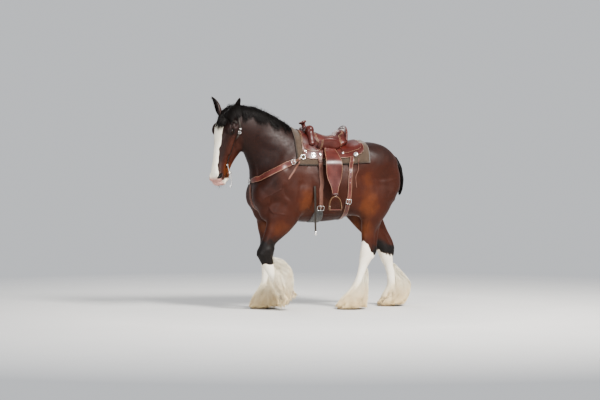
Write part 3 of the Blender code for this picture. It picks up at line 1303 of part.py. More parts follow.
SADDLE_TOP = surface(skirts, pad, torso, neck_node)
for sign, hand in ((-1, "left"), (1, "right")):
    # Front rigging: a broad latigo from the skirt down to the cinch's ring, and a stud on the skirt.
    latigo = strap("latigo_" + hand, [(FRONT_CINCH_X, 0.33 * sign, 1.62), (FRONT_CINCH_X, 0.36 * sign, 1.45),
                                      (FRONT_CINCH_X, 0.38 * sign, 1.20), (FRONT_CINCH_X, 0.34 * sign, 1.005)],
                   0.050, LEATHER, SADDLE_TOP, [pad, skirts], lift=0.003, rows=11)
    # Rear billet.
    billet = strap("rear_billet_" + hand,
                   [(REAR_CINCH_X + 0.02, 0.34 * sign, 1.60), (REAR_CINCH_X, 0.38 * sign, 1.40),
                                           (REAR_CINCH_X - 0.01, 0.38 * sign, 1.20),
                                           (REAR_CINCH_X - 0.02, 0.35 * sign, 1.095)],
                   0.045, LEATHER, SADDLE_TOP, [pad, skirts], lift=0.003, rows=11)
    side_set = {"latigo": latigo, "billet": billet}
    # Breast collar from the chest's ring to the skirt's front.
    collar = strap("breast_collar_" + hand,
                   [(-0.865, 0.035 * sign, 1.335), (-0.82, 0.13 * sign, 1.36), (-0.74, 0.22 * sign, 1.40),
                    (-0.60, 0.29 * sign, 1.47), (-0.47, 0.30 * sign, 1.525), (-0.395, 0.30 * sign, 1.555)],
                   COLLAR_WIDTH, LEATHER, SKIN, [pad], lift=0.003)
    side_set["collar"] = collar
    ring("collar_ring_" + hand, Vector(SADDLE_TOP.find_nearest(Vector((-0.315, 0.31 * sign, 1.595)))[0])
         + Vector((0, 0.010 * sign, 0.004)), (0, sign, 0.45), 0.024, 0.004, STEEL, [])
    stud("skirt_stud_" + hand, (-0.20, 0.32 * sign, 1.64), SADDLE_TOP, 0.026, STEEL, [])
    stud("rear_stud_" + hand, (0.235, 0.33 * sign, 1.62), SADDLE_TOP, 0.024, STEEL, [])
    # Fender: a broad panel that hangs from under the seat, clear of the skirt.
    columns = 4
    rows = []
    for z, half in ((1.70, 0.055), (1.62, 0.075), (1.53, 0.088), (1.44, 0.088), (1.36, 0.075), (1.28, 0.045),
                    (1.192, 0.030)):
        row = []
        for c in range(columns):
            x = STIRRUP_AT[0] + half * (2 * c / (columns - 1) - 1)
            hit = SKIN.ray_cast(Vector((x, sign, z)), Vector((0, -sign, 0)))
            out = abs(hit[0].y) + 0.062
            row.append(Vector((x, sign * max(out, 0.385 + (1.60 - z) * 0.11 if z < 1.60 else 0), z)))
        rows.append(row)
    outside = [[p + Vector((0, sign * 0.005, 0)) for p in row] for row in rows]
    inside = [[p - Vector((0, sign * 0.003, 0)) for p in row] for row in rows]
    fender = loft("fender_" + hand, [a + b[::-1] for a, b in zip(outside, inside)], LEATHER)
    fit(fender, [seat, skirts])
    # Stirrup: a wooden bow with a flat tread, hanging flat beside the horse.
    x0, y0, z0 = STIRRUP_AT
    bow = [(-0.065, 0.0), (-0.070, 0.03), (-0.064, 0.085), (-0.040, 0.130), (0.0, 0.148),
           (0.040, 0.130), (0.064, 0.085), (0.070, 0.03), (0.065, 0.0)]
    turn = 0.0
    points, faces = [], []
    for wide, high in bow:
        depth = 0.030 if high < 0.05 else 0.018
        for inset, front in ((0, -1), (0, 1), (1, 1), (1, -1)):
            w = wide * (1 - 0.16 * inset)
            h = high + 0.012 * (1 - high / 0.074) * inset
            along, out = w, depth * front
            points.append((x0 + along * math.cos(turn) - out * math.sin(turn) * 1.0,
                           sign * (y0 + along * math.sin(turn) * 0.6 + out * math.cos(turn)), z0 + h))
    count = len(bow)
    for k in range(count):
        a, b = 4 * k, 4 * ((k + 1) % count)
        faces.extend((a + n, a + (n + 1) % 4, b + (n + 1) % 4, b + n) for n in range(4))
    stirrup = make("stirrup_" + hand, points, faces, RAWHIDE, smooth=False)
    edit(stirrup, lambda bm: (bmesh.ops.triangulate(bm, faces=bm.faces),
                              bmesh.ops.recalc_face_normals(bm, faces=bm.faces)))
    # Cheekpiece of the bridle, from the crown down to the bit.
    cheek = strap("cheekpiece_" + hand,
                  [HEAD.out(p) for p in ((0.075, 0.10 * sign * -1, -0.11), (0.19, 0.14 * sign * -1, -0.135),
                                         (0.33, 0.12 * sign * -1, -0.135), (0.47, 0.09 * sign * -1, -0.125),
                                         (0.60, 0.075 * sign * -1, -0.125))],
                  0.020, DARK_LEATHER, SKIN, thickness=0.004)
    side_set["cheek"] = cheek
    stud("cheek_stud_" + hand, HEAD.out((0.19, -0.15 * sign, -0.135)), surface(cheek, head_node), 0.014, STEEL,
         [cheek], height=0.005)
    # Bit: a long curved shank beside the mouth.
    shank = []
    for down, out, radius in ((0.585, -0.100, 0.005), (0.615, -0.118, 0.006), (0.650, -0.145, 0.011),
                              (0.690, -0.172, 0.007), (0.735, -0.190, 0.006), (0.785, -0.185, 0.005)):
        centre = Vector(HEAD.out((down, -sign * 0.088, out)))
        shank.append([centre + Vector(HEAD.turn((0, math.cos(t) * radius * 0.7, math.sin(t) * radius)))
                      for t in (math.radians(60 * q) for q in range(6))])
    bit = loft("bit_shank_" + hand, shank, STEEL)
    fit(bit, [head_node, cheek])

# Crown strap over the poll behind the ears, and the browband below the forelock.
crown = strap("headstall_crown",
              [HEAD.out(p) for p in ((0.055, -0.11, -0.12), (0.01, -0.085, -0.11), (-0.02, 0.0, -0.10),
                                                        (0.01, 0.085, -0.11), (0.055, 0.11, -0.12))],
              0.022, DARK_LEATHER, SKIN, thickness=0.005, rows=11)
brow = strap("browband", [HEAD.out(p) for p in ((0.125, -0.125, -0.10), (0.11, -0.08, -0.03), (0.10, 0.0, 0.03),
                                                (0.11, 0.08, -0.03), (0.125, 0.125, -0.10))],
             0.022, DARK_LEATHER, SKIN, thickness=0.005, rows=13)
for hand in ("left", "right"):
    fit(bpy.data.objects["ear_" + hand], [crown, brow])
chin_marks = [HEAD.out(p) for p in ((0.64, -0.065, -0.165), (0.655, -0.045, -0.20), (0.66, 0.0, -0.215),
                                    (0.655, 0.045, -0.20), (0.64, 0.065, -0.165))]
strap("curb_strap", chin_marks, 0.016, DARK_LEATHER, SKIN,
      thickness=0.004, rows=8)


# Cinches under the belly, the chest's ring and the strap between the forelegs.
def girth_path(x, reach):
    """Points round the belly, up to an angle on each side."""
    out = []
    for angle in np.linspace(-1, 1, 9):
        lean = math.radians(angle * reach)
        way = Vector((0, math.sin(lean), -math.cos(lean)))
        hit = SKIN.ray_cast(Vector((x, 0, 1.25)) + way * 0.9, -way)[0]
        out.append(hit)
    return out


strap("front_cinch", girth_path(FRONT_CINCH_X, 52), 0.115, WEBBING, SKIN,
      [bpy.data.objects["latigo_left"], bpy.data.objects["latigo_right"]], thickness=0.009, rows=11)
strap("rear_cinch", girth_path(REAR_CINCH_X - 0.02, 65), 0.050, LEATHER, SKIN, thickness=0.006, rows=13)
spot, normal = SKIN.find_nearest(Vector((-0.87, 0, 1.335)))[:2]
collars = [bpy.data.objects["breast_collar_left"], bpy.data.objects["breast_collar_right"]]
chest_ring = ring("chest_ring", spot + normal * 0.0125, normal, 0.028, 0.0040, STEEL, [])
strap("breast_strap", [(-0.865, 0, 1.30), (-0.84, 0, 1.15), (-0.76, 0, 1.02), (-0.62, 0, 0.95), (-0.45, 0, 0.92),
                       (FRONT_CINCH_X - 0.07, 0, 0.91)],
      0.030, LEATHER, SKIN, [chest_ring, bpy.data.objects["front_cinch"]] + collars, thickness=0.005)
# The latigo's spare end, which hangs past the belly from a keeper on the left side.
top = SKIN.ray_cast(Vector((-0.205, -1, 1.29)), Vector((0, 1, 0)))[0] + Vector((0, -0.006, 0))
tail_points = [top + Vector((0, -0.004, 0)), top + Vector((0.002, -0.010, -0.10)), top + Vector((0.004, -0.010, -0.25)),
               top + Vector((0.006, -0.004, -0.40)), top + Vector((0.010, -0.002, -0.50))]
rings = []
for k, p in enumerate(tail_points):
    half = (0.008, 0.010, 0.012, 0.014, 0.016)[k]
    rings.append([p + Vector((-half, -0.004, 0)), p + Vector((half, -0.004, 0)),
                  p + Vector((half, 0.004, 0)), p + Vector((-half, 0.004, 0))])
spare = loft("latigo_spare_end", rings, DARK_LEATHER, smooth=False)
fit(spare, [torso, bpy.data.objects["front_cinch"]])

ears = [bpy.data.objects["ear_left"], bpy.data.objects["ear_right"]]
headstall = [bpy.data.objects[n] for n in ("headstall_crown", "browband", "cheekpiece_left", "cheekpiece_right")]
fit(mane, [neck_node, head_node, pad] + ears + headstall[:1], 0.001)
fit(forelock, [mane, head_node] + ears + headstall[:2], 0.001)

# The model's box stands centred over the origin.
bpy.context.view_layer.update()
corners = [o.matrix_world @ v.co for o in bpy.data.objects if not o.hide_render for v in o.data.vertices]
middle = Vector(((min(c.x for c in corners) + max(c.x for c in corners)) / 2,
                 (min(c.y for c in corners) + max(c.y for c in corners)) / 2, 0))
for obj in bpy.data.objects:
    obj.data.transform(Matrix.Translation(-middle))
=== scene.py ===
"""The looks of a clydesdale in western tack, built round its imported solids."""
import json
import math

import bmesh
import bpy
import numpy as np
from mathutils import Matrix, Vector
from mathutils.bvhtree import BVHTree

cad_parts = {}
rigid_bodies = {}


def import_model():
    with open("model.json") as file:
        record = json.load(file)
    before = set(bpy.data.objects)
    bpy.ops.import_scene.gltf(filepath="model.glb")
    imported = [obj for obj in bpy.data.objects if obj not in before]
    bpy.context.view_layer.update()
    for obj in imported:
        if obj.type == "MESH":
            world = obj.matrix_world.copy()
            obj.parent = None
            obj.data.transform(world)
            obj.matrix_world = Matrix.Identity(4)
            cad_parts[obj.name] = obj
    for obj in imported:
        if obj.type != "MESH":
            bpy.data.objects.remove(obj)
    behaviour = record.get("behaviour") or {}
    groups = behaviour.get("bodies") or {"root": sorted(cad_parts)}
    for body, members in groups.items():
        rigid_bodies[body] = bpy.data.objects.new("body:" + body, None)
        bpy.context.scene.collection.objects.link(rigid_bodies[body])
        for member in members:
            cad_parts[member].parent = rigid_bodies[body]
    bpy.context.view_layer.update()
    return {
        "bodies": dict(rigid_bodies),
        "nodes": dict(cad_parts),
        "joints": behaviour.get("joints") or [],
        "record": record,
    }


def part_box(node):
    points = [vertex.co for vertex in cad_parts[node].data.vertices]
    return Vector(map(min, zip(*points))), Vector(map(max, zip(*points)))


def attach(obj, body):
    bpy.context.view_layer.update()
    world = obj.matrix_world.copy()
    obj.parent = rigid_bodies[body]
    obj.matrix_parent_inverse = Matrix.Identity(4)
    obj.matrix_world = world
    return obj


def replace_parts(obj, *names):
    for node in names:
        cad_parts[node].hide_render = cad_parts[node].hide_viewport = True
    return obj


HEAD_TURN = math.radians(31)
HEAD_PITCH = math.radians(12)
POLL = (-1.13, -0.135, 2.09)
# The eye and the nostril in the head's frame.
EYE = (0.235, -0.050)
NOSTRIL_DOWN, NOSTRIL_SIDE, NOSTRIL_OUT, NOSTRIL_TILT = 0.705, 0.084, -0.030, 35
NOSTRIL_LONG, NOSTRIL_WIDE, NOSTRIL_DEEP = 0.034, 0.026, 0.013
LEG_OFFSET = 0.17
# What the field says far from any mass, how far from a mass it is measured, and the gap between its rows.
FAR = 10.0
MARGIN = 0.09
ROW_GAP = 0.03


def unit(v):
    v = np.asarray(v, float)
    return v / np.linalg.norm(v)


def units(ways):
    return ways / (np.linalg.norm(ways, axis=-1, keepdims=True) + 1e-9)


def between(rows, t):
    """The Catmull-Rom curve between the middle two of four rows, at t from 0 to 1."""
    p0, p1, p2, p3 = rows
    return 0.5 * (2 * p1 + (p2 - p0) * t + (2 * p0 - 5 * p1 + 4 * p2 - p3) * t * t
                  + (3 * p1 - p0 - 3 * p2 + p3) * t ** 3)


def spline(rows, gap=None):
    """Rows on a smooth curve through the given ones: about gap apart, or else four steps to each span."""
    rows = np.array(rows, float)
    padded = np.vstack([2 * rows[0] - rows[1], rows, 2 * rows[-1] - rows[-2]])
    out = []
    for i in range(1, len(rows)):
        span = np.linalg.norm((rows[i] - rows[i - 1])[:3])
        count = max(1, int(span / gap + 0.5)) if gap else 4
        out += [between(padded[i - 1:i + 3], t) for t in np.arange(count) / count]
    return np.array(out + [rows[-1]])


def smooth_min(a, b, reach):
    """The smaller field, with the crease between the two rounded over reach."""
    share = np.maximum(reach - np.abs(a - b), 0.0) / reach
    return np.minimum(a, b) - share * share * reach * 0.25


def smooth_max(a, b, reach):
    return -smooth_min(-a, -b, reach)


class Frame:
    """A rigid frame: an origin and three unit axes."""

    def __init__(self, origin=(0, 0, 0), axes=((1, 0, 0), (0, 1, 0), (0, 0, 1))):
        self.origin = np.array(origin, float)
        self.axes = np.array(axes, float)

    def out(self, local):
        return self.origin + np.asarray(local, float) @ self.axes

    def turn(self, local):
        return np.asarray(local, float) @ self.axes


BODY = Frame()


class Mass:
    """A tube of oval sections. Each station is the front or top point and the back or bottom point in the
    frame's own plane, the offset across that plane, the half width, and where it isn't 0, the egg: how much
    wider the first point's end is."""

    def __init__(self, stations, blend, cap, frame=BODY, power=2.0, carve=False):
        self.blend, self.cap, self.power, self.carve = blend, cap, power, carve
        rows = []
        for ax, az, bx, bz, side, width, *egg in stations:
            a = frame.out((ax, side, az))
            b = frame.out((bx, side, bz))
            rows.append(np.concatenate([(a + b) / 2, (a - b) / 2, [width, *(egg or [0])]]))
        self.rows = spline(rows, ROW_GAP)
        self.across = frame.turn((0, 1, 0))

    def box(self, grow):
        reach = np.maximum(np.linalg.norm(self.rows[:, 3:6], axis=1), self.rows[:, 6]) + grow + self.cap
        return (self.rows[:, :3] - reach[:, None]).min(0), (self.rows[:, :3] + reach[:, None]).max(0)

    def planes(self):
        """The forward normal of each row's section."""
        out = []
        for i, row in enumerate(self.rows):
            run = self.rows[min(i + 1, len(self.rows) - 1), :3] - self.rows[max(i - 1, 0), :3]
            normal = np.cross(row[3:6], self.across)
            normal /= np.linalg.norm(normal)
            out.append(normal if normal @ run > 0 else -normal)
        return np.array(out)

    def field(self, grid, window):
        """The tube's distance on the window of the grid. Each point is measured in the section through it."""
        shape = [s.stop - s.start for s in window]
        best = np.full(shape, FAR, np.float32)
        last = len(self.rows) - 2
        planes = self.planes()
        for i in range(last + 1):
            a, b = self.rows[i], self.rows[i + 1]
            reach = max(np.linalg.norm(a[3:6]), np.linalg.norm(b[3:6]), a[6], b[6]) + MARGIN
            part = grid.window(np.minimum(a[:3], b[:3]) - reach, np.maximum(a[:3], b[:3]) + reach)
            part = overlap(part, window)
            if part is None:
                continue
            p = grid.points(part)
            before = (p - a[:3].astype(np.float32)) @ planes[i].astype(np.float32)
            after = (p - b[:3].astype(np.float32)) @ planes[i + 1].astype(np.float32)
            here = ((before >= 0) | (i == 0)) & ((after <= 0) | (i == last))
            before, after, p = before[here], after[here], p[here]
            if not len(p):
                continue
            over = np.maximum(np.maximum(-before, after), 0)
            gap = before - after
            h = np.clip(before / np.where(np.abs(gap) < 1e-6, 1e-6, gap), 0, 1)[:, None]
            up = a[3:6] + h * (b[3:6] - a[3:6])
            depth = np.sqrt((up * up).sum(-1))
            q = p - (a[:3] + h * (b[:3] - a[:3]))
            s = np.abs(q @ self.across)
            u = (q * up).sum(-1) / depth
            h = h[:, 0]
            width = a[6] + h * (b[6] - a[6])
            egg = a[7] + h * (b[7] - a[7])
            width = width * np.clip(1 + egg * u / depth, 0.3, 1.7)
            u = np.abs(u)
            n = self.power
            k = ((s / width) ** n + (u / depth) ** n) ** (1 / n) + 1e-6
            g2 = k ** (2 - 2 * n) * ((s ** (n - 1) / width ** n) ** 2 + (u ** (n - 1) / depth ** n) ** 2)
            whole = np.sqrt(k * k + (over / self.cap) ** 2)
            g = np.sqrt((k / whole) ** 2 * g2 + (over / self.cap ** 2 / whole) ** 2)
            d = np.where(whole < 0.25, -0.7 * np.minimum(width, depth), (whole - 1) / (g + 1e-6))
            d = np.clip(d, -FAR, FAR)
            local = tuple(slice(x.start - y.start, x.stop - y.start) for x, y in zip(part, window))
            there = best[local]
            there[here] = np.minimum(there[here], d)
        return best


class Blob:
    """An ellipsoid: centre, radii and axes in the frame, turned by pitch and roll in degrees."""

    def __init__(self, centre, radii, blend, pitch=0.0, roll=0.0, frame=BODY, carve=False):
        self.blend, self.carve = blend, carve
        self.centre = frame.out(centre)
        self.radii = np.array(radii, float)
        c, s = math.cos(math.radians(pitch)), math.sin(math.radians(pitch))
        turn = np.array([[c, 0, -s], [0, 1, 0], [s, 0, c]])
        c, s = math.cos(math.radians(roll)), math.sin(math.radians(roll))
        turn = turn @ np.array([[1, 0, 0], [0, c, s], [0, -s, c]])
        self.axes = turn @ frame.axes

    def box(self, grow):
        reach = np.sqrt(((self.axes * self.radii[:, None]) ** 2).sum(0)) + grow
        return self.centre - reach, self.centre + reach

    def field(self, grid, window):
        q = (grid.points(window) - self.centre) @ self.axes.T
        k = np.sqrt(((q / self.radii) ** 2).sum(-1)) + 1e-6
        g = np.sqrt(((q / self.radii ** 2) ** 2).sum(-1)) + 1e-6
        return np.where(k < 0.2, -0.8 * self.radii.min(), k * (k - 1) / g)


class Grid:
    """A box of points a step apart, and the field on them."""

    def __init__(self, low, high, step):
        self.low, self.step = np.array(low, float), step
        self.count = np.ceil((np.array(high, float) - self.low) / step).astype(int) + 1
        self.field = np.full(self.count, FAR, np.float32)

    def window(self, low, high):
        first = np.clip(np.floor((low - self.low) / self.step).astype(int), 0, self.count)
        last = np.clip(np.ceil((high - self.low) / self.step).astype(int) + 1, 0, self.count)
        return tuple(slice(a, b) for a, b in zip(first, last))

    def points(self, window):
        axes = [(self.low[i] + self.step * np.arange(w.start, w.stop)).astype(np.float32)
                for i, w in enumerate(window)]
        return np.stack(np.meshgrid(*axes, indexing="ij"), -1)

    def add(self, mass):
        window = self.window(*mass.box(MARGIN))
        if any(w.stop - w.start < 1 for w in window):
            return
        d = mass.field(self, window)
        if mass.carve:
            self.field[window] = smooth_max(self.field[window], -d, mass.blend)
        else:
            self.field[window] = smooth_min(self.field[window], d, mass.blend)


def overlap(a, b):
    part = tuple(slice(max(x.start, y.start), min(x.stop, y.stop)) for x, y in zip(a, b))
    return None if any(s.stop <= s.start for s in part) else part


CORNERS = [(i, j, k) for i in (0, 1) for j in (0, 1) for k in (0, 1)]


def doubled_patterns():
    """For each of the 256 ways in which a cell's corners can be inside, whether two sheets cross it."""
    out = np.zeros(256, bool)
    for pattern in range(256):
        for wanted in (0, 1):
            left = {n for n in range(8) if (pattern >> n & 1) == wanted}
            if not left:
                continue
            stack = [left.pop()]
            while stack:
                a = stack.pop()
                near = {b for b in left if bin(a ^ b).count("1") == 1}
                left -= near
                stack.extend(near)
            out[pattern] |= bool(left)
    return out


def single_sheets(field, step):
    """Moves corner values until no cell is crossed by two sheets, so that the surface never meets itself."""
    doubled = doubled_patterns()
    for _ in range(30):
        parts = [field[tuple(slice(d, n - 1 + d) for d, n in zip(corner, field.shape))] for corner in CORNERS]
        pattern = np.zeros(parts[0].shape, np.uint8)
        for n, part in enumerate(parts):
            pattern |= (part < 0).astype(np.uint8) << n
        cells = np.argwhere(doubled[pattern])
        if not len(cells):
            break
        values = np.stack([part[tuple(cells.T)] for part in parts], 1)
        values = np.where(values < 0, values, -FAR)
        weakest = np.array(CORNERS)[values.argmax(1)] + cells
        field[tuple(weakest.T)] = step * 0.02


def surface_net(field, low, step):
    """Points and quads of the field's zero surface. The grid's border counts as outside."""
    field = field.copy()
    for axis in range(3):
        for end in (0, -1):
            where = [slice(None)] * 3
            where[axis] = end
            field[tuple(where)] = np.maximum(field[tuple(where)], step * 0.5)
    single_sheets(field, step)
    inside = field < 0
    strides = np.array([field.shape[1] * field.shape[2], field.shape[2], 1])
    cells, crossings, quads = [], [], []
    for axis in range(3):
        first, second = [slice(None)] * 3, [slice(None)] * 3
        first[axis], second[axis] = slice(None, -1), slice(1, None)
        at = np.argwhere(inside[tuple(first)] != inside[tuple(second)])
        fa = field[tuple(first)][tuple(at.T)]
        fb = field[tuple(second)][tuple(at.T)]
        point = at.astype(float)
        point[:, axis] += fa / (fa - fb)
        around = []
        for du, dv in ((0, 0), (-1, 0), (-1, -1), (0, -1)):
            cell = at.copy()
            cell[:, (axis + 1) % 3] += du
            cell[:, (axis + 2) % 3] += dv
            around.append(cell @ strides)
            cells.append(around[-1])
            crossings.append(point)
        around = np.stack(around, 1)
        quads.append(np.where((fa < 0)[:, None], around, around[:, ::-1]))
    ids, index = np.unique(np.concatenate(cells), return_inverse=True)
    crossings = np.concatenate(crossings)
    count = np.bincount(index)
    points = np.stack([np.bincount(index, crossings[:, i]) / count for i in range(3)], 1)
    quads = np.searchsorted(ids, np.concatenate(quads))
    return low + step * points, quads


AHEAD = np.array([-math.cos(HEAD_TURN), -math.sin(HEAD_TURN), 0])
UP = np.array([0, 0, 1.0])
# In the head's frame the three numbers are: down the face, to the horse's left, out of the forehead.
HEAD = Frame(POLL, (-math.cos(HEAD_PITCH) * UP + math.sin(HEAD_PITCH) * AHEAD,
                    np.cross(UP, AHEAD),
                    math.cos(HEAD_PITCH) * AHEAD + math.sin(HEAD_PITCH) * UP))
SIDES = (-1, 1)


def trunk():
    yield Mass([
        (-0.76, 1.50, -0.76, 1.05, 0, 0.15),
        (-0.66, 1.66, -0.66, 0.985, 0, 0.235),
        (-0.52, 1.76, -0.52, 0.945, 0, 0.275, -0.05),
        (-0.36, 1.82, -0.36, 0.925, 0, 0.285, -0.2),
        (-0.20, 1.815, -0.20, 0.915, 0, 0.305, -0.25),
        (-0.04, 1.755, -0.04, 0.912, 0, 0.335, -0.15),
        (0.12, 1.725, 0.12, 0.93, 0, 0.35, -0.08),
        (0.27, 1.735, 0.27, 0.985, 0, 0.345),
        (0.40, 1.752, 0.40, 1.07, 0, 0.31, 0.05),
        (0.53, 1.728, 0.53, 1.14, 0, 0.27, 0.05),
        (0.63, 1.67, 0.63, 1.22, 0, 0.22),
        (0.70, 1.59, 0.70, 1.32, 0, 0.15),
    ], blend=0.05, cap=0.05)
    for side in SIDES:
        # Haunch: the point of the hip, the croup, the buttock, the stifle and the flank.
        yield Blob((0.34, 0.225 * side, 1.57), (0.13, 0.09, 0.12), 0.10)
        yield Blob((0.49, 0.15 * side, 1.50), (0.24, 0.165, 0.205), 0.12, pitch=-20)
        yield Mass([
            (0.50, 1.56, 0.715, 1.525, 0.10 * side, 0.10),
            (0.50, 1.42, 0.775, 1.40, 0.125 * side, 0.13),
            (0.47, 1.27, 0.775, 1.27, 0.15 * side, 0.135),
            (0.45, 1.15, 0.715, 1.16, 0.175 * side, 0.12),
        ], blend=0.08, cap=0.06)
        yield Blob((0.38, 0.20 * side, 1.17), (0.135, 0.115, 0.22), 0.10, pitch=8)
        yield Blob((0.24, 0.19 * side, 1.17), (0.16, 0.13, 0.16), 0.10, pitch=20)
        # Shoulder: blade, point, triceps, and the breast's two bulges.
        yield Mass([
            (-0.38, 1.72, -0.22, 1.68, 0.13 * side, 0.05),
            (-0.52, 1.58, -0.24, 1.50, 0.18 * side, 0.085),
            (-0.66, 1.42, -0.32, 1.30, 0.195 * side, 0.11),
            (-0.745, 1.28, -0.42, 1.14, 0.185 * side, 0.115),
        ], blend=0.07, cap=0.09)
        yield Blob((-0.38, 0.215 * side, 1.17), (0.17, 0.10, 0.16), 0.07, pitch=-25)
        yield Blob((-0.69, 0.135 * side, 1.20), (0.13, 0.13, 0.17), 0.05, pitch=10)
        yield Blob((-0.62, 0.12 * side, 1.02), (0.13, 0.11, 0.11), 0.05)


def neck():
    yield Mass([
        (-0.20, 1.77, -0.72, 1.22, 0.0, 0.25, 0.1),
        (-0.34, 1.86, -0.79, 1.37, -0.002, 0.215, 0.05),
        (-0.48, 1.955, -0.825, 1.48, -0.012, 0.18),
        (-0.62, 2.03, -0.86, 1.56, -0.035, 0.155, -0.05),
        (-0.76, 2.085, -0.90, 1.63, -0.07, 0.135, -0.1),
        (-0.91, 2.115, -0.965, 1.70, -0.100, 0.118, -0.1),
        (-1.04, 2.105, -1.04, 1.78, -0.122, 0.105),
    ], blend=0.06, cap=0.05)


def head():
    # Skull and upper jaw.
    yield Mass([
        (-0.01, -0.075, 0.0, -0.20, 0, 0.080),
        (0.07, -0.025, 0.09, -0.24, 0, 0.108),
        (0.16, 0.012, 0.18, -0.22, 0, 0.128),
        (0.25, 0.022, 0.26, -0.19, 0, 0.124),
        (0.35, 0.022, 0.36, -0.17, 0, 0.098, -0.10),
        (0.46, 0.020, 0.47, -0.15, 0, 0.078, -0.15),
        (0.56, 0.016, 0.57, -0.14, 0, 0.069, -0.1),
        (0.65, 0.010, 0.655, -0.135, 0, 0.073),
        (0.725, -0.010, 0.72, -0.13, 0, 0.074),
        (0.765, -0.040, 0.755, -0.125, 0, 0.058),
    ], blend=0.05, cap=0.025, frame=HEAD, power=2.3)
    # Lower jaw.
    yield Mass([
        (0.10, -0.15, 0.13, -0.30, 0, 0.080),
        (0.20, -0.15, 0.22, -0.365, 0, 0.088),
        (0.30, -0.14, 0.32, -0.37, 0, 0.084),
        (0.39, -0.12, 0.41, -0.305, 0, 0.070),
        (0.49, -0.10, 0.505, -0.245, 0, 0.058),
        (0.59, -0.10, 0.60, -0.205, 0, 0.052),
        (0.67, -0.11, 0.675, -0.200, 0, 0.054),
        (0.73, -0.12, 0.73, -0.185, 0, 0.046),
    ], blend=0.035, cap=0.02, frame=HEAD)
    for side in SIDES:
        # Cheek, brow, eye, the ridge below it, the nostril's wing and the foot of the ear.
        yield Blob((0.27, 0.068 * side, -0.255), (0.125, 0.042, 0.105), 0.03, frame=HEAD)
        yield Blob((0.205, 0.108 * side, -0.030), (0.060, 0.030, 0.034), 0.035, frame=HEAD, pitch=-8)
        yield Blob((0.235, 0.104 * side, -0.052), (0.036, 0.026, 0.028), 0.02, frame=HEAD)
        yield Mass([
            (0.285, -0.088, 0.295, -0.118, 0.108 * side, 0.014),
            (0.360, -0.088, 0.365, -0.118, 0.098 * side, 0.013),
            (0.450, -0.090, 0.455, -0.116, 0.080 * side, 0.010),
        ], blend=0.025, cap=0.012, frame=HEAD)
        yield Blob((0.715, 0.056 * side, -0.042), (0.046, 0.030, 0.040), 0.02, frame=HEAD)
        yield Blob((0.055, 0.062 * side, -0.085), (0.045, 0.035, 0.045), 0.03, frame=HEAD)
    # Upper lip, lower lip and chin.
    yield Blob((0.770, 0, -0.075), (0.030, 0.056, 0.044), 0.02, frame=HEAD)
    yield Blob((0.750, 0, -0.145), (0.032, 0.046, 0.028), 0.012, frame=HEAD)
    yield Blob((0.700, 0, -0.180), (0.035, 0.042, 0.026), 0.02, frame=HEAD)
    for side in SIDES:
        # The nostril, the hollow above the eye and the line between the lips.
        yield Blob((NOSTRIL_DOWN, NOSTRIL_SIDE * side, NOSTRIL_OUT),
                   (NOSTRIL_LONG, NOSTRIL_WIDE, NOSTRIL_DEEP), 0.012, frame=HEAD, carve=True,
                   pitch=-NOSTRIL_TILT)
        yield Blob((0.145, 0.134 * side, -0.060), (0.035, 0.018, 0.025), 0.03, frame=HEAD, carve=True)
        yield Mass([
            (0.640, -0.143, 0.640, -0.151, 0.075 * side, 0.020),
            (0.700, -0.126, 0.700, -0.134, 0.060 * side, 0.020),
            (0.760, -0.112, 0.760, -0.120, 0.035 * side, 0.024),
            (0.800, -0.106, 0.800, -0.114, 0.0, 0.030),
        ], blend=0.008, cap=0.01, frame=HEAD, carve=True)
        # Lids.
        yield Mass([
            (0.200, -0.052, 0.212, -0.058, 0.120 * side, 0.007),
            (0.215, -0.033, 0.222, -0.047, 0.132 * side, 0.007),
            (0.240, -0.030, 0.238, -0.044, 0.134 * side, 0.007),
            (0.262, -0.044, 0.252, -0.052, 0.126 * side, 0.007),
            (0.274, -0.062, 0.262, -0.064, 0.112 * side, 0.006),
        ], blend=0.008, cap=0.006, frame=HEAD)
        yield Mass([
            (0.203, -0.062, 0.213, -0.058, 0.118 * side, 0.006),
            (0.222, -0.082, 0.226, -0.070, 0.121 * side, 0.006),
            (0.248, -0.084, 0.246, -0.072, 0.119 * side, 0.006),
            (0.272, -0.072, 0.264, -0.064, 0.110 * side, 0.006),
        ], blend=0.008, cap=0.006, frame=HEAD)


def leg(rows, blend=0.04, cap=0.03):
    return Mass(rows, blend, cap)


def fore_far():
    s = LEG_OFFSET
    yield leg([
        (-0.68, 1.10, -0.40, 1.08, 0.19, 0.105),
        (-0.695, 0.97, -0.45, 0.97, 0.185, 0.095),
        (-0.685, 0.85, -0.49, 0.85, s, 0.082),
        (-0.660, 0.73, -0.525, 0.73, s, 0.066),
        (-0.665, 0.64, -0.535, 0.64, s, 0.066),
        (-0.670, 0.585, -0.525, 0.585, s, 0.068),
        (-0.655, 0.51, -0.540, 0.51, s, 0.055),
        (-0.645, 0.42, -0.555, 0.42, s, 0.043),
        (-0.645, 0.32, -0.555, 0.32, s, 0.043),
        (-0.660, 0.24, -0.545, 0.23, s, 0.056),
        (-0.690, 0.17, -0.585, 0.145, s, 0.055),
        (-0.735, 0.10, -0.590, 0.085, s, 0.068),
    ])


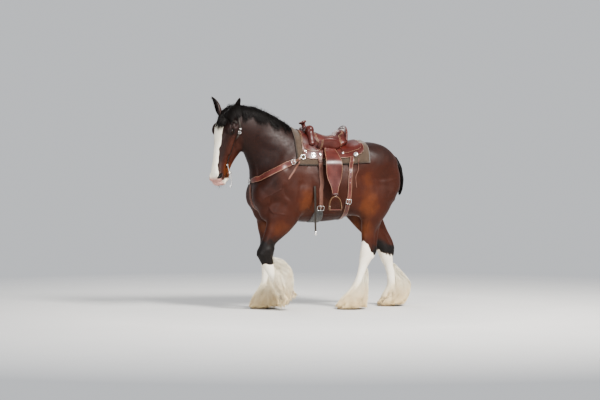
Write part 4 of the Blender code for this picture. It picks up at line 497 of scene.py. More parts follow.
def fore_near():
    s = -LEG_OFFSET
    yield leg([
        (-0.60, 1.16, -0.30, 1.08, -0.20, 0.10),
        (-0.68, 1.02, -0.345, 0.94, -0.20, 0.10),
        (-0.690, 0.88, -0.44, 0.82, -0.185, 0.085),
        (-0.730, 0.74, -0.565, 0.71, s, 0.068),
        (-0.765, 0.655, -0.600, 0.66, s, 0.066),
        (-0.785, 0.58, -0.615, 0.60, s, 0.066),
    ])
    yield leg([
        (-0.775, 0.61, -0.60, 0.64, s, 0.066),
        (-0.765, 0.54, -0.615, 0.585, s, 0.060),
        (-0.720, 0.455, -0.610, 0.50, s, 0.046),
        (-0.660, 0.355, -0.572, 0.395, s, 0.043),
        (-0.605, 0.265, -0.490, 0.305, s, 0.056),
        (-0.570, 0.165, -0.475, 0.215, s, 0.055),
    ])


def hind_near():
    s = -LEG_OFFSET
    yield leg([
        (0.30, 1.32, 0.68, 1.33, -0.185, 0.120),
        (0.290, 1.17, 0.690, 1.18, -0.200, 0.125),
        (0.310, 1.05, 0.640, 1.04, -0.205, 0.108),
        (0.335, 0.93, 0.565, 0.92, -0.195, 0.090),
        (0.345, 0.81, 0.510, 0.82, s, 0.072),
        (0.348, 0.70, 0.495, 0.72, s, 0.060),
        (0.335, 0.62, 0.490, 0.62, s, 0.064),
        (0.325, 0.53, 0.468, 0.53, s, 0.056),
        (0.315, 0.44, 0.420, 0.45, s, 0.044),
        (0.285, 0.33, 0.380, 0.36, s, 0.043),
        (0.235, 0.235, 0.350, 0.25, s, 0.056),
        (0.175, 0.165, 0.280, 0.16, s, 0.055),
        (0.120, 0.10, 0.265, 0.09, s, 0.068),
    ])
    yield leg([
        (0.49, 0.90, 0.555, 0.89, s, 0.03),
        (0.485, 0.78, 0.532, 0.775, s, 0.020),
        (0.465, 0.68, 0.522, 0.68, s, 0.024),
        (0.450, 0.605, 0.515, 0.60, s, 0.030),
        (0.440, 0.545, 0.482, 0.54, s, 0.028),
    ], blend=0.03, cap=0.015)


def hind_far():
    s = LEG_OFFSET
    yield leg([
        (0.29, 1.32, 0.70, 1.34, 0.185, 0.120),
        (0.26, 1.14, 0.715, 1.20, 0.200, 0.125),
        (0.285, 0.99, 0.68, 1.06, 0.205, 0.108),
        (0.375, 0.87, 0.650, 0.95, 0.195, 0.088),
        (0.490, 0.75, 0.675, 0.84, s, 0.070),
        (0.590, 0.65, 0.735, 0.73, s, 0.060),
        (0.640, 0.570, 0.790, 0.62, s, 0.064),
        (0.675, 0.49, 0.808, 0.52, s, 0.056),
        (0.715, 0.42, 0.815, 0.435, s, 0.043),
        (0.742, 0.32, 0.840, 0.33, s, 0.043),
        (0.745, 0.23, 0.865, 0.225, s, 0.056),
        (0.715, 0.165, 0.825, 0.14, s, 0.055),
        (0.675, 0.10, 0.820, 0.085, s, 0.068),
    ])
    yield leg([
        (0.590, 1.03, 0.655, 1.06, s, 0.035),
        (0.640, 0.92, 0.692, 0.950, s, 0.03),
        (0.700, 0.80, 0.742, 0.825, s, 0.020),
        (0.745, 0.695, 0.800, 0.715, s, 0.024),
        (0.765, 0.61, 0.828, 0.625, s, 0.030),
        (0.775, 0.55, 0.820, 0.555, s, 0.028),
    ], blend=0.03, cap=0.015)


FLESH = [mass for part in (trunk, neck, fore_far, fore_near, hind_near, hind_far, head) for mass in part()]


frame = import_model()
RNG = np.random.default_rng(7)

# The design frame of the horse's own numbers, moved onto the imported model.
HOOF_FRONT = -0.665 - 0.1025 * math.cos(math.pi / 12)
hoof_low, hoof_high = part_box("hoof_fore_right")
SHIFT = np.array([hoof_low.x - HOOF_FRONT, (hoof_low.y + hoof_high.y) / 2 - LEG_OFFSET, 0.0])


class Graph:
    """A material under construction: each call adds a node and returns one of its outputs."""

    def __init__(self, name):
        self.material = bpy.data.materials.new(name)
        self.material.use_nodes = True
        self.tree = self.material.node_tree
        self.shader = self.tree.nodes["Principled BSDF"]

    def add(self, kind, out=0, inputs=None, **settings):
        node = self.tree.nodes.new(kind)
        for key, value in settings.items():
            setattr(node, key, value)
        for key, value in (inputs or {}).items():
            self.put(node.inputs[key], value)
        return node.outputs[out]

    def put(self, socket, value):
        if isinstance(value, bpy.types.NodeSocket):
            self.tree.links.new(value, socket)
        elif isinstance(value, tuple) and len(value) == 3 and socket.type == "RGBA":
            socket.default_value = (*value, 1)
        else:
            socket.default_value = value

    def place(self):
        return self.add("ShaderNodeTexCoord", "Object")

    def split(self, value, kind="Color"):
        """The three parts of a colour, or of a vector where kind says XYZ."""
        node = self.tree.nodes.new("ShaderNodeSeparate" + kind)
        self.put(node.inputs[0], value)
        return node.outputs

    def length(self, vector):
        return self.add("ShaderNodeVectorMath", 1, {0: vector}, operation="LENGTH")

    def noise(self, scale, detail, rough=0.55, at=None, stretch=None):
        at = at or self.place()
        if stretch:
            at = self.add("ShaderNodeMapping", 0, {0: at, 3: stretch})
        inputs = {"Vector": at, "Scale": scale, "Detail": detail, "Roughness": rough}
        return self.add("ShaderNodeTexNoise", 0, inputs)

    def attribute(self, name, out):
        return self.add("ShaderNodeAttribute", out, attribute_name=name)

    def spread(self, value, low, high, out_low=0.0, out_high=1.0):
        return self.add("ShaderNodeMapRange", 0, {0: value, 1: low, 2: high, 3: out_low, 4: out_high})

    def maths(self, operation, a, b=0.5, clamp=True):
        return self.add("ShaderNodeMath", 0, {0: a, 1: b}, operation=operation, use_clamp=clamp)

    def mix(self, share, a, b, blend="MIX"):
        node = self.tree.nodes.new("ShaderNodeMix")
        node.data_type = "RGBA"
        node.blend_type = blend
        for socket, value in ((node.inputs[0], share), (node.inputs[6], a), (node.inputs[7], b)):
            self.put(socket, value)
        return node.outputs[2]

    def bump(self, height, strength, distance, under=None):
        inputs = {"Height": height, "Strength": strength, "Distance": distance}
        if under:
            inputs["Normal"] = under
        return self.add("ShaderNodeBump", 0, inputs)

    def finish(self, color, rough, normal=None, **constants):
        self.put(self.shader.inputs["Base Color"], color)
        self.put(self.shader.inputs["Roughness"], rough)
        if normal:
            self.put(self.shader.inputs["Normal"], normal)
        for key, value in constants.items():
            self.put(self.shader.inputs[key.replace("_", " ")], value)
        return self.material


# Markings. All points here are in the design frame.
def ramp(value, low, high):
    t = np.clip((value - low) / (high - low), 0, 1)
    return t * t * (3 - 2 * t)


def wobble(points, scale, seed=0.0):
    """A smooth irregular number from -1 to 1 for each point."""
    x, y, z = (points * scale).T
    return (np.sin(x * 1.3 + 2.1 * np.sin(y * 1.7 + seed) + seed)
            + np.sin(y * 1.9 + 1.8 * np.sin(z * 1.1 + seed))
            + np.sin(z * 1.5 + 1.9 * np.sin(x * 1.2 + 2 * seed))) / 3


def on_head(points):
    """Points in the head's frame: down the face, to the horse's left, out of the forehead."""
    return (points - HEAD.origin) @ HEAD.axes.T


# The neck's upper and lower places from the poll to the withers, as x and z, and their y.
CREST = np.array([
    (-1.115, 2.115, -1.115, 1.80, -0.135), (-1.04, 2.105, -1.04, 1.78, -0.122),
    (-0.91, 2.115, -0.965, 1.70, -0.100), (-0.76, 2.085, -0.90, 1.63, -0.07),
    (-0.62, 2.03, -0.86, 1.56, -0.035), (-0.48, 1.955, -0.825, 1.48, -0.012),
    (-0.405, 1.905, -0.78, 1.41, -0.002)])
# Painted highlights: warmer, lighter places on the coat: x, z, width, height and how much.
PAINTED_HIGHLIGHTS = [(-0.29, 1.15, 0.10, 0.22, 0.28), (0.37, 1.40, 0.08, 0.15, 0.14), (0.40, 1.18, 0.13, 0.18, 0.20),
         (0.39, 0.98, 0.14, 0.15, 0.25), (0.35, 0.80, 0.12, 0.13, 0.30), (-0.58, 0.86, 0.17, 0.13, 0.26),
         (-0.05, 1.12, 0.26, 0.14, 0.12), (-0.50, 1.15, 0.14, 0.16, 0.08)]
MOUTH_LINE = [(0.625, -0.152), (0.700, -0.130), (0.760, -0.116), (0.812, -0.110)]
# For each leg: its side, its least and greatest x, its middle, the height and slope of the white's upper edge
# there, and of the black's.
LEG_MARKS = [
    (-1, -0.90, -0.30, -0.68, 0.485, 0.15, 0.720, 0.0),
    (1, -0.90, -0.30, -0.60, 0.500, 0.0, 0.740, 0.0),
    (-1, -0.05, 0.60, 0.42, 0.640, -1.10, 0.625, 0.60),
    (1, 0.45, 1.10, 0.72, 0.560, -0.55, 0.680, -0.40),
]


def line_distance(points, line):
    """How far points are from a chain of places, and how far along it the nearest place is, from 0 to 1."""
    line = np.array(line)
    way = line[1:] - line[:-1]
    offset = points[:, None] - line[:-1]
    share = np.clip((offset * way).sum(-1) / (way ** 2).sum(-1), 0, 1)
    gap = np.linalg.norm(offset - way * share[..., None], axis=-1)
    near = gap.argmin(1)
    return gap.min(1), (near + share[np.arange(len(points)), near]) / len(way)


def eye_gap(head, reach):
    """How far points in the head's frame are from the nearer eye, which stands out as far as reach."""
    return np.minimum(*[np.linalg.norm(head - (EYE[0], s * reach, EYE[1]), axis=1) for s in SIDES])


def markings(points):
    """White, black, pink and lightness of the coat at each point. The lightness holds painted highlights and
    a painted shade under the belly; black holds painted shade in the nostrils and between the lips.
    """
    head = on_head(points)
    x, y, z = points.T
    down, side, out = head.T
    rough = wobble(points, 22) + 0.5 * wobble(points, 60, 1.0)
    in_head = ramp(down, -0.05, 0.02) * ramp(-np.hypot(side, out + 0.1), -0.36, -0.30) * (x < -0.80)
    # A broad blaze over the face, wider at the muzzle, and a pink nose inside it.
    half = 0.068 - 0.026 * ramp(down, 0.20, 0.45) + 0.026 * ramp(down, 0.58, 0.74)
    half = half * ramp(down, 0.070, 0.105) + 0.006 * rough
    front = ramp(out, -0.085, -0.045) + ramp(down, 0.66, 0.74)
    middle = 0.012 * ramp(-down, -0.40, -0.20) + 0.004
    blaze = in_head * ramp(half - np.abs(side + middle), -0.006, 0.006) * (half > 0.012)
    blaze *= np.clip(front, 0, 1)
    chin = in_head * ramp(down, 0.70, 0.76) * ramp(0.075 - np.abs(side), -0.012, 0.012)
    white = np.maximum(blaze, 0.85 * chin)
    pink = in_head * ramp(down + 0.25 * out, 0.705, 0.745)
    black = in_head * ramp(down, 0.60, 0.74) * ramp(np.abs(side), 0.045, 0.075) * 0.55
    for sign, low, high, middle, white_top, white_slope, black_top, black_slope in LEG_MARKS:
        leg = ramp(sign * y, 0.0, 0.04) * (x > low) * (x < high)
        edge = 0.022 * rough
        past = np.clip(x - middle, -0.12, 0.12)
        white = np.maximum(white, leg * ramp(white_top + white_slope * past + edge - z, -0.012, 0.012))
        black = np.maximum(black, leg * ramp(black_top + black_slope * past + 2 * edge - z, -0.05, 0.03))
    black *= 1 - white
    # A small white patch behind the girth on the belly.
    patch = ramp(0.06 - np.hypot(x - 0.32, z - 1.02) + 0.02 * rough, 0, 0.03) * (z < 1.1)
    white = np.maximum(white, 0.75 * patch * (np.abs(y) < 0.22))
    light = 0.42 + 0.06 * wobble(points, 5.0, 2.0) + 0.03 * wobble(points, 13.0, 4.0)
    light -= 0.30 * ramp(z, 1.42, 1.66) + 0.20 * ramp(-0.52 - x, 0.0, 0.12) * ramp(z, 1.12, 1.3)
    # Painted highlight: a warm, lighter patch on the lower cheek.
    cheek = ramp(0.25 - np.hypot(side, out + 0.10), 0, 0.10) * ramp(-x, 0.86, 0.96)
    light += 0.52 * cheek * ramp(down, 0.17, 0.34) * ramp(0.80 - down, 0, 0.10) * ramp(-out, 0.00, 0.10)
    # Painted highlights: warm, lighter patches put on the coat where light falls on it.
    for px, pz, wide, high, much in PAINTED_HIGHLIGHTS:
        light += much * np.exp(-((x - px) / wide) ** 2 - ((z - pz) / high) ** 2) * ramp(np.abs(y), 0.05, 0.12)
    # Painted shade: a darker band along the underside of the belly.
    light -= 0.16 * np.exp(-((z - 0.93) / 0.06) ** 2) * (x > -0.4) * (x < 0.5)
    light += 0.16 * ramp(0.13 - np.abs(y), 0.0, 0.06) * ramp(0.98 - z, 0, 0.15)
    crest = line_distance(points, CREST[:, (0, 4, 1)])[0]
    black = np.maximum(black, 0.95 * ramp(0.075 + 0.012 * rough - crest, 0, 0.04))
    black = np.maximum(black, 0.75 * ramp(0.045 - eye_gap(head, 0.125), 0, 0.02))
    # Painted shade: the nostrils are painted dark inside their hollows.
    c, s = math.cos(math.radians(NOSTRIL_TILT)), math.sin(math.radians(NOSTRIL_TILT))
    u, v = down - NOSTRIL_DOWN, out - NOSTRIL_OUT
    along, deep = c * u + s * v, c * v - s * u
    across = np.abs(side) - NOSTRIL_SIDE
    across = np.where(across < 0, across / 0.040, across / NOSTRIL_WIDE)
    cavity = np.sqrt((along / NOSTRIL_LONG) ** 2 + across ** 2 + (deep / NOSTRIL_DEEP) ** 2)
    inside = in_head * ramp(1.45 - cavity, 0, 0.30)
    # The line between the lips is painted dark too, as painted shade in the crease.
    lips = line_distance(head[:, (0, 2)], MOUTH_LINE)[0]
    inside = np.maximum(inside, 0.85 * in_head * ramp(0.0065 - lips, 0, 0.005))
    white, pink, black = white * (1 - inside), pink * (1 - inside), np.maximum(black, inside)
    return np.stack([white, black, np.clip(pink, 0, 1), np.clip(light, 0, 1)], 1)


def store(mesh, name, values):
    """Values for each vertex, kept as a colour attribute."""
    layer = mesh.attributes.new(name, "FLOAT_COLOR", "POINT")
    full = np.ones((len(values), 4), np.float32)
    full[:, : values.shape[1]] = values
    layer.data.foreach_set("color", full.ravel())


def coat_colour(g):
    """The coat's colour from the markings, the same on the skin and on its hair."""
    white, black, pink = g.split(g.attribute("marks", "Color"))
    light = g.attribute("marks", "Alpha")
    mottle = g.noise(9.0, 4)
    hair = g.noise(230.0, 2, 0.5, stretch=(0.6, 1.0, 0.22))
    # The edge between two colours is ragged, as hairs of one lie over the other.
    ragged = g.spread(g.noise(95.0, 3, 0.6, stretch=(1.0, 1.0, 0.4)), 0.2, 0.8, -0.30, 0.30)
    white = g.spread(g.maths("ADD", white, ragged, clamp=False), 0.36, 0.64)
    # The lightness from the markings carries painted highlights and painted shade as well as the coat's own
    # tone.
    tone = g.maths("ADD", light, g.spread(mottle, 0.25, 0.75, -0.07, 0.07))
    bay = g.mix(g.spread(tone, 0.10, 0.55), (0.0100, 0.0036, 0.0028), (0.050, 0.0115, 0.0048))
    bay = g.mix(g.spread(tone, 0.55, 1.05), bay, (0.245, 0.074, 0.019))
    bay = g.mix(g.spread(hair, 0.30, 0.75, 0.0, 0.34), bay, (0.058, 0.015, 0.0065))
    dark = g.mix(g.spread(hair, 0.3, 0.7), (0.0045, 0.0038, 0.0036), (0.014, 0.0095, 0.0080))
    pale = g.mix(g.spread(mottle, 0.35, 0.7), (0.88, 0.83, 0.72), (0.80, 0.72, 0.58))
    low = g.split(g.place(), "XYZ")[2]
    pale = g.mix(g.spread(low, 0.30, 0.02, 0.0, 0.80), pale, (0.88, 0.72, 0.45))
    stain = g.maths("MULTIPLY", g.spread(low, 0.15, 0.01), g.spread(g.noise(14.0, 4), 0.45, 0.70, 0.0, 0.45))
    pale = g.mix(stain, pale, (0.50, 0.34, 0.17))
    skin = g.mix(g.spread(mottle, 0.4, 0.6), (0.58, 0.33, 0.28), (0.44, 0.24, 0.20))
    color = g.mix(black, bay, dark)
    color = g.mix(white, color, pale)
    return g.mix(pink, color, skin)


# Skin.
COAT_DEPTH = 0.003
SKIN_STEP = 0.010
HEAD_STEP = 0.004


def sampled(grid, points):
    """The field at points between the grid's own, and its slope."""
    place = (points - grid.low) / grid.step
    cell = np.clip(np.floor(place).astype(int), 0, grid.count - 2)
    shares = (place - cell).T
    corners = np.stack([grid.field[tuple((cell + corner).T)] for corner in CORNERS]).reshape(2, 2, 2, -1)

    def mixed(values, axes):
        for axis in axes:
            values = values[0] * (1 - shares[axis]) + values[1] * shares[axis]
        return values

    slope = []
    for axis, others in ((0, (1, 2)), (1, (0, 2)), (2, (0, 1))):
        near, far = np.moveaxis(corners, axis, 0)
        slope.append(mixed(far - near, others))
    return mixed(corners, (0, 1, 2)), np.stack(slope, 1) / grid.step


def settled(points, grid):
    """Points moved onto the field's zero surface."""
    points = points.copy()
    for _ in range(3):
        value, slope = sampled(grid, points)
        size = (slope ** 2).sum(1) + 1e-6
        move = -slope * np.clip(value / size, -0.5 * grid.step, 0.5 * grid.step)[:, None]
        points += np.clip(move, -grid.step, grid.step)
    return points


def filled_grid(low, high, step):
    grid = Grid(low, high, step)
    for mass in FLESH:
        grid.add(mass)
    grid.field += COAT_DEPTH
    return grid


def linked(name, data):
    obj = bpy.data.objects.new(name, data)
    bpy.context.scene.collection.objects.link(obj)
    return obj


def placed(name, mesh, look):
    """The mesh as a smooth object that rides on the horse."""
    mesh.materials.append(look)
    mesh.shade_smooth()
    obj = linked(name, mesh)
    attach(obj, "root")
    return obj


def new_mesh(name, points, faces, look):
    """A mesh object from points in the design frame."""
    mesh = bpy.data.meshes.new(name)
    faces = [tuple(int(i) for i in face) for face in faces]
    mesh.from_pydata((np.asarray(points, float) + SHIFT).tolist(), [], faces)
    return placed(name, mesh, look)


def vertices_of(obj):
    points = np.empty(len(obj.data.vertices) * 3, np.float64)
    obj.data.vertices.foreach_get("co", points)
    return points.reshape(-1, 3) - SHIFT


def set_vertices(mesh, points):
    mesh.vertices.foreach_set("co", (points + SHIFT).astype(np.float32).ravel())


def skin_look():
    g = Graph("horse_skin")
    color = coat_colour(g)
    fine = g.noise(420.0, 2, 0.6, stretch=(0.35, 1.0, 0.55))
    soft = g.noise(38.0, 4, 0.6)
    veins = g.noise(11.0, 2, 0.5)
    normal = g.bump(veins, 0.12, 0.012)
    normal = g.bump(soft, 0.16, 0.004, normal)
    normal = g.bump(fine, 0.22, 0.0012, normal)
    rough = g.spread(soft, 0.3, 0.7, 0.43, 0.57)
    return g.finish(color, rough, normal, Sheen_Weight=0.02, Sheen_Roughness=0.4, Specular_IOR_Level=0.26)


SKIN_LOOK = skin_look()
HEAD_LOW, HEAD_HIGH = (-1.42, -0.42, 1.20), (-0.80, 0.22, 2.26)
head_grid = filled_grid(HEAD_LOW, HEAD_HIGH, HEAD_STEP)
line = np.array([HEAD.out((EYE[0], s, EYE[1])) for s in np.linspace(0.05, 0.16, 60)])
EYE_REACH = float(np.interp(0.0, sampled(head_grid, line)[0], np.linspace(0.05, 0.16, 60)))
LID_TILT = -30
for side in (1, -1):
    head_grid.add(Blob((EYE[0], (EYE_REACH + 0.004) * side, EYE[1]), (0.0255, 0.016, 0.0155), 0.005,
                       pitch=LID_TILT, frame=HEAD, carve=True))
body_grid = filled_grid((-1.42, -0.44, 0.02), (1.14, 0.44, 2.24), SKIN_STEP)
points, quads = surface_net(body_grid.field, body_grid.low, body_grid.step)
points = settled(points, body_grid)
skin = new_mesh("horse_skin", points, quads, SKIN_LOOK)


def in_head_box(points, inset=0.03):
    local = on_head(points)
    return ((points > np.array(HEAD_LOW) + inset).all(1) & (points < np.array(HEAD_HIGH) - inset).all(1)
            & (local[:, 0] > -0.03) & (local[:, 2] > -0.46))


def refine(obj, chosen, grid):
    """Splits the chosen faces in four and puts the points inside the head's box on a finer field."""
    bm = bmesh.new()
    bm.from_mesh(obj.data)
    bm.verts.ensure_lookup_table()
    flags = chosen(np.array([v.co for v in bm.verts]) - SHIFT)
    edges = [e for e in bm.edges if flags[e.verts[0].index] and flags[e.verts[1].index]]
    bmesh.ops.subdivide_edges(bm, edges=edges, cuts=1, use_grid_fill=True)
    bm.to_mesh(obj.data)
    bm.free()
    points = vertices_of(obj)
    near = in_head_box(points, 0.02)
    points[near] = settled(points[near], grid)
    set_vertices(obj.data, points)
    obj.data.shade_smooth()


def near_features(points):
    head = on_head(points)
    return (eye_gap(head, EYE_REACH) < 0.055) | ((head[:, 0] > 0.62) & in_head_box(points, 0.02))


refine(skin, in_head_box, head_grid)
refine(skin, near_features, head_grid)
# Creases and ridges of the muscles, and veins: depth, width, and the line in x and z as seen from the side.
CREASES = [
    (0.010, 0.034, [(-0.335, 1.36), (-0.355, 1.22), (-0.372, 1.08), (-0.385, 0.97)]),
    (0.008, 0.040, [(-0.43, 1.56), (-0.545, 1.37), (-0.66, 1.26), (-0.76, 1.20)]),
    (0.009, 0.034, [(-0.955, 1.74), (-0.90, 1.60), (-0.845, 1.47), (-0.81, 1.36)]),
    (0.006, 0.042, [(-0.95, 1.86), (-0.82, 1.76), (-0.68, 1.67), (-0.50, 1.60)]),
    (0.012, 0.040, [(0.235, 1.45), (0.285, 1.30), (0.305, 1.15), (0.275, 1.02)]),
    (-0.006, 0.040, [(0.40, 1.50), (0.445, 1.34), (0.455, 1.18), (0.375, 1.00)]),
    (0.005, 0.042, [(0.555, 1.50), (0.60, 1.34), (0.605, 1.20), (0.53, 1.02)]),
    (0.007, 0.030, [(-0.50, 1.13), (-0.56, 1.05), (-0.64, 1.01), (-0.72, 1.03)]),
    (0.006, 0.026, [(-0.56, 1.30), (-0.50, 1.20), (-0.44, 1.10)]),
    (-0.006, 0.050, [(-0.50, 1.50), (-0.62, 1.33), (-0.74, 1.22)]),
    (0.004, 0.013, [(-0.985, 1.70), (-0.93, 1.75), (-0.87, 1.77)]),
    (0.004, 0.012, [(-0.97, 1.655), (-0.91, 1.70), (-0.85, 1.715)]),
    (0.0025, 0.016, [(-0.24, 1.40), (-0.22, 1.22), (-0.16, 1.06)]),
    (0.0025, 0.016, [(-0.14, 1.38), (-0.12, 1.20), (-0.06, 1.05)]),
    (0.0025, 0.016, [(0.03, 1.36), (0.05, 1.20), (0.10, 1.06)]),
]
VEINS = [
    (-0.0042, 0.0075, [(-0.545, 1.341), (-0.560, 1.26), (-0.645, 1.205), (-0.672, 1.11), (-0.642, 1.017),
                       (-0.56, 1.0), (-0.48, 0.99)]),
    (-0.0036, 0.0070, [(-0.645, 1.205), (-0.72, 1.17), (-0.78, 1.10)]),
    (-0.0034, 0.0065, [(-0.30, 1.10), (-0.22, 1.03), (-0.08, 1.00), (0.08, 1.01)]),
    (-0.0034, 0.0065, [(0.40, 1.08), (0.415, 0.98), (0.385, 0.88), (0.392, 0.78)]),
]


def near_veins(points):
    inside = (np.abs(points[:, 1]) > 0.09) & (points[:, 2] > 0.72)
    found = np.zeros(len(points), bool)
    for _, _, line in VEINS:
        found |= line_distance(points[:, (0, 2)], spline(line))[0] < 0.030
    return found & inside


def modelled(obj):
    """Moves the skin in and out along its normals for the creases, the veins and the breast's groove."""
    points = vertices_of(obj)
    normal = units(sampled(body_grid, points)[1])
    sideways = ramp(np.abs(normal[:, 1]), 0.15, 0.5) * ramp(np.abs(points[:, 1]), 0.05, 0.09)
    move = np.zeros(len(points))
    for depth, width, line in CREASES + VEINS:
        gap, at = line_distance(points[:, (0, 2)], spline(line))
        fade = ramp(at, 0.0, 0.15) * ramp(1 - at, 0.0, 0.15)
        move -= depth * np.exp(-(gap / width) ** 2) * fade * sideways
    # The groove between the breast muscles, and a faint unevenness of the whole trunk.
    x, y, z = points.T
    at_breast = ramp(-0.66 - x, 0, 0.1) * ramp(z, 0.98, 1.08) * ramp(1.34 - z, 0, 0.1)
    move -= 0.014 * np.exp(-(y / 0.022) ** 2) * at_breast
    move += 0.0016 * wobble(points, 30.0, 3.0) * ramp(z, 0.7, 0.9) * ramp(-0.95 - x, 0.05, -0.05)
    move[in_head_box(points, 0.0)] = 0
    points += normal * move[:, None]
    set_vertices(obj.data, points)


refine(skin, near_veins, head_grid)
modelled(skin)
store(skin.data, "marks", markings(vertices_of(skin)))
FLESH_NODES = ["head", "neck", "torso", "ear_left", "ear_right"]
FLESH_NODES += [f"{leg}_{side}_{part}" for leg in ("foreleg", "hindleg") for side in ("left", "right")
                for part in ("upper", "lower")]
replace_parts(skin, *FLESH_NODES)


def tree_of(*objects):
    points, faces = [], []
    for obj in objects:
        first = len(points)
        points.extend(vertices_of(obj).tolist())
        faces.extend([first + i for i in p.vertices] for p in obj.data.polygons)
    return BVHTree.FromPolygons(points, faces)


SKIN_TREE = tree_of(skin)


def grid_faces(rows, columns, closed=False):
    """Quads over a grid of points, row by row. closed joins the last column to the first."""
    out = []
    for i in range(0, (rows - 1) * columns, columns):
        for j in range(columns if closed else columns - 1):
            k = (j + 1) % columns
            out.append((i + j, i + k, i + columns + k, i + columns + j))
    return out


def tube_faces(rows, columns, ring=False):
    """The faces of a tube, with its ends closed, or joined to each other for a ring."""
    faces = grid_faces(rows, columns, True)
    last = (rows - 1) * columns
    if ring:
        return faces + [(last + j, last + (j + 1) % columns, (j + 1) % columns, j) for j in range(columns)]
    return faces + [tuple(reversed(range(columns))), tuple(range(last, last + columns))]


def turned(obj):
    """The object with all faces turned outwards."""
    bm = bmesh.new()
    bm.from_mesh(obj.data)
    bmesh.ops.recalc_face_normals(bm, faces=bm.faces)
    bm.to_mesh(obj.data)
    bm.free()
    return obj


# Eyes and lids.
def eye_look():
    g = Graph("horse_eye")
    gaze = g.attribute("gaze", "Vector")
    narrowed = g.add("ShaderNodeMapping", 0, {0: gaze, 3: (0.55, 1.0, 1.0)})
    pupil = g.spread(g.length(narrowed), 0.22, 0.30, 1.0, 0.0)
    iris = g.mix(g.noise(60.0, 5), (0.030, 0.012, 0.005), (0.012, 0.006, 0.004))
    color = g.mix(g.spread(g.length(gaze), 0.80, 0.92), iris, (0.030, 0.016, 0.012))
    color = g.mix(pupil, color, (0.002, 0.002, 0.003))
    return g.finish(color, 0.07, Specular_IOR_Level=0.25)


EYE_LOOK = eye_look()
BALL = 0.0225
BALL_AT = EYE_REACH - 0.0135
# How wide each ring of the lids is beside the opening, and how far it stands out.
LID_RINGS = [(1.55, -0.0040), (1.34, 0.0003), (1.16, 0.0030), (1.02, 0.0034), (0.93, 0.0018), (0.90, -0.0040)]
TILT_COS, TILT_SIN = math.cos(math.radians(LID_TILT)), math.sin(math.radians(LID_TILT))


def eyeball(side, name):
    centre = np.array((EYE[0], side * BALL_AT, EYE[1]))
    points, gaze = [], []
    for i in range(17):
        lean = math.pi * i / 16
        for j in range(32):
            a = 2 * math.pi * j / 32
            c, s = math.sin(lean) * math.cos(a), math.sin(lean) * math.sin(a)
            points.append(HEAD.out(centre + BALL * np.array((c, side * math.cos(lean), 0.92 * s))))
            gaze.append((c, s, 0 if lean < 1.6 else 1))
    ball = turned(new_mesh("horse_eye_" + name, points, grid_faces(17, 32, True), EYE_LOOK))
    store(ball.data, "gaze", np.array(gaze))
    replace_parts(ball, "eye_" + name)


def lids(side, name):
    """A rolled edge round the opening, from the skin over the rim onto the eye."""
    points, rings, count = [], len(LID_RINGS), 40
    for j in range(count):
        a = 2 * math.pi * j / count
        c, s = math.cos(a), math.sin(a)
        for wide, up in LID_RINGS:
            down = 0.0245 * wide * c
            out = 0.0150 * wide * s * (1.0 - 0.10 * (s < 0)) * (1 + 0.15 * abs(c) ** 3)
            down, out = down * TILT_COS + out * TILT_SIN, out * TILT_COS - down * TILT_SIN
            dome = BALL_AT + math.sqrt(max(BALL ** 2 - down ** 2 - out ** 2, 0.0))
            start = Vector(HEAD.out((EYE[0] + down, side * 0.3, EYE[1] + out)))
            hit = SKIN_TREE.ray_cast(start, Vector(HEAD.turn((0, -side, 0))))[3]
            flesh = 0.3 - hit if hit else EYE_REACH
            reach = max(dome + 0.0002, flesh) if wide < 1.1 else max(flesh, dome - 0.002)
            reach += up * (0.8 + 0.5 * (s > 0))
            points.append(HEAD.out((EYE[0] + down, side * reach, EYE[1] + out)))
    faces, last = grid_faces(count, rings), (count - 1) * rings
    faces += [(last + n, last + n + 1, n + 1, n) for n in range(rings - 1)]
    obj = turned(new_mesh("eyelids_" + name, points, faces, SKIN_LOOK))
    marks = markings(vertices_of(obj))
    marks[:, :2] = (0, 0.85)
    store(obj.data, "marks", marks)


for side, name in ((1, "left"), (-1, "right")):
    eyeball(side, name)
    lids(side, name)


# Strands.
def fast_mesh(name, points, quads, threes, look):
    """A mesh object from arrays of points, quads and triangles, and its faces' corners."""
    mesh = bpy.data.meshes.new(name)
    mesh.vertices.add(len(points))
    set_vertices(mesh, points)
    corners = np.concatenate([quads.ravel(), threes.ravel()]).astype(np.int32)
    starts = np.concatenate([4 * np.arange(len(quads)), 4 * len(quads) + 3 * np.arange(len(threes))])
    mesh.loops.add(len(corners))
    mesh.loops.foreach_set("vertex_index", corners)
    mesh.polygons.add(len(starts))
    mesh.polygons.foreach_set("loop_start", starts.astype(np.int32))
    mesh.update(calc_edges=True)
    return placed(name, mesh, look), corners


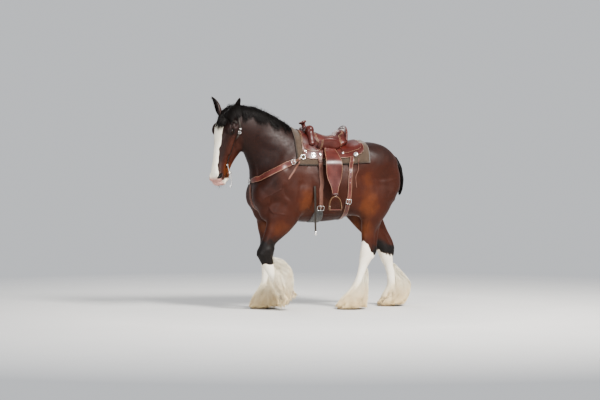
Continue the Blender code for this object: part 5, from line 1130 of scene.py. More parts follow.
def strands(name, paths, outward, half, patches, marks, tint, look):
    """Closed tapered tufts of hair, one along each path. outward is the flat side's direction, half the half
    width at each point but the tip, patches the root's place on the unwrap, marks and tint the colours."""
    count, steps = paths.shape[:2]
    run = np.empty_like(paths)
    run[:, 1:-1] = paths[:, 2:] - paths[:, :-2]
    run[:, 0], run[:, -1] = paths[:, 1] - paths[:, 0], paths[:, -1] - paths[:, -2]
    run = units(run)
    flat = units(outward - run * (outward * run).sum(-1, keepdims=True))
    side = np.cross(run, flat)
    body, wide = paths[:, :-1], half[:, : steps - 1, None]
    side, flat = side[:, :-1] * wide, flat[:, :-1] * wide * 0.7
    rings = np.stack([body - side, body + flat, body + side], 2)
    each = 3 * (steps - 1) + 1
    points = np.concatenate([rings.reshape(count, -1, 3), paths[:, -1:]], 1).reshape(-1, 3)
    first = np.arange(count)[:, None, None] * each
    level = (3 * np.arange(steps - 2))[:, None, None]
    pairs = np.array([(0, 1, 4, 3), (1, 2, 5, 4), (2, 0, 3, 5)])
    quads = (first[..., None] + (level + pairs[None])[None]).reshape(-1, 4)
    last = 3 * (steps - 2)
    ends = np.array([(0, 2, 1), *((last + a, last + b, each - 1) for a, b in ((0, 1), (1, 2), (2, 0)))])
    threes = (first + ends[None]).reshape(-1, 3)
    obj, corners = fast_mesh(name, points, quads, threes, look)
    along = np.repeat(np.arange(steps - 1) / (steps - 1), 3)
    along = np.append(along, 1.0)
    sideways = np.append(np.tile((-0.5, 0.0, 0.5), steps - 1), 0.0)
    patch = np.clip(patches, 0.002, 0.998)[:, None] + 0.003 * np.stack([sideways, along - 0.5], 1)[None]
    layer = obj.data.uv_layers.new(name="OFBake")
    layer.data.foreach_set("uv", patch.reshape(-1, 2)[corners].astype(np.float32).ravel())
    store(obj.data, "marks", np.repeat(marks, each, axis=0))
    full = np.zeros((count, each, 3))
    full[..., 0], full[..., 1], full[..., 2] = tint[:, :1], along[None], tint[:, 1:2]
    store(obj.data, "strand", full.reshape(-1, 3))
    return obj


def hair_look(name, rough=0.42, sheen=0.0, dark=0.34, gain=None):
    g = Graph(name)
    own, along, clump = g.split(g.attribute("strand", "Color"))
    color = coat_colour(g)
    shade = g.maths("ADD", g.spread(own, 0.0, 1.0, 0.0, 0.55), g.spread(clump, 0.0, 1.0, 0.0, 0.45))
    for share, tone in ((g.spread(shade, 0.1, 0.9, dark, 0.0), (0.34, 0.27, 0.20)),
                        (g.spread(along, 0.3, 1.0, 0.0, 0.32), (1.35, 1.22, 1.05))):
        color = g.mix(share, color, g.mix(1.0, color, tone, "MULTIPLY"))
    if gain:
        color = g.mix(1.0, color, gain, "MULTIPLY")
    fine = g.bump(g.noise(900.0, 1, 0.5), 0.10, 0.0005)
    return g.finish(color, g.spread(own, 0, 1, rough - 0.08, rough + 0.08), fine, Sheen_Weight=sheen,
                    Sheen_Roughness=0.4, Specular_IOR_Level=0.32)


COAT_HAIR = hair_look("coat_hair", dark=0.08)
FEATHER_HAIR = hair_look("feather_hair", 0.55, 0.05, 0.06, (1.12, 1.12, 1.08))
DARK_HAIR = hair_look("mane_hair", 0.40)
THIN = 1.0


def on_skin(points):
    """The nearest places on the skin, and their normals."""
    hits = [SKIN_TREE.find_nearest(p)[:2] for p in points.tolist()]
    return np.array([h[0] for h in hits]), np.array([h[1] for h in hits])


def shot(starts, ways):
    """Where rays meet the skin, and its normals there. A ray that misses takes the skin's nearest place."""
    spots, normals = [], []
    for start, way in zip(starts, ways):
        start, way = Vector(start), Vector(way)
        spot, normal = SKIN_TREE.ray_cast(start, way)[:2]
        if spot is None:
            spot, normal = SKIN_TREE.find_nearest(start + way * 0.3)[:2]
        spots.append(spot)
        normals.append(normal)
    return np.array(spots), np.array(normals)


def tapered(base, steps, power=0.8):
    """Half widths of each strand: narrow at the root, widest a third down, thin at the end."""
    s = np.linspace(0, 1, steps)
    return base[:, None] * (0.7 + 0.3 * np.clip(s / 0.3, 0, 1)) * np.clip(1.02 - s, 0, 1) ** power


# The feather: silky bells of long hair from below the knees and hocks down to the ground.
FEATHER = {
    "foreleg_left": [(-0.700, 0.50, -0.560, 0.56, 0.060), (-0.685, 0.40, -0.480, 0.52, 0.080),
                     (-0.655, 0.30, -0.415, 0.43, 0.100), (-0.600, 0.20, -0.390, 0.31, 0.115),
                     (-0.540, 0.125, -0.400, 0.205, 0.110)],
    "foreleg_right": [(-0.655, 0.42, -0.530, 0.42, 0.055), (-0.668, 0.31, -0.490, 0.31, 0.075),
                      (-0.695, 0.21, -0.455, 0.20, 0.100), (-0.745, 0.12, -0.432, 0.11, 0.130),
                      (-0.785, 0.03, -0.430, 0.03, 0.145)],
    "hindleg_left": [(0.305, 0.42, 0.440, 0.42, 0.055), (0.270, 0.31, 0.430, 0.31, 0.075),
                     (0.215, 0.21, 0.422, 0.20, 0.100), (0.125, 0.12, 0.420, 0.11, 0.130),
                     (0.065, 0.03, 0.410, 0.03, 0.145)],
    "hindleg_right": [(0.715, 0.44, 0.860, 0.45, 0.055), (0.740, 0.34, 0.945, 0.34, 0.075),
                      (0.745, 0.24, 1.010, 0.24, 0.095), (0.700, 0.13, 1.000, 0.12, 0.125),
                      (0.635, 0.03, 0.940, 0.03, 0.140)],
}
# The least and the most that hair goes past the end of the rows, and its slant there.
FEATHER_FALL = {"foreleg_left": (0.075, 0.125, 0.50), "foreleg_right": (0.004, 0.024, 0.0),
                "hindleg_left": (0.004, 0.024, 0.0), "hindleg_right": (0.004, 0.024, 0.0)}


def feather(name, count):
    sign = 1 if name.endswith("right") else -1
    rows = [((ax + bx) / 2, sign * LEG_OFFSET, (az + bz) / 2, (ax - bx) / 2, 0, (az - bz) / 2, w)
            for ax, az, bx, bz, w in FEATHER[name]]
    rows = spline(rows, ROW_GAP)
    reach = np.concatenate([[0], np.cumsum(np.linalg.norm(np.diff(rows[:, :3], axis=0), axis=1))])
    whole = reach[-1]
    low, high, backward = FEATHER_FALL[name]

    def spot(down, angle, share):
        beyond = np.clip(down - whole, 0, high)
        down = np.clip(down, -0.03, whole)
        at = np.stack([np.interp(down, reach, rows[:, i]) for i in range(7)], -1)
        rear = 0.5 - 0.5 * np.cos(angle)
        at[..., 2] -= np.minimum(down, 0) + beyond * (1 - 0.55 * rear * (backward > 0))
        at[..., 0] += backward * beyond * rear
        way = at[..., 3:6] * np.cos(angle)[..., None]
        way[..., 1] += sign * at[..., 6] * np.sin(angle)
        return at[..., :3] + way * share[..., None], way

    clumps = 260
    clump_angle = np.radians(RNG.uniform(0, 360, clumps))
    clump_down = RNG.uniform(-0.02, 0.97, clumps) * whole
    # Hair grows at the back of the cannon, and all round from the fetlock down.
    front = np.cos(clump_angle)
    kept = front < ramp(clump_down, 0.06 * whole, 0.44 * whole) * 2.1 - 0.95
    clump_angle, clump_down = clump_angle[kept], clump_down[kept]
    clump_length = RNG.uniform(0.13, 0.26, len(clump_angle))
    clump_share = RNG.uniform(0.62, 1.0, len(clump_angle)) ** 0.5
    clump_tint = RNG.uniform(0, 1, len(clump_angle))
    which = RNG.integers(0, len(clump_angle), count)
    start = np.clip(clump_down[which] + RNG.normal(0, 0.02, count), -0.02, 0.95 * whole)
    angle0 = clump_angle[which] + RNG.normal(0, 0.16, count)
    length = clump_length[which] * RNG.uniform(0.75, 1.15, count)
    end = np.minimum(start + length, whole + RNG.uniform(low, high, count))
    share = clump_share[which] * RNG.uniform(0.90, 1.03, count)
    steps = 5
    s = np.linspace(0, 1, steps)[None]
    down = start[:, None] + (end - start)[:, None] * s
    bend = RNG.normal(0, 0.10, len(clump_angle))[which][:, None]
    angle = angle0[:, None] + (clump_angle[which] - angle0)[:, None] * 0.72 * s ** 1.5 + bend * s * s
    angle += 0.03 * np.sin(9 * s + RNG.uniform(0, 6.3, count)[:, None])
    out = share[:, None] * np.interp(s, [0, 0.2, 0.4, 0.6, 0.8, 1], [0.35, 0.72, 0.92, 1.0, 1.01, 1.0])
    paths, way = spot(down, angle, out)
    root, normal = on_skin(paths[:, 0] * 0.9 + paths[:, 1] * 0.1)
    paths[:, 0] = root - 0.003 * normal
    paths[:, 1] = 0.45 * (root + 0.012 * normal) + 0.55 * paths[:, 1]
    floor_gap = RNG.uniform(0.002, 0.016, count)[:, None]
    paths[..., 2] = np.maximum(paths[..., 2], floor_gap + 0.004)
    half = tapered(RNG.uniform(0.0010, 0.0021, count), steps, 0.65)
    marks = markings(root)
    marks[:, 0], marks[:, 1] = 1.0, 0.0
    tint = np.stack([RNG.uniform(0, 1, count), clump_tint[which]], 1)
    patches = np.stack([np.mod(angle0, 2 * math.pi) / (2 * math.pi), (start + 0.03) / (whole + 0.03)], 1)
    strands("feather_" + name, paths, way, half, patches, marks, tint, FEATHER_HAIR)


for leg in FEATHER:
    feather(leg, int(8600 * THIN))


# The mane along the crest, to both sides, and the forelock between the ears.
def slid(root, normal, way, length, lift, sag, steps):
    """Paths that leave the skin and slide down it."""
    count = len(root)
    paths = np.empty((count, steps, 3))
    outs = np.empty_like(paths)
    paths[:, 0], outs[:, 0] = root - 0.004 * normal, normal
    here, way = root + 0.004 * normal, units(way)
    for k in range(1, steps):
        way = units(way + np.stack([0 * sag, 0 * sag, -sag], 1))
        here = here + way * (length / (steps - 1))[:, None]
        spot, normal = on_skin(here)
        above = ((here - spot) * normal).sum(-1)
        want = lift * (1.15 - 0.45 * k / (steps - 1))
        push = np.where(above < want, want - above, (want - above) * 0.35)
        here = here + normal * push[:, None]
        way = units(way - normal * ((way * normal).sum(-1) * 0.55)[:, None])
        paths[:, k], outs[:, k] = here, normal
    return paths, outs


def mane(count):
    top_x, top_z, low_x, low_z, y = CREST.T
    rows = np.stack([0.6 * top_x + 0.4 * low_x, y, 0.6 * top_z + 0.4 * low_z,
                     top_x - low_x, 0 * y, top_z - low_z], 1)
    clumps = 150
    place = np.sort(RNG.uniform(0.02, 5.95, clumps))
    left = RNG.uniform(0, 1, clumps) < 0.5
    slant = RNG.normal(0.30, 0.22, clumps)
    size = np.where(left, RNG.uniform(0.11, 0.23, clumps), RNG.uniform(0.20, 0.33, clumps))
    size *= 1 - 0.45 * ramp(place, 4.6, 6.0)
    tints = RNG.uniform(0, 1, clumps)
    which = RNG.integers(0, clumps, count)
    loose = RNG.normal(0, 0.16, count)
    share = np.clip(place[which] + loose, 0, 5.98)
    at = np.stack([np.interp(share, np.arange(7), rows[:, i]) for i in range(6)], 1)
    up = units(at[:, 3:])
    lean = np.where(left[which], -1, 1) * RNG.uniform(-0.06, 0.20, count)
    ray = units(up + lean[:, None] * np.array((0, 1, 0)))
    root, normal = shot(at[:, :3] + ray * 0.9, -ray)
    way = np.stack([slant[which] - 0.55 * loose + RNG.normal(0, 0.06, count),
                    np.where(left[which], -1.0, 1.0), RNG.uniform(0.0, 0.35, count)], 1)
    length = size[which] * RNG.uniform(0.7, 1.15, count)
    flyaway = RNG.uniform(0, 1, count) < 0.05
    lift = np.where(flyaway, RNG.uniform(0.015, 0.04, count), RNG.uniform(0.002, 0.016, count))
    sag = np.where(left[which], 0.30, 0.38) * RNG.uniform(0.8, 1.2, count)
    steps = 7
    paths, outs = slid(root, normal, way, length, lift, sag, steps)
    half = tapered(RNG.uniform(0.0012, 0.0024, count) * np.where(flyaway, 0.6, 1.0), steps, 0.75)
    marks = np.tile((0.0, 1.0, 0.0, 0.4), (count, 1))
    patches = np.stack([share / 6.0, 0.5 + 2.0 * lean], 1)
    obj = strands("mane_hair", paths, outs, half, patches, marks,
                  np.stack([RNG.uniform(0, 1, count), tints[which]], 1), DARK_HAIR)
    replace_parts(obj, "mane")


def forelock(count):
    clumps = 26
    sides = RNG.uniform(-0.05, 0.05, clumps)
    downs = RNG.uniform(-0.01, 0.06, clumps)
    which = RNG.integers(0, clumps, count)
    loose = RNG.normal(0, 0.009, count)
    side, down = sides[which] + loose, downs[which] + RNG.normal(0, 0.008, count)
    start = HEAD.out(np.stack([down, side, np.full(count, 0.3)], 1))
    root, normal = shot(start, np.tile(HEAD.turn((0, 0, -1)), (count, 1)))
    lean = 5.0 * side - 12.0 * loose + 0.1 * np.sin(9.0 * which) + RNG.normal(0, 0.04, count)
    way = np.stack([np.ones(count), lean, np.full(count, 0.15)], 1) @ HEAD.axes
    length = (0.20 - 0.9 * np.abs(side)) * RNG.uniform(0.7, 1.15, count)
    steps = 6
    lift = RNG.uniform(0.002, 0.014, count)
    paths, outs = slid(root, normal, way, length, lift, np.full(count, 0.05), steps)
    half = tapered(RNG.uniform(0.0011, 0.0021, count), steps, 0.75)
    obj = strands("forelock_hair", paths, outs, half, np.stack([0.5 + 8 * side, 0.2 + 8 * down], 1),
                  np.tile((0.0, 1.0, 0.0, 0.35), (count, 1)),
                  np.stack([RNG.uniform(0, 1, count), RNG.uniform(0, 1, clumps)[which]], 1), DARK_HAIR)
    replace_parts(obj, "forelock")


# The tail: a dock of flesh with hair falling from it.
TAIL = [(0.65, 1.625, 0.735, 1.645, 0.035), (0.735, 1.545, 0.800, 1.585, 0.045),
        (0.775, 1.450, 0.850, 1.480, 0.055), (0.790, 1.350, 0.868, 1.355, 0.058),
        (0.785, 1.260, 0.858, 1.255, 0.050), (0.790, 1.190, 0.835, 1.185, 0.030)]


def tail(count):
    dock = Grid((0.55, -0.12, 1.3), (0.92, 0.12, 1.72), 0.008)
    rows = []
    for ax, az, bx, bz, w in TAIL[:3]:
        rows.append((0.8 * ax + 0.2 * bx, 0.8 * az + 0.2 * bz, 0.2 * ax + 0.8 * bx, 0.2 * az + 0.8 * bz, 0,
                     w * 0.55))
    dock.add(Mass(rows, 0.02, 0.02))
    points, quads = surface_net(dock.field, dock.low, dock.step)
    flesh = new_mesh("tail_dock", points, quads, SKIN_LOOK)
    store(flesh.data, "marks", np.tile((0.0, 0.9, 0.0, 0.3), (len(points), 1)))
    level = np.arange(len(TAIL))
    fronts = np.array([(ax, 0, az) for ax, az, bx, bz, w in TAIL])
    backs = np.array([(bx, 0, bz) for ax, az, bx, bz, w in TAIL])
    wides = [row[4] for row in TAIL]
    clumps = 60
    lean0 = RNG.uniform(-1, 1, clumps)
    start0 = RNG.uniform(0.0, 2.3, clumps)
    end0 = np.minimum(start0 + RNG.uniform(2.2, 3.6, clumps), 5.0)
    which = RNG.integers(0, clumps, count)
    loose = RNG.normal(0, 0.12, count)
    start = np.clip(start0[which] + RNG.normal(0, 0.1, count), 0, 2.6)
    end = np.clip(end0[which] + RNG.normal(0, 0.22, count), 2.2, 5.0)
    steps = 7
    s = np.linspace(0, 1, steps)[None]
    at = start[:, None] + (end - start)[:, None] * s
    turn = (lean0[which][:, None] + loose[:, None] * (1 - 0.6 * s)) * 1.35
    share = RNG.uniform(0.5, 1.0, count)[:, None] ** 0.6
    share = share * np.interp(s, [0, 0.25, 0.6, 1.0], [0.45, 0.9, 1.0, 0.95])
    middle = np.stack([np.interp(at, level, ((fronts + backs) / 2)[:, i]) for i in range(3)], -1)
    back = np.stack([np.interp(at, level, ((backs - fronts) / 2)[:, i]) for i in range(3)], -1)
    wide = np.interp(at, level, wides)
    way = back * np.cos(turn)[..., None]
    way[..., 1] += wide * np.sin(turn) * 0.95
    paths = middle + way * share[..., None]
    paths[..., 1] += 0.006 * np.sin(5 * s + which[:, None])
    half = tapered(RNG.uniform(0.0013, 0.0024, count), steps, 0.7)
    patches = np.stack([0.5 + 0.45 * lean0[which] + 0.05 * loose, start / 3], 1)
    obj = strands("tail_hair", paths, way, half, patches, np.tile((0.0, 1.0, 0.0, 0.4), (count, 1)),
                  np.stack([RNG.uniform(0, 1, count), RNG.uniform(0, 1, clumps)[which]], 1), DARK_HAIR)
    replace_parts(obj, "tail")


mane(int(5200 * THIN))
forelock(int(1300 * THIN))
tail(int(2600 * THIN))


# Ears.
# From the ear's root to its tip: height, radius, the half angle that the cup covers, and the shift forwards.
EAR_ROWS = [(-0.045, 0.019, 178, 0), (-0.02, 0.023, 176, 0), (0.02, 0.028, 150, 0),
            (0.07, 0.032, 118, -0.004), (0.12, 0.028, 103, -0.004), (0.17, 0.016, 92, 0.004),
            (0.198, 0.003, 90, 0.012)]


def ear(name, base, up, open_to):
    base = np.array(HEAD.out(base))
    up = unit(HEAD.turn(up))
    face = HEAD.turn(open_to)
    face = unit(face - up * (face @ up))
    across = np.cross(up, face)
    key = np.array(EAR_ROWS)
    padded = np.vstack([2 * key[0] - key[1], key, 2 * key[-1] - key[-2]])
    points, marks = [], []
    for level in np.linspace(0, len(key) - 1, 27):
        i = min(int(level), len(key) - 2)
        height, radius, half, shift = between(padded[i:i + 4], level - i)
        middle = base + up * height + face * shift
        steps = np.linspace(-1, 1, 19)
        angle = np.radians(half * steps)[:, None]
        ways = across * np.sin(angle) - face * np.cos(angle)
        inner = np.maximum(radius - 0.0052 * (1 - 0.6 * steps ** 4), 0.0008)[:, None]
        points += [*(middle + ways * radius), *(middle + ways * inner)[::-1]]
        edge = np.tile(np.abs(steps), 2)
        inside = np.repeat((0.0, 1.0), 19)
        tip = ramp(np.array([height]), 0.10, 0.18)[0]
        black = np.clip(0.35 + 0.9 * ramp(edge, 0.78, 1.0) + 0.6 * tip + 0.35 * inside, 0, 1)
        marks.append(np.stack([0 * edge, black, 0 * edge, 0.30 + 0 * edge], 1))
    obj = turned(new_mesh("horse_" + name, points, tube_faces(27, 38), SKIN_LOOK))
    store(obj.data, "marks", np.vstack(marks))
    # Hair inside the cup and along its edges.
    count = int(420 * THIN)
    row = RNG.integers(3, 24, count)
    in_cup = RNG.uniform(0, 1, count) < 0.6
    column = np.where(in_cup, RNG.integers(20, 37, count), RNG.integers(0, 2, count) * 18)
    grid = np.array(points).reshape(27, 38, 3)
    root = grid[row, column]
    inward = units(base + up * 0.10 + face * 0.02 - root)
    steps = 4
    s = np.linspace(0, 1, steps)[None, :, None]
    way = units(inward * 0.45 + face * 0.5 + up * 0.8 + RNG.normal(0, 0.15, (count, 3)))
    length = RNG.uniform(0.010, 0.024, count)[:, None, None]
    paths = root[:, None] - inward[:, None] * 0.0008 + way[:, None] * s * length + up * 0.3 * length * s * s
    half = tapered(RNG.uniform(0.0004, 0.0008, count), steps)
    patches = np.stack([column / 38, row / 27], 1)
    strands("hair_" + name, paths, np.repeat(inward[:, None], steps, 1), half, patches,
            np.tile((0.0, 0.75, 0.0, 0.5), (count, 1)), RNG.uniform(0, 1, (count, 2)), COAT_HAIR)


ear("ear_left", (0.060, 0.073, -0.090), (-1.0, 0.08, -0.20), (0, 0.55, 0.8))
ear("ear_right", (0.048, -0.076, -0.038), (-1.0, -0.45, 0.43), (0, -0.30, 1.0))


def whiskers(count):
    """Long single hairs round the lips and the chin."""
    turn, down = RNG.uniform(-2.2, 2.2, count), RNG.uniform(0.66, 0.80, count)
    way = np.stack([0 * turn + 0.25, np.sin(turn), -np.cos(turn)], 1)
    middle = np.stack([down, 0 * down, 0 * down - 0.10], 1)
    root, normal = shot([HEAD.out(p) for p in middle + 0.3 * way], [HEAD.turn(-w) for w in way])
    s = np.linspace(0, 1, 5)[None, :, None]
    length = RNG.uniform(0.018, 0.050, count)[:, None, None]
    aim = units(normal + RNG.normal(0, 0.25, (count, 3)))[:, None]
    paths = root[:, None] - normal[:, None] * 0.002 + aim * s * length - s * s * length * (0, 0, 0.35)
    marks = np.tile((0.0, 0.7, 0.0, 0.3), (count, 1))
    tint = RNG.uniform(0, 1, (count, 2))
    patches = np.stack([0.5 + turn / 5, down], 1)
    half = tapered(RNG.uniform(0.00035, 0.00055, count), 5)
    strands("whiskers", paths, normal[:, None] + 0 * paths, half, patches, marks, tint, DARK_HAIR)


whiskers(int(190 * THIN))


# Hooves.
def horn_look():
    g = Graph("hoof_horn")
    place = g.attribute("horn", "Vector")
    down = g.split(place, "XYZ")[0]
    wave, grain = (g.noise(1.0, 3, 0.5, place, stretch) for stretch in ((34.0, 0.8, 0.0), (2.0, 60.0, 0.0)))
    color = g.mix(grain, (0.24, 0.185, 0.125), (0.42, 0.34, 0.24))
    color = g.mix(g.spread(wave, 0.35, 0.7, 0, 0.55), color, (0.15, 0.115, 0.080))
    color = g.mix(g.spread(down, 0.78, 1.0, 0.0, 0.6), color, (0.34, 0.27, 0.19))
    color = g.mix(g.spread(g.noise(30.0, 4), 0.5, 0.75, 0, 0.5), color, (0.50, 0.42, 0.31))
    normal = g.bump(grain, 0.25, 0.0008, g.bump(wave, 0.5, 0.0018))
    return g.finish(color, g.spread(grain, 0.2, 0.8, 0.42, 0.62), normal, Specular_IOR_Level=0.4)


HORN_LOOK = horn_look()
HOOVES = {
    "hoof_fore_right": ((-0.665, LEG_OFFSET, 0.0), 0),
    "hoof_fore_left": ((-0.445, -LEG_OFFSET, 0.130), 55),
    "hoof_hind_left": ((0.185, -LEG_OFFSET, 0.0), 0),
    "hoof_hind_right": ((0.735, LEG_OFFSET, 0.0), 0),
}
# From the ground up: the wall's length, width, height and shift to the rear.
HOOF_ROWS = [(0.205, 0.195, 0.0, 0.0), (0.202, 0.193, 0.012, 0.003), (0.170, 0.165, 0.080, 0.026),
             (0.150, 0.148, 0.098, 0.034)]


def hoof(name, place, turn):
    columns, key = 48, np.array(HOOF_ROWS)
    levels = np.linspace(0, 3, 19)
    rows = np.stack([np.interp(levels, range(4), key[:, i]) for i in range(4)], 1)
    rows = np.vstack([rows[0] * (0.80, 0.80, 1, 1), rows[0] * (0.965, 0.965, 1, 1),
                      rows[0] + (-0.002, -0.002, 0.002, 0), rows[1:], rows[-1] * (0.86, 0.86, 1, 1)])
    points, horn = [], []
    c, s = math.cos(math.radians(turn)), math.sin(math.radians(turn))
    for length, width, height, shift in rows:
        for i in range(columns):
            a = 2 * math.pi * (i + 0.5) / columns
            cut = -math.cos(a)
            cut = cut if cut < 0.70 else 0.70 + 0.08 * math.tanh((cut - 0.70) / 0.08)
            wave = 1 - 0.0035 + 0.0035 * math.sin(height * 420 + 0.5 * math.sin(3 * a)) * (0 < height < 0.095)
            x, y, z = cut * length / 2 * wave + shift, math.sin(a) * width / 2 * wave, height
            points.append((place[0] + c * x - s * z, place[1] + y, place[2] + s * x + c * z))
            horn.append((height / 0.1, i / columns * 3, 0))
    obj = turned(new_mesh("horn_" + name, points, tube_faces(len(rows), columns), HORN_LOOK))
    store(obj.data, "horn", np.array(horn))
    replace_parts(obj, name)


for hoof_name, (place, turn) in HOOVES.items():
    hoof(hoof_name, place, turn)


# Short hair where the coat breaks the form.
def coat_tufts(name, count, weights, flow, length, lean, unwrap, fine=1.0):
    """Thin overlapping tufts over part of the skin. weights and length are functions of points and normals,
    flow and unwrap of points."""
    mesh = skin.data
    areas, middles = np.empty(len(mesh.polygons)), np.empty(3 * len(mesh.polygons))
    normals = np.empty(3 * len(mesh.polygons))
    mesh.polygons.foreach_get("area", areas)
    mesh.polygons.foreach_get("center", middles)
    mesh.polygons.foreach_get("normal", normals)
    middles, normals = middles.reshape(-1, 3) - SHIFT, normals.reshape(-1, 3)
    share = areas * weights(middles, normals)
    face = RNG.choice(len(areas), count, p=share / share.sum())
    reach = np.sqrt(areas[face])[:, None]
    root, normal = on_skin(middles[face] + RNG.uniform(-0.6, 0.6, (count, 3)) * reach)
    way = flow(root)
    way = units(way - normal * (way * normal).sum(-1, keepdims=True) + RNG.normal(0, 0.12, (count, 3)))
    size = length(root, normal) * RNG.uniform(0.6, 1.25, count)
    steps = 4
    s = np.linspace(0, 1, steps)[None, :, None]
    rise = lean * RNG.uniform(0.5, 1.3, count)[:, None, None]
    paths = root[:, None] - 0.0012 * normal[:, None] + size[:, None, None] * (
        way[:, None] * s + normal[:, None] * (rise * s * (1.35 - 0.75 * s)))
    half = tapered(RNG.uniform(0.0006, 0.0011, count) * fine, steps, 0.8)
    strands(name, paths, np.repeat(normal[:, None], steps, 1), half, unwrap(root), markings(root),
            RNG.uniform(0, 1, (count, 2)), COAT_HAIR)


def body_flow(p):
    ways = np.tile((0.85, 0.0, -0.55), (len(p), 1))
    ways[p[:, 2] < 1.0] = (0.15, 0.0, -1.0)
    neck = (p[:, 0] < -0.45) & (p[:, 2] > 1.3)
    ways[neck] = (0.60, 0.0, -0.75)
    return ways


def head_flow(p):
    return np.tile(HEAD.turn((1.0, 0.0, -0.25)), (len(p), 1))


def is_head(p):
    local = on_head(p)
    return (p[:, 0] < -0.93) & (local[:, 0] > 0.0) & (local[:, 2] > -0.36)


def trunk_unwrap(p):
    angle = np.arctan2(p[:, 1], p[:, 2] - 1.30) / (2 * math.pi) + 0.5
    return np.stack([(p[:, 0] + 1.3) / 2.3, angle], 1)


def leg_unwrap(p):
    column = (p[:, 0] > 0) * 2 + (p[:, 1] > 0)
    middle = np.where(p[:, 0] > 0, 0.45, -0.55)
    angle = np.arctan2(np.abs(p[:, 1]) - LEG_OFFSET, p[:, 0] - middle) / (2 * math.pi) + 0.5
    return np.stack([(column + np.clip(angle, 0.01, 0.99)) / 4, p[:, 2] / 1.2], 1)


def head_unwrap(p):
    local = on_head(p)
    angle = np.arctan2(local[:, 1], local[:, 2] + 0.10) / (2 * math.pi) + 0.5
    return np.stack([local[:, 0] / 0.8, angle], 1)


coat_tufts("coat_trunk", int(10000 * THIN),
           lambda p, n: ~is_head(p) * (p[:, 2] > 0.95) * (0.35 + (n[:, 2] < -0.2)), body_flow,
           lambda p, n: 0.010 + 0.008 * ramp(-n[:, 2], 0.3, 0.9), 0.10, trunk_unwrap)
coat_tufts("coat_legs", int(8000 * THIN),
           lambda p, n: (p[:, 2] < 0.95) * (0.4 + (n[:, 0] > 0.3)) * (p[:, 2] > 0.1), body_flow,
           lambda p, n: 0.009 + 0.010 * ramp(n[:, 0], 0.3, 0.9), 0.10, leg_unwrap)
coat_tufts("coat_head", int(7500 * THIN), lambda p, n: is_head(p) * (1.0 + 2.0 * (on_head(p)[:, 2] < -0.2)),
           head_flow, lambda p, n: 0.005 + 0.008 * ramp(-on_head(p)[:, 2], 0.15, 0.30), 0.09, head_unwrap,
           fine=0.7)


# Leather, felt, webbing and steel.
def leather_look(name, dark, light, rough, thread=(0.42, 0.30, 0.18), stitched=True, coat=0.25):
    g = Graph(name)
    edge = g.split(g.attribute("strap", "Color"))[1]
    cells = g.add("ShaderNodeTexVoronoi", 0, {"Vector": g.place(), "Scale": 620.0})
    pores = g.noise(240.0, 3, 0.6)
    patches = g.noise(7.0, 4, 0.6)
    creases = g.noise(30.0, 4, 0.6, stretch=(1.0, 1.0, 0.4))
    color = g.mix(g.spread(patches, 0.32, 0.68), dark, light)
    color = g.mix(g.spread(pores, 0.42, 0.70, 0.0, 0.35), color, tuple(0.45 * v for v in dark))
    worn = g.maths("MULTIPLY", g.spread(edge, 0.0, 0.0045, 1.0, 0.0), g.spread(g.noise(26.0, 4), 0.45, 0.65))
    color = g.mix(g.spread(edge, 0.0, 0.0030, 0.75, 0.0), color, tuple(0.25 * v for v in dark))
    color = g.mix(g.maths("MULTIPLY", worn, 0.28), color, tuple(min(1.2 * v, 1.0) for v in light))
    color = g.mix(g.spread(creases, 0.60, 0.74, 0.0, 0.35), color, tuple(min(1.35 * v, 1.0) for v in light))
    normal = g.bump(cells, 0.16, 0.0006, g.bump(creases, 0.10, 0.0020))
    if stitched:
        seam = g.maths("ABSOLUTE", g.maths("SUBTRACT", edge, 0.0055, False))
        stitch = g.spread(seam, 0.0006, 0.0012, 1.0, 0.0)
        groove = g.spread(seam, 0.0008, 0.0022)
        color = g.mix(stitch, color, thread)
        normal = g.bump(g.maths("ADD", groove, stitch, False), 0.45, 0.0010, normal)
    tone = g.spread(patches, 0.3, 0.7, rough - 0.06, rough + 0.08)
    return g.finish(color, tone, normal, Coat_Weight=coat, Coat_Roughness=0.30, Specular_IOR_Level=0.42)


def metal_look(name, color, rough, dull):
    g = Graph(name)
    tarnish = g.noise(70.0, 5, 0.65)
    scratch = g.noise(300.0, 2, 0.5, stretch=(1.0, 0.12, 1.0))
    tone = g.mix(g.spread(tarnish, 0.48, 0.70, 0.0, 0.7), color, dull)
    normal = g.bump(scratch, 0.06, 0.0004)
    return g.finish(tone, g.spread(tarnish, 0.35, 0.7, rough, rough + 0.25), normal, Metallic=1.0)


def felt_look():
    g = Graph("felt")
    fuzz = g.noise(520.0, 4, 0.7)
    lumps = g.noise(26.0, 4, 0.6)
    stains = g.noise(5.0, 5, 0.6)
    color = g.mix(g.spread(lumps, 0.3, 0.7), (0.047, 0.029, 0.018), (0.076, 0.050, 0.033))
    color = g.mix(g.spread(fuzz, 0.4, 0.75, 0.0, 0.6), color, (0.106, 0.076, 0.054))
    color = g.mix(g.spread(stains, 0.5, 0.72, 0.0, 0.5), color, (0.050, 0.036, 0.027))
    normal = g.bump(fuzz, 0.6, 0.0016, g.bump(lumps, 0.25, 0.004))
    return g.finish(color, 0.95, normal, Sheen_Weight=0.3, Sheen_Roughness=0.6, Specular_IOR_Level=0.12)


def webbing_look():
    g = Graph("cinch_cords")
    along, _, across = g.split(g.attribute("strap", "Color"))
    lines = g.maths("SINE", g.maths("MULTIPLY", across, 2 * math.pi / 0.0065, False))
    slanted = g.maths("ADD", along, across, False)
    twist = g.maths("SINE", g.maths("MULTIPLY", slanted, 2 * math.pi / 0.004, False))
    color = g.mix(g.noise(60.0, 3), (0.030, 0.029, 0.028), (0.085, 0.080, 0.075))
    normal = g.bump(lines, 0.9, 0.0030, g.bump(twist, 0.4, 0.0008))
    return g.finish(color, 0.85, normal, Sheen_Weight=0.4, Specular_IOR_Level=0.2)


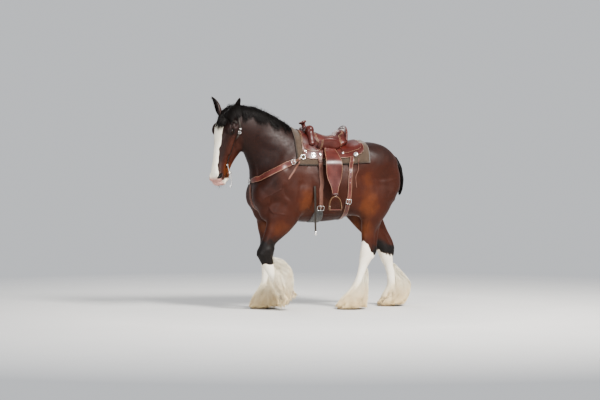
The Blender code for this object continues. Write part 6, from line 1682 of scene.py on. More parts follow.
def wood_look():
    g = Graph("stirrup_wood")
    grain = g.noise(30.0, 5, 0.6, stretch=(6.0, 6.0, 0.6))
    color = g.mix(g.spread(grain, 0.3, 0.7), (0.090, 0.045, 0.020), (0.185, 0.098, 0.045))
    color = g.mix(g.spread(g.noise(14.0, 4), 0.5, 0.72, 0.0, 0.6), color, (0.045, 0.025, 0.015))
    return g.finish(color, g.spread(grain, 0.3, 0.7, 0.35, 0.5), g.bump(grain, 0.2, 0.001), Coat_Weight=0.3)


RED_LEATHER = leather_look("saddle_leather", (0.050, 0.0090, 0.0070), (0.105, 0.0195, 0.0130), 0.38,
                           coat=0.12)
STRAP_LEATHER = leather_look("strap_leather", (0.068, 0.0165, 0.0130), (0.145, 0.041, 0.030), 0.36)
LATIGO_LEATHER = leather_look("latigo_leather", (0.105, 0.040, 0.027), (0.210, 0.098, 0.066), 0.48,
                              stitched=False, coat=0.1)
BLACK_LEATHER = leather_look("bridle_leather", (0.0085, 0.0065, 0.0055), (0.030, 0.020, 0.015), 0.33,
                             (0.10, 0.08, 0.06))
STEEL_LOOK = metal_look("bright_steel", (0.80, 0.80, 0.79), 0.16, (0.40, 0.38, 0.35))
SILVER_LOOK = metal_look("silver", (0.92, 0.90, 0.86), 0.12, (0.50, 0.46, 0.40))
FELT_LOOK = felt_look()
CORD_LOOK = webbing_look()
WOOD_LOOK = wood_look()


def closed_grid(name, outer, inner, look, coordinates=None, replaced=()):
    """A shell between two grids of points, closed round its edge."""
    rows, columns = outer.shape[:2]
    points = np.concatenate([outer.reshape(-1, 3), inner.reshape(-1, 3)])
    faces = grid_faces(rows, columns)
    faces += [tuple(rows * columns + i for i in reversed(f)) for f in faces]
    rim = list(range(columns)) + [i * columns + columns - 1 for i in range(1, rows)]
    rim += [(rows - 1) * columns + j for j in range(columns - 2, -1, -1)]
    rim += [i * columns for i in range(rows - 2, 0, -1)]
    for a, b in zip(rim, rim[1:] + rim[:1]):
        faces.append((b, a, a + rows * columns, b + rows * columns))
    obj = turned(new_mesh(name, points, faces, look))
    obj.data.set_sharp_from_angle(angle=math.radians(48))
    if coordinates is not None:
        flat = coordinates.reshape(-1, 3)
        store(obj.data, "strap", np.concatenate([flat, flat]))
    if replaced:
        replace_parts(obj, *replaced)
    return obj


def blurred(values, reach, axis=0):
    """The mean of the values up to reach places to each side along an axis."""
    width = [(0, 0)] * values.ndim
    width[axis] = (reach, reach)
    padded = np.pad(values, width, "edge")
    return sum(np.roll(padded, k, axis) for k in range(-reach, reach + 1)).take(
        range(reach, reach + values.shape[axis]), axis) / (2 * reach + 1)


def rolled(edge, radius, least):
    """The share of a sheet's thickness at a distance from its rounded edge."""
    return np.sqrt(np.clip(1 - (1 - edge / radius).clip(0, 1) ** 2, least, 1))


def ribbon(name, path, width, look, over, replaced=(), thickness=0.005, lift=0.0028, gap=0.014, columns=9,
           taper=((0, 1), (1, 1)), ends=0.0):
    """A strap with rounded edges that lies on a surface along a path. Returns its line, normals and run."""
    line = spline(path, gap)
    found = [over.find_nearest(Vector(p))[:2] for p in line]
    spots, normals = np.array([f[0] for f in found]), np.array([f[1] for f in found])
    spots, normals = blurred(spots, 1), units(blurred(normals, 3))
    run = units(np.gradient(spots, axis=0))
    normals = units(normals - run * (normals * run).sum(-1, keepdims=True))
    side = np.cross(normals, run)
    along = np.concatenate([[0], np.cumsum(np.linalg.norm(np.diff(spots, axis=0), axis=1))])
    half = np.interp(along / along[-1], *zip(*taper)) * width / 2
    if ends:
        half = half * rolled(along[-1] - along, ends, 0.03)
    across = np.linspace(-1, 1, columns)
    foot = spots[:, None] + side[:, None] * (half[:, None] * across)[..., None]
    need = np.zeros(foot.shape[:2])
    for i in range(len(line)):
        for j in range(columns):
            spot, normal = over.find_nearest(Vector(foot[i, j]))[:2]
            need[i, j] = lift - (Vector(foot[i, j]) - spot).dot(normal)
    need = np.maximum(need, blurred(blurred(need, 2), 1, 1) * 0.9)
    need = np.clip(np.maximum(need, need.max(1, keepdims=True) * 0.35), -0.004, 0.03)
    inner = foot + normals[:, None] * need[..., None]
    dome = np.clip(1 - ((np.abs(across) - 0.86) / 0.14).clip(0, 1) ** 2 * 0.45, 0, 1)
    outer = inner + normals[:, None] * (thickness * dome)[None, :, None]
    outer -= side[:, None] * (half[:, None] * across * 0.02)[..., None]
    edge = half[:, None] * (1 - np.abs(across))
    if ends:
        edge = np.minimum(edge, (along[-1] - along)[:, None] * 0.8)
    coordinates = np.stack([along[:, None] + 0 * edge, edge, half[:, None] * across], -1)
    closed_grid(name, outer, inner, look, coordinates, replaced)
    return outer[:, columns // 2], normals, run


def tube(name, line, radius, look, sections, closed=False, flat=1.0, up=None, replaced=()):
    """A round bar along a line, with rounded ends."""
    line = np.asarray(line, float)
    count = len(line)
    radius = np.broadcast_to(np.asarray(radius, float), (count,)).copy()
    run = units(np.roll(line, -1, 0) - np.roll(line, 1, 0)) if closed else units(np.gradient(line, axis=0))
    up = np.array(up if up is not None else (0.31, 0.52, 0.79), float)
    side = units(np.cross(run, np.broadcast_to(up, run.shape)))
    other = np.cross(side, run)
    if not closed:
        line = np.vstack([line[0] - run[0] * radius[0] * 0.5, line, line[-1] + run[-1] * radius[-1] * 0.5])
        radius = np.concatenate([[radius[0] * 0.6], radius, [radius[-1] * 0.6]])
        side, other = np.vstack([side[:1], side, side[-1:]]), np.vstack([other[:1], other, other[-1:]])
    turn = 2 * math.pi * np.arange(sections) / sections
    points = line[:, None] + radius[:, None, None] * (side[:, None] * np.cos(turn)[None, :, None] * flat
                                                      + other[:, None] * np.sin(turn)[None, :, None])
    obj = turned(new_mesh(name, points.reshape(-1, 3), tube_faces(len(line), sections, closed), look))
    if replaced:
        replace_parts(obj, *replaced)
    return obj


def loop_line(centre, normal, along, wide, high, power=2.0, count=40):
    """A rounded loop of points in the plane across a normal: an ellipse, or squarer with a higher power."""
    normal, along = unit(normal), np.array(along, float)
    along = unit(along - normal * (along @ normal))
    side = np.cross(normal, along)
    a = 2 * math.pi * np.arange(count) / count
    c, s = np.cos(a), np.sin(a)
    c, s = np.sign(c) * np.abs(c) ** (2 / power), np.sign(s) * np.abs(s) ** (2 / power)
    return np.array(centre) + side * (wide / 2 * c)[:, None] + along * (high / 2 * s)[:, None]


def turned_piece(name, foot, axis, profile, look, count, scallop=0.0, replaced=()):
    """A turned piece. Profile rows are (distance along the axis, radius)."""
    axis = Vector(axis).normalized()
    side = axis.orthogonal().normalized()
    other = axis.cross(side)
    points = []
    for along, radius in profile:
        for k in range(count):
            a = 2 * math.pi * k / count
            r = radius * (1 + scallop * abs(math.sin(6 * a)) * (radius > 0.8 * max(p[1] for p in profile)))
            points.append(Vector(foot) + axis * along + (side * math.cos(a) + other * math.sin(a)) * r)
    obj = turned(new_mesh(name, points, tube_faces(len(profile), count), look))
    obj.data.set_sharp_from_angle(angle=math.radians(40))
    if replaced:
        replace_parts(obj, *replaced)
    return obj


def concho(name, foot, axis, radius, replaced=()):
    """A round silver boss with a raised middle."""
    shape = [(0.0, 0.98), (0.0016, 1.0), (0.0026, 0.97), (0.0030, 0.84), (0.0024, 0.78), (0.0038, 0.70),
             (0.0060, 0.45), (0.0070, 0.20), (0.0072, 0.02)]
    turned_piece(name, foot, axis, [(a, r * radius) for a, r in shape], SILVER_LOOK, 48, 0.06, replaced)


def buckle(name, band, k, wide, high):
    """A squarish buckle with its tongue, at one row of a ribbon's line."""
    centre, normal, run = (rows[k] for rows in band)
    ring = loop_line(centre + normal * 0.003, normal, run, wide, high, 5.0)
    tube(name, ring, 0.0024, STEEL_LOOK, 8, True, up=normal)
    tongue = [centre + normal * h + run * high * t
              for t, h in ((-0.45, 0.004), (-0.1, 0.0058), (0.25, 0.0062), (0.53, 0.0055))]
    tube(name + "_tongue", tongue, 0.0018, STEEL_LOOK, 8, up=normal)


# The saddle pad: thick felt over the back. Radii are measured from a line inside the trunk.
PAD_HALF, PAD_REACH, BACK_Z = 0.385, math.radians(70), 1.40
PAD_XS, PAD_ANGLES = np.linspace(-PAD_HALF, PAD_HALF, 56), PAD_REACH * np.linspace(-1, 1, 71)


def spokes(angles):
    return np.stack([0 * angles, np.sin(angles), np.cos(angles)], -1)


def round_back(x, angle, radius):
    return np.stack([x, 0 * x, BACK_Z + 0 * x], -1) + spokes(angle) * radius[..., None]


x, angle = np.meshgrid(PAD_XS, PAD_ANGLES, indexing="ij")
starts = round_back(x, angle, 0.9 + 0 * x)
hits = shot(starts.reshape(-1, 3), -spokes(angle).reshape(-1, 3))[0].reshape(starts.shape)
pad_inner = np.linalg.norm(hits - round_back(x, angle, 0 * x), axis=-1)
pad_inner = np.maximum(blurred(blurred(pad_inner, 3), 3, 1), pad_inner) + 0.005
border = np.minimum(PAD_HALF - np.abs(x), (PAD_REACH - np.abs(angle)) * pad_inner)
lumps = 0.0009 * np.sin(x * 47 + 3 * angle) * np.cos(angle * 19)
pad_outer = pad_inner + 0.021 * rolled(border, 0.013, 0.06) + lumps
pad = closed_grid("felt_pad", round_back(x, angle, pad_outer), round_back(x, angle, pad_inner), FELT_LOOK,
                  replaced=("saddle_pad",))


def pad_top(x, angle):
    """The pad's outer radius at places along the back and angles round it."""
    i = np.clip((x - PAD_XS[0]) / (PAD_XS[1] - PAD_XS[0]), 0, len(PAD_XS) - 1.001)
    j = np.clip((angle - PAD_ANGLES[0]) / (PAD_ANGLES[1] - PAD_ANGLES[0]), 0, len(PAD_ANGLES) - 1.001)
    a, b = i.astype(int), j.astype(int)
    s, t = i - a, j - b
    return ((pad_outer[a, b] * (1 - s) + pad_outer[a + 1, b] * s) * (1 - t)
            + (pad_outer[a, b + 1] * (1 - s) + pad_outer[a + 1, b + 1] * s) * t)


def sheet_over_pad(name, x_low, x_high, reach, above, thick, replaced=(), power=5.0):
    """A sheet of leather over the pad, with rounded corners."""
    p = np.sin(np.linspace(-1, 1, 48) * math.pi / 2)[:, None] * 0.992
    q = np.sin(np.linspace(-1, 1, 57) * math.pi / 2)[None]
    most = math.radians(reach) * (1 - np.abs(p) ** power) ** (1 / power)
    x = (x_low + x_high) / 2 + (x_high - x_low) / 2 * p + 0 * q
    angle = most * q
    radius = pad_top(x, angle) + above
    edge = np.minimum(np.minimum(x - x_low, x_high - x), (most - np.abs(angle)) * radius)
    outer = round_back(x, angle, radius + thick * rolled(edge, 0.003, 0.1))
    coordinates = np.stack([x + angle * radius, np.maximum(edge, 0), angle], -1)
    return closed_grid(name, outer, round_back(x, angle, radius), RED_LEATHER, coordinates, replaced)


skirts = sheet_over_pad("skirt_leather", -0.322, 0.332, 59, 0.0008, 0.0062, ("saddle_skirts",), 9.0)
sheet_over_pad("jockey_rear", 0.10, 0.318, 50, 0.0072, 0.0045)
sheet_over_pad("jockey_front", -0.312, -0.10, 44, 0.0072, 0.0045)

# The seat: fork, seat and cantle, with a bound rim.
ACROSS = Frame((0, 0, 0), ((0, 1, 0), (1, 0, 0), (0, 0, 1)))
CANTLE = [(-0.215, 1.76, -0.175, 1.75, 0.165, 0.018), (-0.165, 1.865, -0.135, 1.82, 0.185, 0.017),
          (0.0, 1.915, 0.0, 1.85, 0.200, 0.017), (0.165, 1.865, 0.135, 1.82, 0.185, 0.017),
          (0.215, 1.76, 0.175, 1.75, 0.165, 0.018)]
SEAT = [
    Mass([(-0.20, 1.880, -0.20, 1.72, 0, 0.14, -0.2), (-0.10, 1.845, -0.10, 1.69, 0, 0.17, -0.3),
          (0.00, 1.815, 0.00, 1.67, 0, 0.20, -0.35), (0.10, 1.83, 0.10, 1.67, 0, 0.205, -0.3),
          (0.17, 1.85, 0.17, 1.70, 0, 0.19, -0.2)], 0.02, 0.03, power=2.6),
    Blob((0.15, 0, 1.825), (0.06, 0.15, 0.055), 0.03),
    *(Blob((-0.03, 0.235 * s, 1.71), (0.125, 0.022, 0.085), 0.03, roll=-28 * s) for s in (1, -1)),
    Mass([(-0.235, 1.735, -0.195, 1.735, -0.205, 0.035), (-0.15, 1.87, -0.13, 1.80, -0.205, 0.038),
          (0.0, 1.912, 0.0, 1.82, -0.205, 0.040), (0.15, 1.87, 0.13, 1.80, -0.205, 0.038),
          (0.235, 1.735, 0.195, 1.735, -0.205, 0.035)], 0.02, 0.03, frame=ACROSS),
    *(Blob((-0.205, 0.115 * s, 1.878), (0.045, 0.055, 0.042), 0.03) for s in (1, -1)),
    Mass(CANTLE, 0.02, 0.02, frame=ACROSS),
]
seat_grid = Grid((-0.34, -0.30, 1.62), (0.30, 0.30, 1.98), 0.006)
for mass in SEAT:
    seat_grid.add(mass)
points, quads = surface_net(seat_grid.field, seat_grid.low, seat_grid.step)
points = settled(points, seat_grid)
seat = new_mesh("seat_leather", points, quads, RED_LEATHER)
# Seams, as the distance from each: behind the fork, before the cantle and round the place to sit.
x, y, z = points.T
fork_seam = np.abs(x + 0.148 - 0.25 * (np.abs(y) - 0.1).clip(0))
cantle_seam = np.abs(x - 0.155 + 0.9 * (1.86 - z).clip(-0.05, 0.05))
sitting_seam = 0.11 * np.abs(np.hypot((x - 0.01) / 0.115, y / 0.105) - 1) + (z < 1.79)
store(seat.data, "strap", np.stack([y + x, np.minimum.reduce([fork_seam, cantle_seam, sitting_seam]), x], 1))
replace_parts(seat, "saddle_seat")


def without_seams(obj):
    store(obj.data, "strap", np.tile((0.0, 0.02, 0.0), (len(obj.data.vertices), 1)))


rim = spline([(row[4], row[0], row[1]) for row in CANTLE], 0.012) + (0, 0, 0.002)
without_seams(tube("cantle_binding", rim, 0.0085, RED_LEATHER, 12, up=(1, 0, 0)))
HORN_PROFILE = [(-0.012, 0.030), (0.000, 0.0255), (0.012, 0.0225), (0.030, 0.0200), (0.046, 0.0210),
                (0.052, 0.0245), (0.056, 0.0330), (0.0595, 0.0392), (0.064, 0.0408), (0.070, 0.0410),
                (0.0745, 0.0396), (0.0780, 0.0340), (0.0800, 0.0240), (0.0806, 0.0040)]
without_seams(turned_piece("horn_leather", (-0.225, 0, 1.89), (-0.35, 0, 1), HORN_PROFILE, RED_LEATHER, 40,
                           replaced=("saddle_horn",)))
SADDLE_TREE = tree_of(skin, pad, skirts)
HOLE_PROFILE = [(0, 0.0036), (0.0009, 0.0034), (0.0010, 0.0022), (0.0002, 0.0018)]


def head_points(rows):
    return [HEAD.out(p) for p in rows]


def mirrored(sign, rows):
    """Places given for the side where sign is 1."""
    return [(x, sign * y, z) for x, y, z in rows]


def nearest(place, over):
    spot, normal = over.find_nearest(Vector(place))[:2]
    return np.array(spot), np.array(normal)


def girth_path(x, reach):
    """Points round the belly, up to an angle on each side."""
    lean = np.radians(np.linspace(-reach, reach, 17))
    ways = np.stack([0 * lean, np.sin(lean), -np.cos(lean)], -1)
    return shot(np.array((x, 0, 1.25)) + 0.9 * ways, -ways)[0]


def latigo_and_billet(sign, hand):
    """The front latigo with its keepers and buckle, and the billet behind with its holes."""
    path = mirrored(sign, [(-0.14, 0.33, 1.62), (-0.14, 0.36, 1.45), (-0.14, 0.38, 1.20),
                           (-0.14, 0.34, 1.005)])
    band = ribbon("latigo_band_" + hand, path, 0.050, LATIGO_LEATHER, SADDLE_TREE, ("latigo_" + hand,),
                  taper=[(0, 1.0), (0.5, 0.86), (1, 0.80)])
    for k in (4, 5):
        middle, normal, run = (rows[k] for rows in band)
        loop = [middle + np.cross(normal, run) * a + normal * (0.003 if abs(a) < 0.02 else 0.0015)
                for a in np.linspace(-0.027, 0.027, 9)]
        tube(f"latigo_loop_{hand}_{k}", loop, 0.0028, STRAP_LEATHER, 8)
    buckle("cinch_buckle_" + hand, band, -2, 0.070, 0.055)
    path = mirrored(sign, [(0.19, 0.34, 1.60), (0.17, 0.38, 1.40), (0.16, 0.38, 1.20), (0.15, 0.35, 1.095)])
    band = ribbon("billet_band_" + hand, path, 0.045, STRAP_LEATHER, SADDLE_TREE, ("rear_billet_" + hand,))
    buckle("billet_buckle_" + hand, band, -3, 0.056, 0.048)
    for k in (12, 16, 20):
        middle, normal, run = (rows[k] for rows in band)
        turned_piece(f"billet_hole_{hand}_{k}", middle - normal * 0.0004, normal, HOLE_PROFILE, STEEL_LOOK,
                     16)


def breast_collar(sign, hand):
    path = mirrored(sign, [(-0.865, 0.035, 1.335), (-0.82, 0.13, 1.36), (-0.74, 0.22, 1.40),
                           (-0.60, 0.29, 1.47), (-0.47, 0.30, 1.525), (-0.395, 0.30, 1.555)])
    band = ribbon("collar_band_" + hand, path, 0.068, STRAP_LEATHER, SKIN_TREE, ("breast_collar_" + hand,),
                  thickness=0.0055, columns=11,
                  taper=[(0, 0.50), (0.12, 0.90), (0.3, 1.0), (0.86, 0.95), (1, 0.58)])
    buckle("collar_buckle_" + hand, band, -4, 0.050, 0.040)
    centre = nearest((-0.315, 0.31 * sign, 1.595), SADDLE_TREE)[0] + (0, 0.010 * sign, 0.004)
    facing = (0, sign, 0.45)
    tube("rig_ring_" + hand, loop_line(centre, facing, (0, 0, 1), 0.048, 0.048), 0.0040, STEEL_LOOK, 12, True,
         up=facing, replaced=("collar_ring_" + hand,))
    path = [*mirrored(sign, [(-0.405, 0.30, 1.552), (-0.36, 0.305, 1.575)]), centre - (0.012, 0, 0.004)]
    ribbon("collar_tab_" + hand, path, 0.026, STRAP_LEATHER, SADDLE_TREE, gap=0.008, ends=0.012)
    if sign < 0:
        path = [(-0.355, -0.34, 1.555), (-0.42, -0.37, 1.46), (-0.49, -0.37, 1.36)]
        ribbon("collar_tie_strap", path, 0.020, LATIGO_LEATHER, SADDLE_TREE, thickness=0.0030, gap=0.012,
               columns=7, taper=[(0, 0.8), (0.2, 1.0), (0.9, 1.0), (1, 0.6)])


def conchos_and_strings(sign, hand):
    """The large conchos, the small ones with tied strings below, and a long string behind the rear billet."""
    for place, radius, end in (((-0.20, 0.32, 1.64), 0.026, "skirt"), ((0.235, 0.33, 1.62), 0.024, "rear")):
        spot, normal = nearest(mirrored(sign, [place])[0], SADDLE_TREE)
        concho(f"{end}_concho_{hand}", spot + normal * 0.0022, normal, radius, (f"{end}_stud_{hand}",))
    places = [(-0.275, 0.31, 1.665), (-0.135, 0.33, 1.66), (0.10, 0.33, 1.69), (0.30, 0.29, 1.66)]
    for n, place in enumerate(mirrored(sign, places)):
        spot, normal = nearest(place, SADDLE_TREE)
        concho(f"string_concho_{hand}_{n}", spot + normal * 0.0042, normal, 0.013)
        for m, lean in enumerate((-0.02, 0.014)):
            low = nearest(spot + (lean, 0.01 * sign, -0.085 - 0.02 * m), SADDLE_TREE)[0]
            ribbon(f"string_{hand}_{n}_{m}", [spot, (spot + low) / 2 + (lean * 0.4, 0, 0), low], 0.0075,
                   LATIGO_LEATHER, SADDLE_TREE, thickness=0.0022, gap=0.008, columns=5, lift=0.0026)
    path = mirrored(sign, [(0.255, 0.36, 1.585), (0.250, 0.40, 1.42), (0.246, 0.40, 1.27)])
    ribbon("long_string_" + hand, path, 0.010, LATIGO_LEATHER, SADDLE_TREE, thickness=0.0026, gap=0.012,
           columns=5, lift=0.0030)


STIRRUP_X, STIRRUP_Y, STIRRUP_Z = -0.02, 0.43, 1.04
FENDER_TOP, FENDER_END = 1.70, 1.192
# The fender's half width at heights from its end to its top.
FENDER_WIDTHS = [(FENDER_END, 0.030), (1.28, 0.045), (1.36, 0.075), (1.44, 0.088), (1.53, 0.088),
                 (1.62, 0.075), (FENDER_TOP, 0.055)]


def fender(sign, hand):
    """A broad panel that bends out over the skirt and hangs to the stirrup."""
    z = np.linspace(FENDER_TOP, FENDER_END, 44)
    half = blurred(np.interp(z, *spline(FENDER_WIDTHS, 0.004).T), 1)
    q = np.linspace(-1, 1, 17)
    x = STIRRUP_X + half[:, None] * q
    full = np.stack([x, np.full_like(x, sign), z[:, None] + 0 * x], -1)
    reach = np.abs(shot(full.reshape(-1, 3), np.tile((0, -sign, 0), (x.size, 1)))[0][:, 1]).reshape(x.shape)
    out = np.maximum(reach + 0.062, np.interp(z, [1.19, 1.60, 1.70], [0.43, 0.385, 0.0])[:, None])
    out = blurred(blurred(blurred(out, 4), 4), 3, 1) + 0.004 * np.sin(z * 26)[:, None] * q ** 2
    edge = np.minimum(half[:, None] * (1 - np.abs(q)), (z - FENDER_END)[:, None])
    outer, inner = full.copy(), full.copy()
    outer[..., 1], inner[..., 1] = sign * (out + 0.0048 * rolled(edge, 0.004, 0.15)), sign * (out - 0.003)
    closed_grid("fender_panel_" + hand, outer, inner, RED_LEATHER, np.stack([z[:, None] + x, edge, x], -1),
                ("fender_" + hand,))


def stirrup(sign, hand):
    """A wooden bow with a leather tread, hung by a keeper."""
    half = [(-0.065, 0.0), (-0.070, 0.03), (-0.064, 0.085), (-0.040, 0.130), (0.0, 0.148)]
    bow = half + [(-a, b) for a, b in reversed(half[:-1])]
    foot = [((1 - 2 * t) * 0.065, 0.0) for t in np.linspace(0.1, 0.9, 12)]
    arc = np.vstack([spline(bow, 0.008), foot])
    tangent = units(np.roll(arc, -1, 0) - np.roll(arc, 1, 0))
    inward = np.stack([-tangent[:, 1], tangent[:, 0]], 1)
    inward *= np.sign(((np.array((0, 0.06)) - arc) * inward).sum(1))[:, None]
    depth = 0.018 + 0.012 * ramp(0.06 - arc[:, 1], 0, 0.05)
    section = loop_line((0, 0, 0), (0, 0, 1), (0, 1, 0), 2, 2, 2 / 0.6, 16)
    flat = arc[:, None] + inward[:, None] * (0.006 - 0.0055 * section[:, 0])[None, :, None]
    points = np.stack([STIRRUP_X + flat[..., 0], sign * (STIRRUP_Y + depth[:, None] * section[:, 1]),
                       STIRRUP_Z + np.maximum(flat[..., 1], 0.0)], -1)
    obj = new_mesh("stirrup_bow_" + hand, points.reshape(-1, 3), tube_faces(len(arc), 16, True), WOOD_LOOK)
    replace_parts(turned(obj), "stirrup_" + hand)
    a, b = np.meshgrid(np.linspace(-0.052, 0.052, 15), np.linspace(-0.031, 0.031, 9), indexing="ij")
    top = np.stack([STIRRUP_X + a, sign * (STIRRUP_Y + b), 1.0535 - 2 * b * b], -1)
    under = np.stack([STIRRUP_X + a, sign * (STIRRUP_Y + b * 1.02), 1.044 + 0 * a], -1)
    closed_grid("stirrup_tread_" + hand, top, under, STRAP_LEATHER, np.stack([a, 0 * a + 0.02, b], -1))
    loop = loop_line((STIRRUP_X, 0.432 * sign, 1.205), (0, 0, 1), (1, 0, 0), 0.026, 0.066, 4.0)
    tube("stirrup_keeper_" + hand, loop, 0.0085, STRAP_LEATHER, 8, True, 0.35, (0, 0, 1))


# The bit's shank, down the face and out of it, and its radius there.
SHANK = [(0.575, -0.094, 0.0045), (0.600, -0.110, 0.0052), (0.625, -0.124, 0.0066), (0.650, -0.145, 0.0092),
         (0.672, -0.162, 0.0072), (0.700, -0.176, 0.0056), (0.740, -0.190, 0.0052), (0.770, -0.189, 0.0050),
         (0.785, -0.184, 0.0046)]


def bridle_side(sign, hand):
    """The cheekpiece, and the bit's shank with its rings and its disc."""
    rows = mirrored(-sign, [(0.075, 0.10, -0.11), (0.19, 0.14, -0.135), (0.33, 0.12, -0.135),
                            (0.47, 0.09, -0.125), (0.60, 0.075, -0.125)])
    band = ribbon("cheek_band_" + hand, head_points(rows), 0.020, BLACK_LEATHER, SKIN_TREE,
                  ("cheekpiece_" + hand,), thickness=0.004, gap=0.009, columns=7)
    buckle("cheek_buckle_" + hand, band, int(len(band[0]) * 0.30), 0.028, 0.026)
    over = tree_of(skin, bpy.data.objects["cheek_band_" + hand])
    spot, normal = nearest(HEAD.out((0.19, -0.15 * sign, -0.135)), over)
    concho("cheek_concho_" + hand, spot + normal * 0.001, normal, 0.015, ("cheek_stud_" + hand,))
    line = spline([(*HEAD.out((down, -0.088 * sign, out)), radius) for down, out, radius in SHANK], 0.006)
    tube("bit_bar_" + hand, line[:, :3], line[:, 3], STEEL_LOOK, 14, replaced=("bit_shank_" + hand,))
    sideways, down_face = HEAD.turn((0, 1, 0)), HEAD.turn((1, 0, 0))
    for m, (down, out) in enumerate(((0.575, -0.094), (0.787, -0.184))):
        ring = loop_line(HEAD.out((down, -0.088 * sign, out)), sideways, down_face, 0.020, 0.020, count=28)
        tube(f"bit_ring_{hand}_{m}", ring, 0.0022, STEEL_LOOK, 8, True, up=sideways)
    concho("bit_disc_" + hand, HEAD.out((0.648, -0.092 * sign, -0.143)), -sign * sideways, 0.019)


for sign, hand in ((-1, "left"), (1, "right")):
    for part in (latigo_and_billet, breast_collar, conchos_and_strings, fender, stirrup, bridle_side):
        part(sign, hand)

# The bridle's straps across the head: name, replaced node, half of the path, width, thickness and gap.
for name, node, half, width, thickness, gap in (
        ("crown_band", "headstall_crown", [(0.055, -0.11, -0.12), (0.01, -0.085, -0.11), (-0.02, 0.0, -0.10)],
         0.022, 0.005, 0.009),
        ("brow_band", "browband", [(0.130, -0.124, -0.116), (0.11, -0.08, -0.03), (0.10, 0.0, 0.03)],
         0.022, 0.005, 0.009),
        ("curb_band", "curb_strap", [(0.64, -0.065, -0.165), (0.655, -0.045, -0.20), (0.66, 0.0, -0.215)],
         0.016, 0.004, 0.008)):
    path = head_points(half + mirrored(-1, half[1::-1]))
    ribbon(name, path, width, BLACK_LEATHER, SKIN_TREE, (node,), thickness, gap=gap, columns=7)
ribbon("cinch_front", girth_path(-0.14, 52), 0.115, CORD_LOOK, SKIN_TREE, ("front_cinch",), thickness=0.009,
       columns=15, taper=[(0, 0.62), (0.1, 0.9), (0.2, 1), (0.8, 1), (0.9, 0.9), (1, 0.62)])
ribbon("cinch_rear", girth_path(0.15, 65), 0.050, STRAP_LEATHER, SKIN_TREE, ("rear_cinch",), thickness=0.006)
spot, normal = nearest((-0.87, 0, 1.335), SKIN_TREE)
ring = loop_line(spot + normal * 0.0135, normal, (0, 0, 1), 0.056, 0.056)
tube("chest_link", ring, 0.0040, STEEL_LOOK, 12, True, up=normal, replaced=("chest_ring",))
path = [(-0.865, 0, 1.30), (-0.84, 0, 1.15), (-0.76, 0, 1.02), (-0.62, 0, 0.95), (-0.45, 0, 0.92),
        (-0.21, 0, 0.91)]
ribbon("chest_strap", path, 0.030, STRAP_LEATHER, SKIN_TREE, ("breast_strap",), columns=7)

# The latigo's spare end: a flat strap that hangs past the belly on the left side.
SPARE_HALF = 0.011
top = shot([(-0.205, -1, 1.29)], [(0, 1, 0)])[0][0] + (0, -0.006, 0)
spare = spline(top + [(0, -0.004, 0), (0.002, -0.010, -0.10), (0.004, -0.010, -0.25), (0.006, -0.004, -0.40),
                      (0.010, -0.002, -0.50)], 0.012)
across = np.array((-1, -0.8, -0.4, 0, 0.4, 0.8, 1))
row = np.arange(len(spare))[:, None]
turn = 0.35 * row / len(spare)
across_way = np.stack([np.cos(turn), np.sin(turn), 0 * turn], -1)
middle = spare[:, None] + SPARE_HALF * across[:, None] * across_way
depth = np.array((0.0012, 0.0018, 0.002, 0.002, 0.002, 0.0018, 0.0012))[:, None] * (0, -1, 0)
edge = SPARE_HALF * (1 - np.abs(across)) + 0 * row
coordinates = np.stack([row * 0.012 + 0 * across, edge, SPARE_HALF * across + 0 * row], -1)
closed_grid("latigo_free_end", middle + depth, middle - depth, BLACK_LEATHER, coordinates,
            ("latigo_spare_end",))
tube("latigo_silver_tip", [spare[-1] + (0, 0, h) for h in (0.028, 0.012, 0.0, -0.004)],
     [0.0125, 0.0135, 0.0135, 0.009], SILVER_LOOK, 16, up=(0, 1, 0))


# Floor, light and camera.
def floor_look():
    """Pale paper that fades out away from the horse."""
    g = Graph("floor")
    color = g.mix(g.noise(1.3, 3), (0.72, 0.71, 0.69), (0.66, 0.65, 0.63))
    look = g.finish(color, 0.8, g.bump(g.noise(40.0, 3), 0.05, 0.002), Specular_IOR_Level=0.1)
    far = g.spread(g.length(g.place()), 2.6, 7.0)
    clear = g.add("ShaderNodeBsdfTransparent")
    both = g.add("ShaderNodeMixShader", 0, {0: far, 1: g.shader.outputs[0], 2: clear})
    g.put(g.tree.nodes["Material Output"].inputs[0], both)
    return look


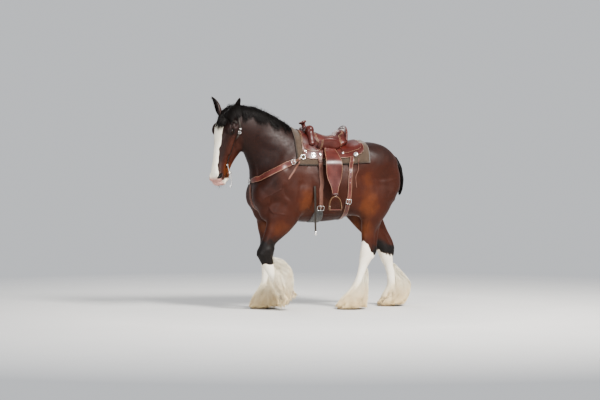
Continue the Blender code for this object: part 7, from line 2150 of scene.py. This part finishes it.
mesh = bpy.data.meshes.new("floor")
ring = [(8 * math.cos(a), 8 * math.sin(a), 0) for a in np.linspace(0, 2 * math.pi, 65)[:-1]]
mesh.from_pydata(ring, [], [range(64)])
mesh.materials.append(floor_look())
floor = linked("floor", mesh)

# The camera stands as the photograph's did: 20 m away, with its eye level at row 165.6 of 400.
PHOTO_TURN = math.radians(-16)
RIGHT = np.array((math.cos(PHOTO_TURN), math.sin(PHOTO_TURN), 0.0))
BACK = np.array((math.sin(PHOTO_TURN), -math.cos(PHOTO_TURN), 0.0))
DISTANCE, EYE_HEIGHT, PIXEL = 20.0, 1.5, 0.0105
PHOTO_WIDTH, PHOTO_HEIGHT, EYE_ROW, ASIDE = 600, 400, 165.6, -0.2625
aim = RIGHT * ASIDE + SHIFT
camera = linked("camera", bpy.data.cameras.new("camera"))
camera.location = aim + BACK * DISTANCE + (0, 0, EYE_HEIGHT)
target = Vector(aim + (0, 0, EYE_HEIGHT + (EYE_ROW - PHOTO_HEIGHT / 2) * PIXEL))
camera.rotation_euler = (target - camera.location).to_track_quat("-Z", "Y").to_euler()
camera.data.sensor_width = 36
camera.data.lens = 36 / (PHOTO_WIDTH * PIXEL / DISTANCE)
camera.data.clip_end = 200
bpy.context.scene.camera = camera


def area(name, where, size, power, color=(1, 1, 1)):
    light = bpy.data.lights.new(name, "AREA")
    light.energy, light.size, light.color = power, size, color
    light.shape = "DISK"
    obj = linked(name, light)
    obj.location = Vector(where)
    obj.rotation_euler = (Vector((0, 0, 1.1)) - obj.location).to_track_quat("-Z", "Y").to_euler()


area("key", (3.6, -8.0, 8.5), 3.2, 2300, (1.0, 0.975, 0.94))
area("fill", (-6.5, -7.5, 2.6), 5.0, 380, (0.95, 0.97, 1.0))
area("rim", (-1.0, 8.5, 6.5), 5.0, 230)
world = bpy.data.worlds.new("world")
bpy.context.scene.world = world
world.use_nodes = True
world.node_tree.nodes["Background"].inputs[0].default_value = (0.90, 0.92, 0.95, 1)
world.node_tree.nodes["Background"].inputs[1].default_value = 0.62

bpy.context.scene.view_settings.look = "AgX - Medium High Contrast"
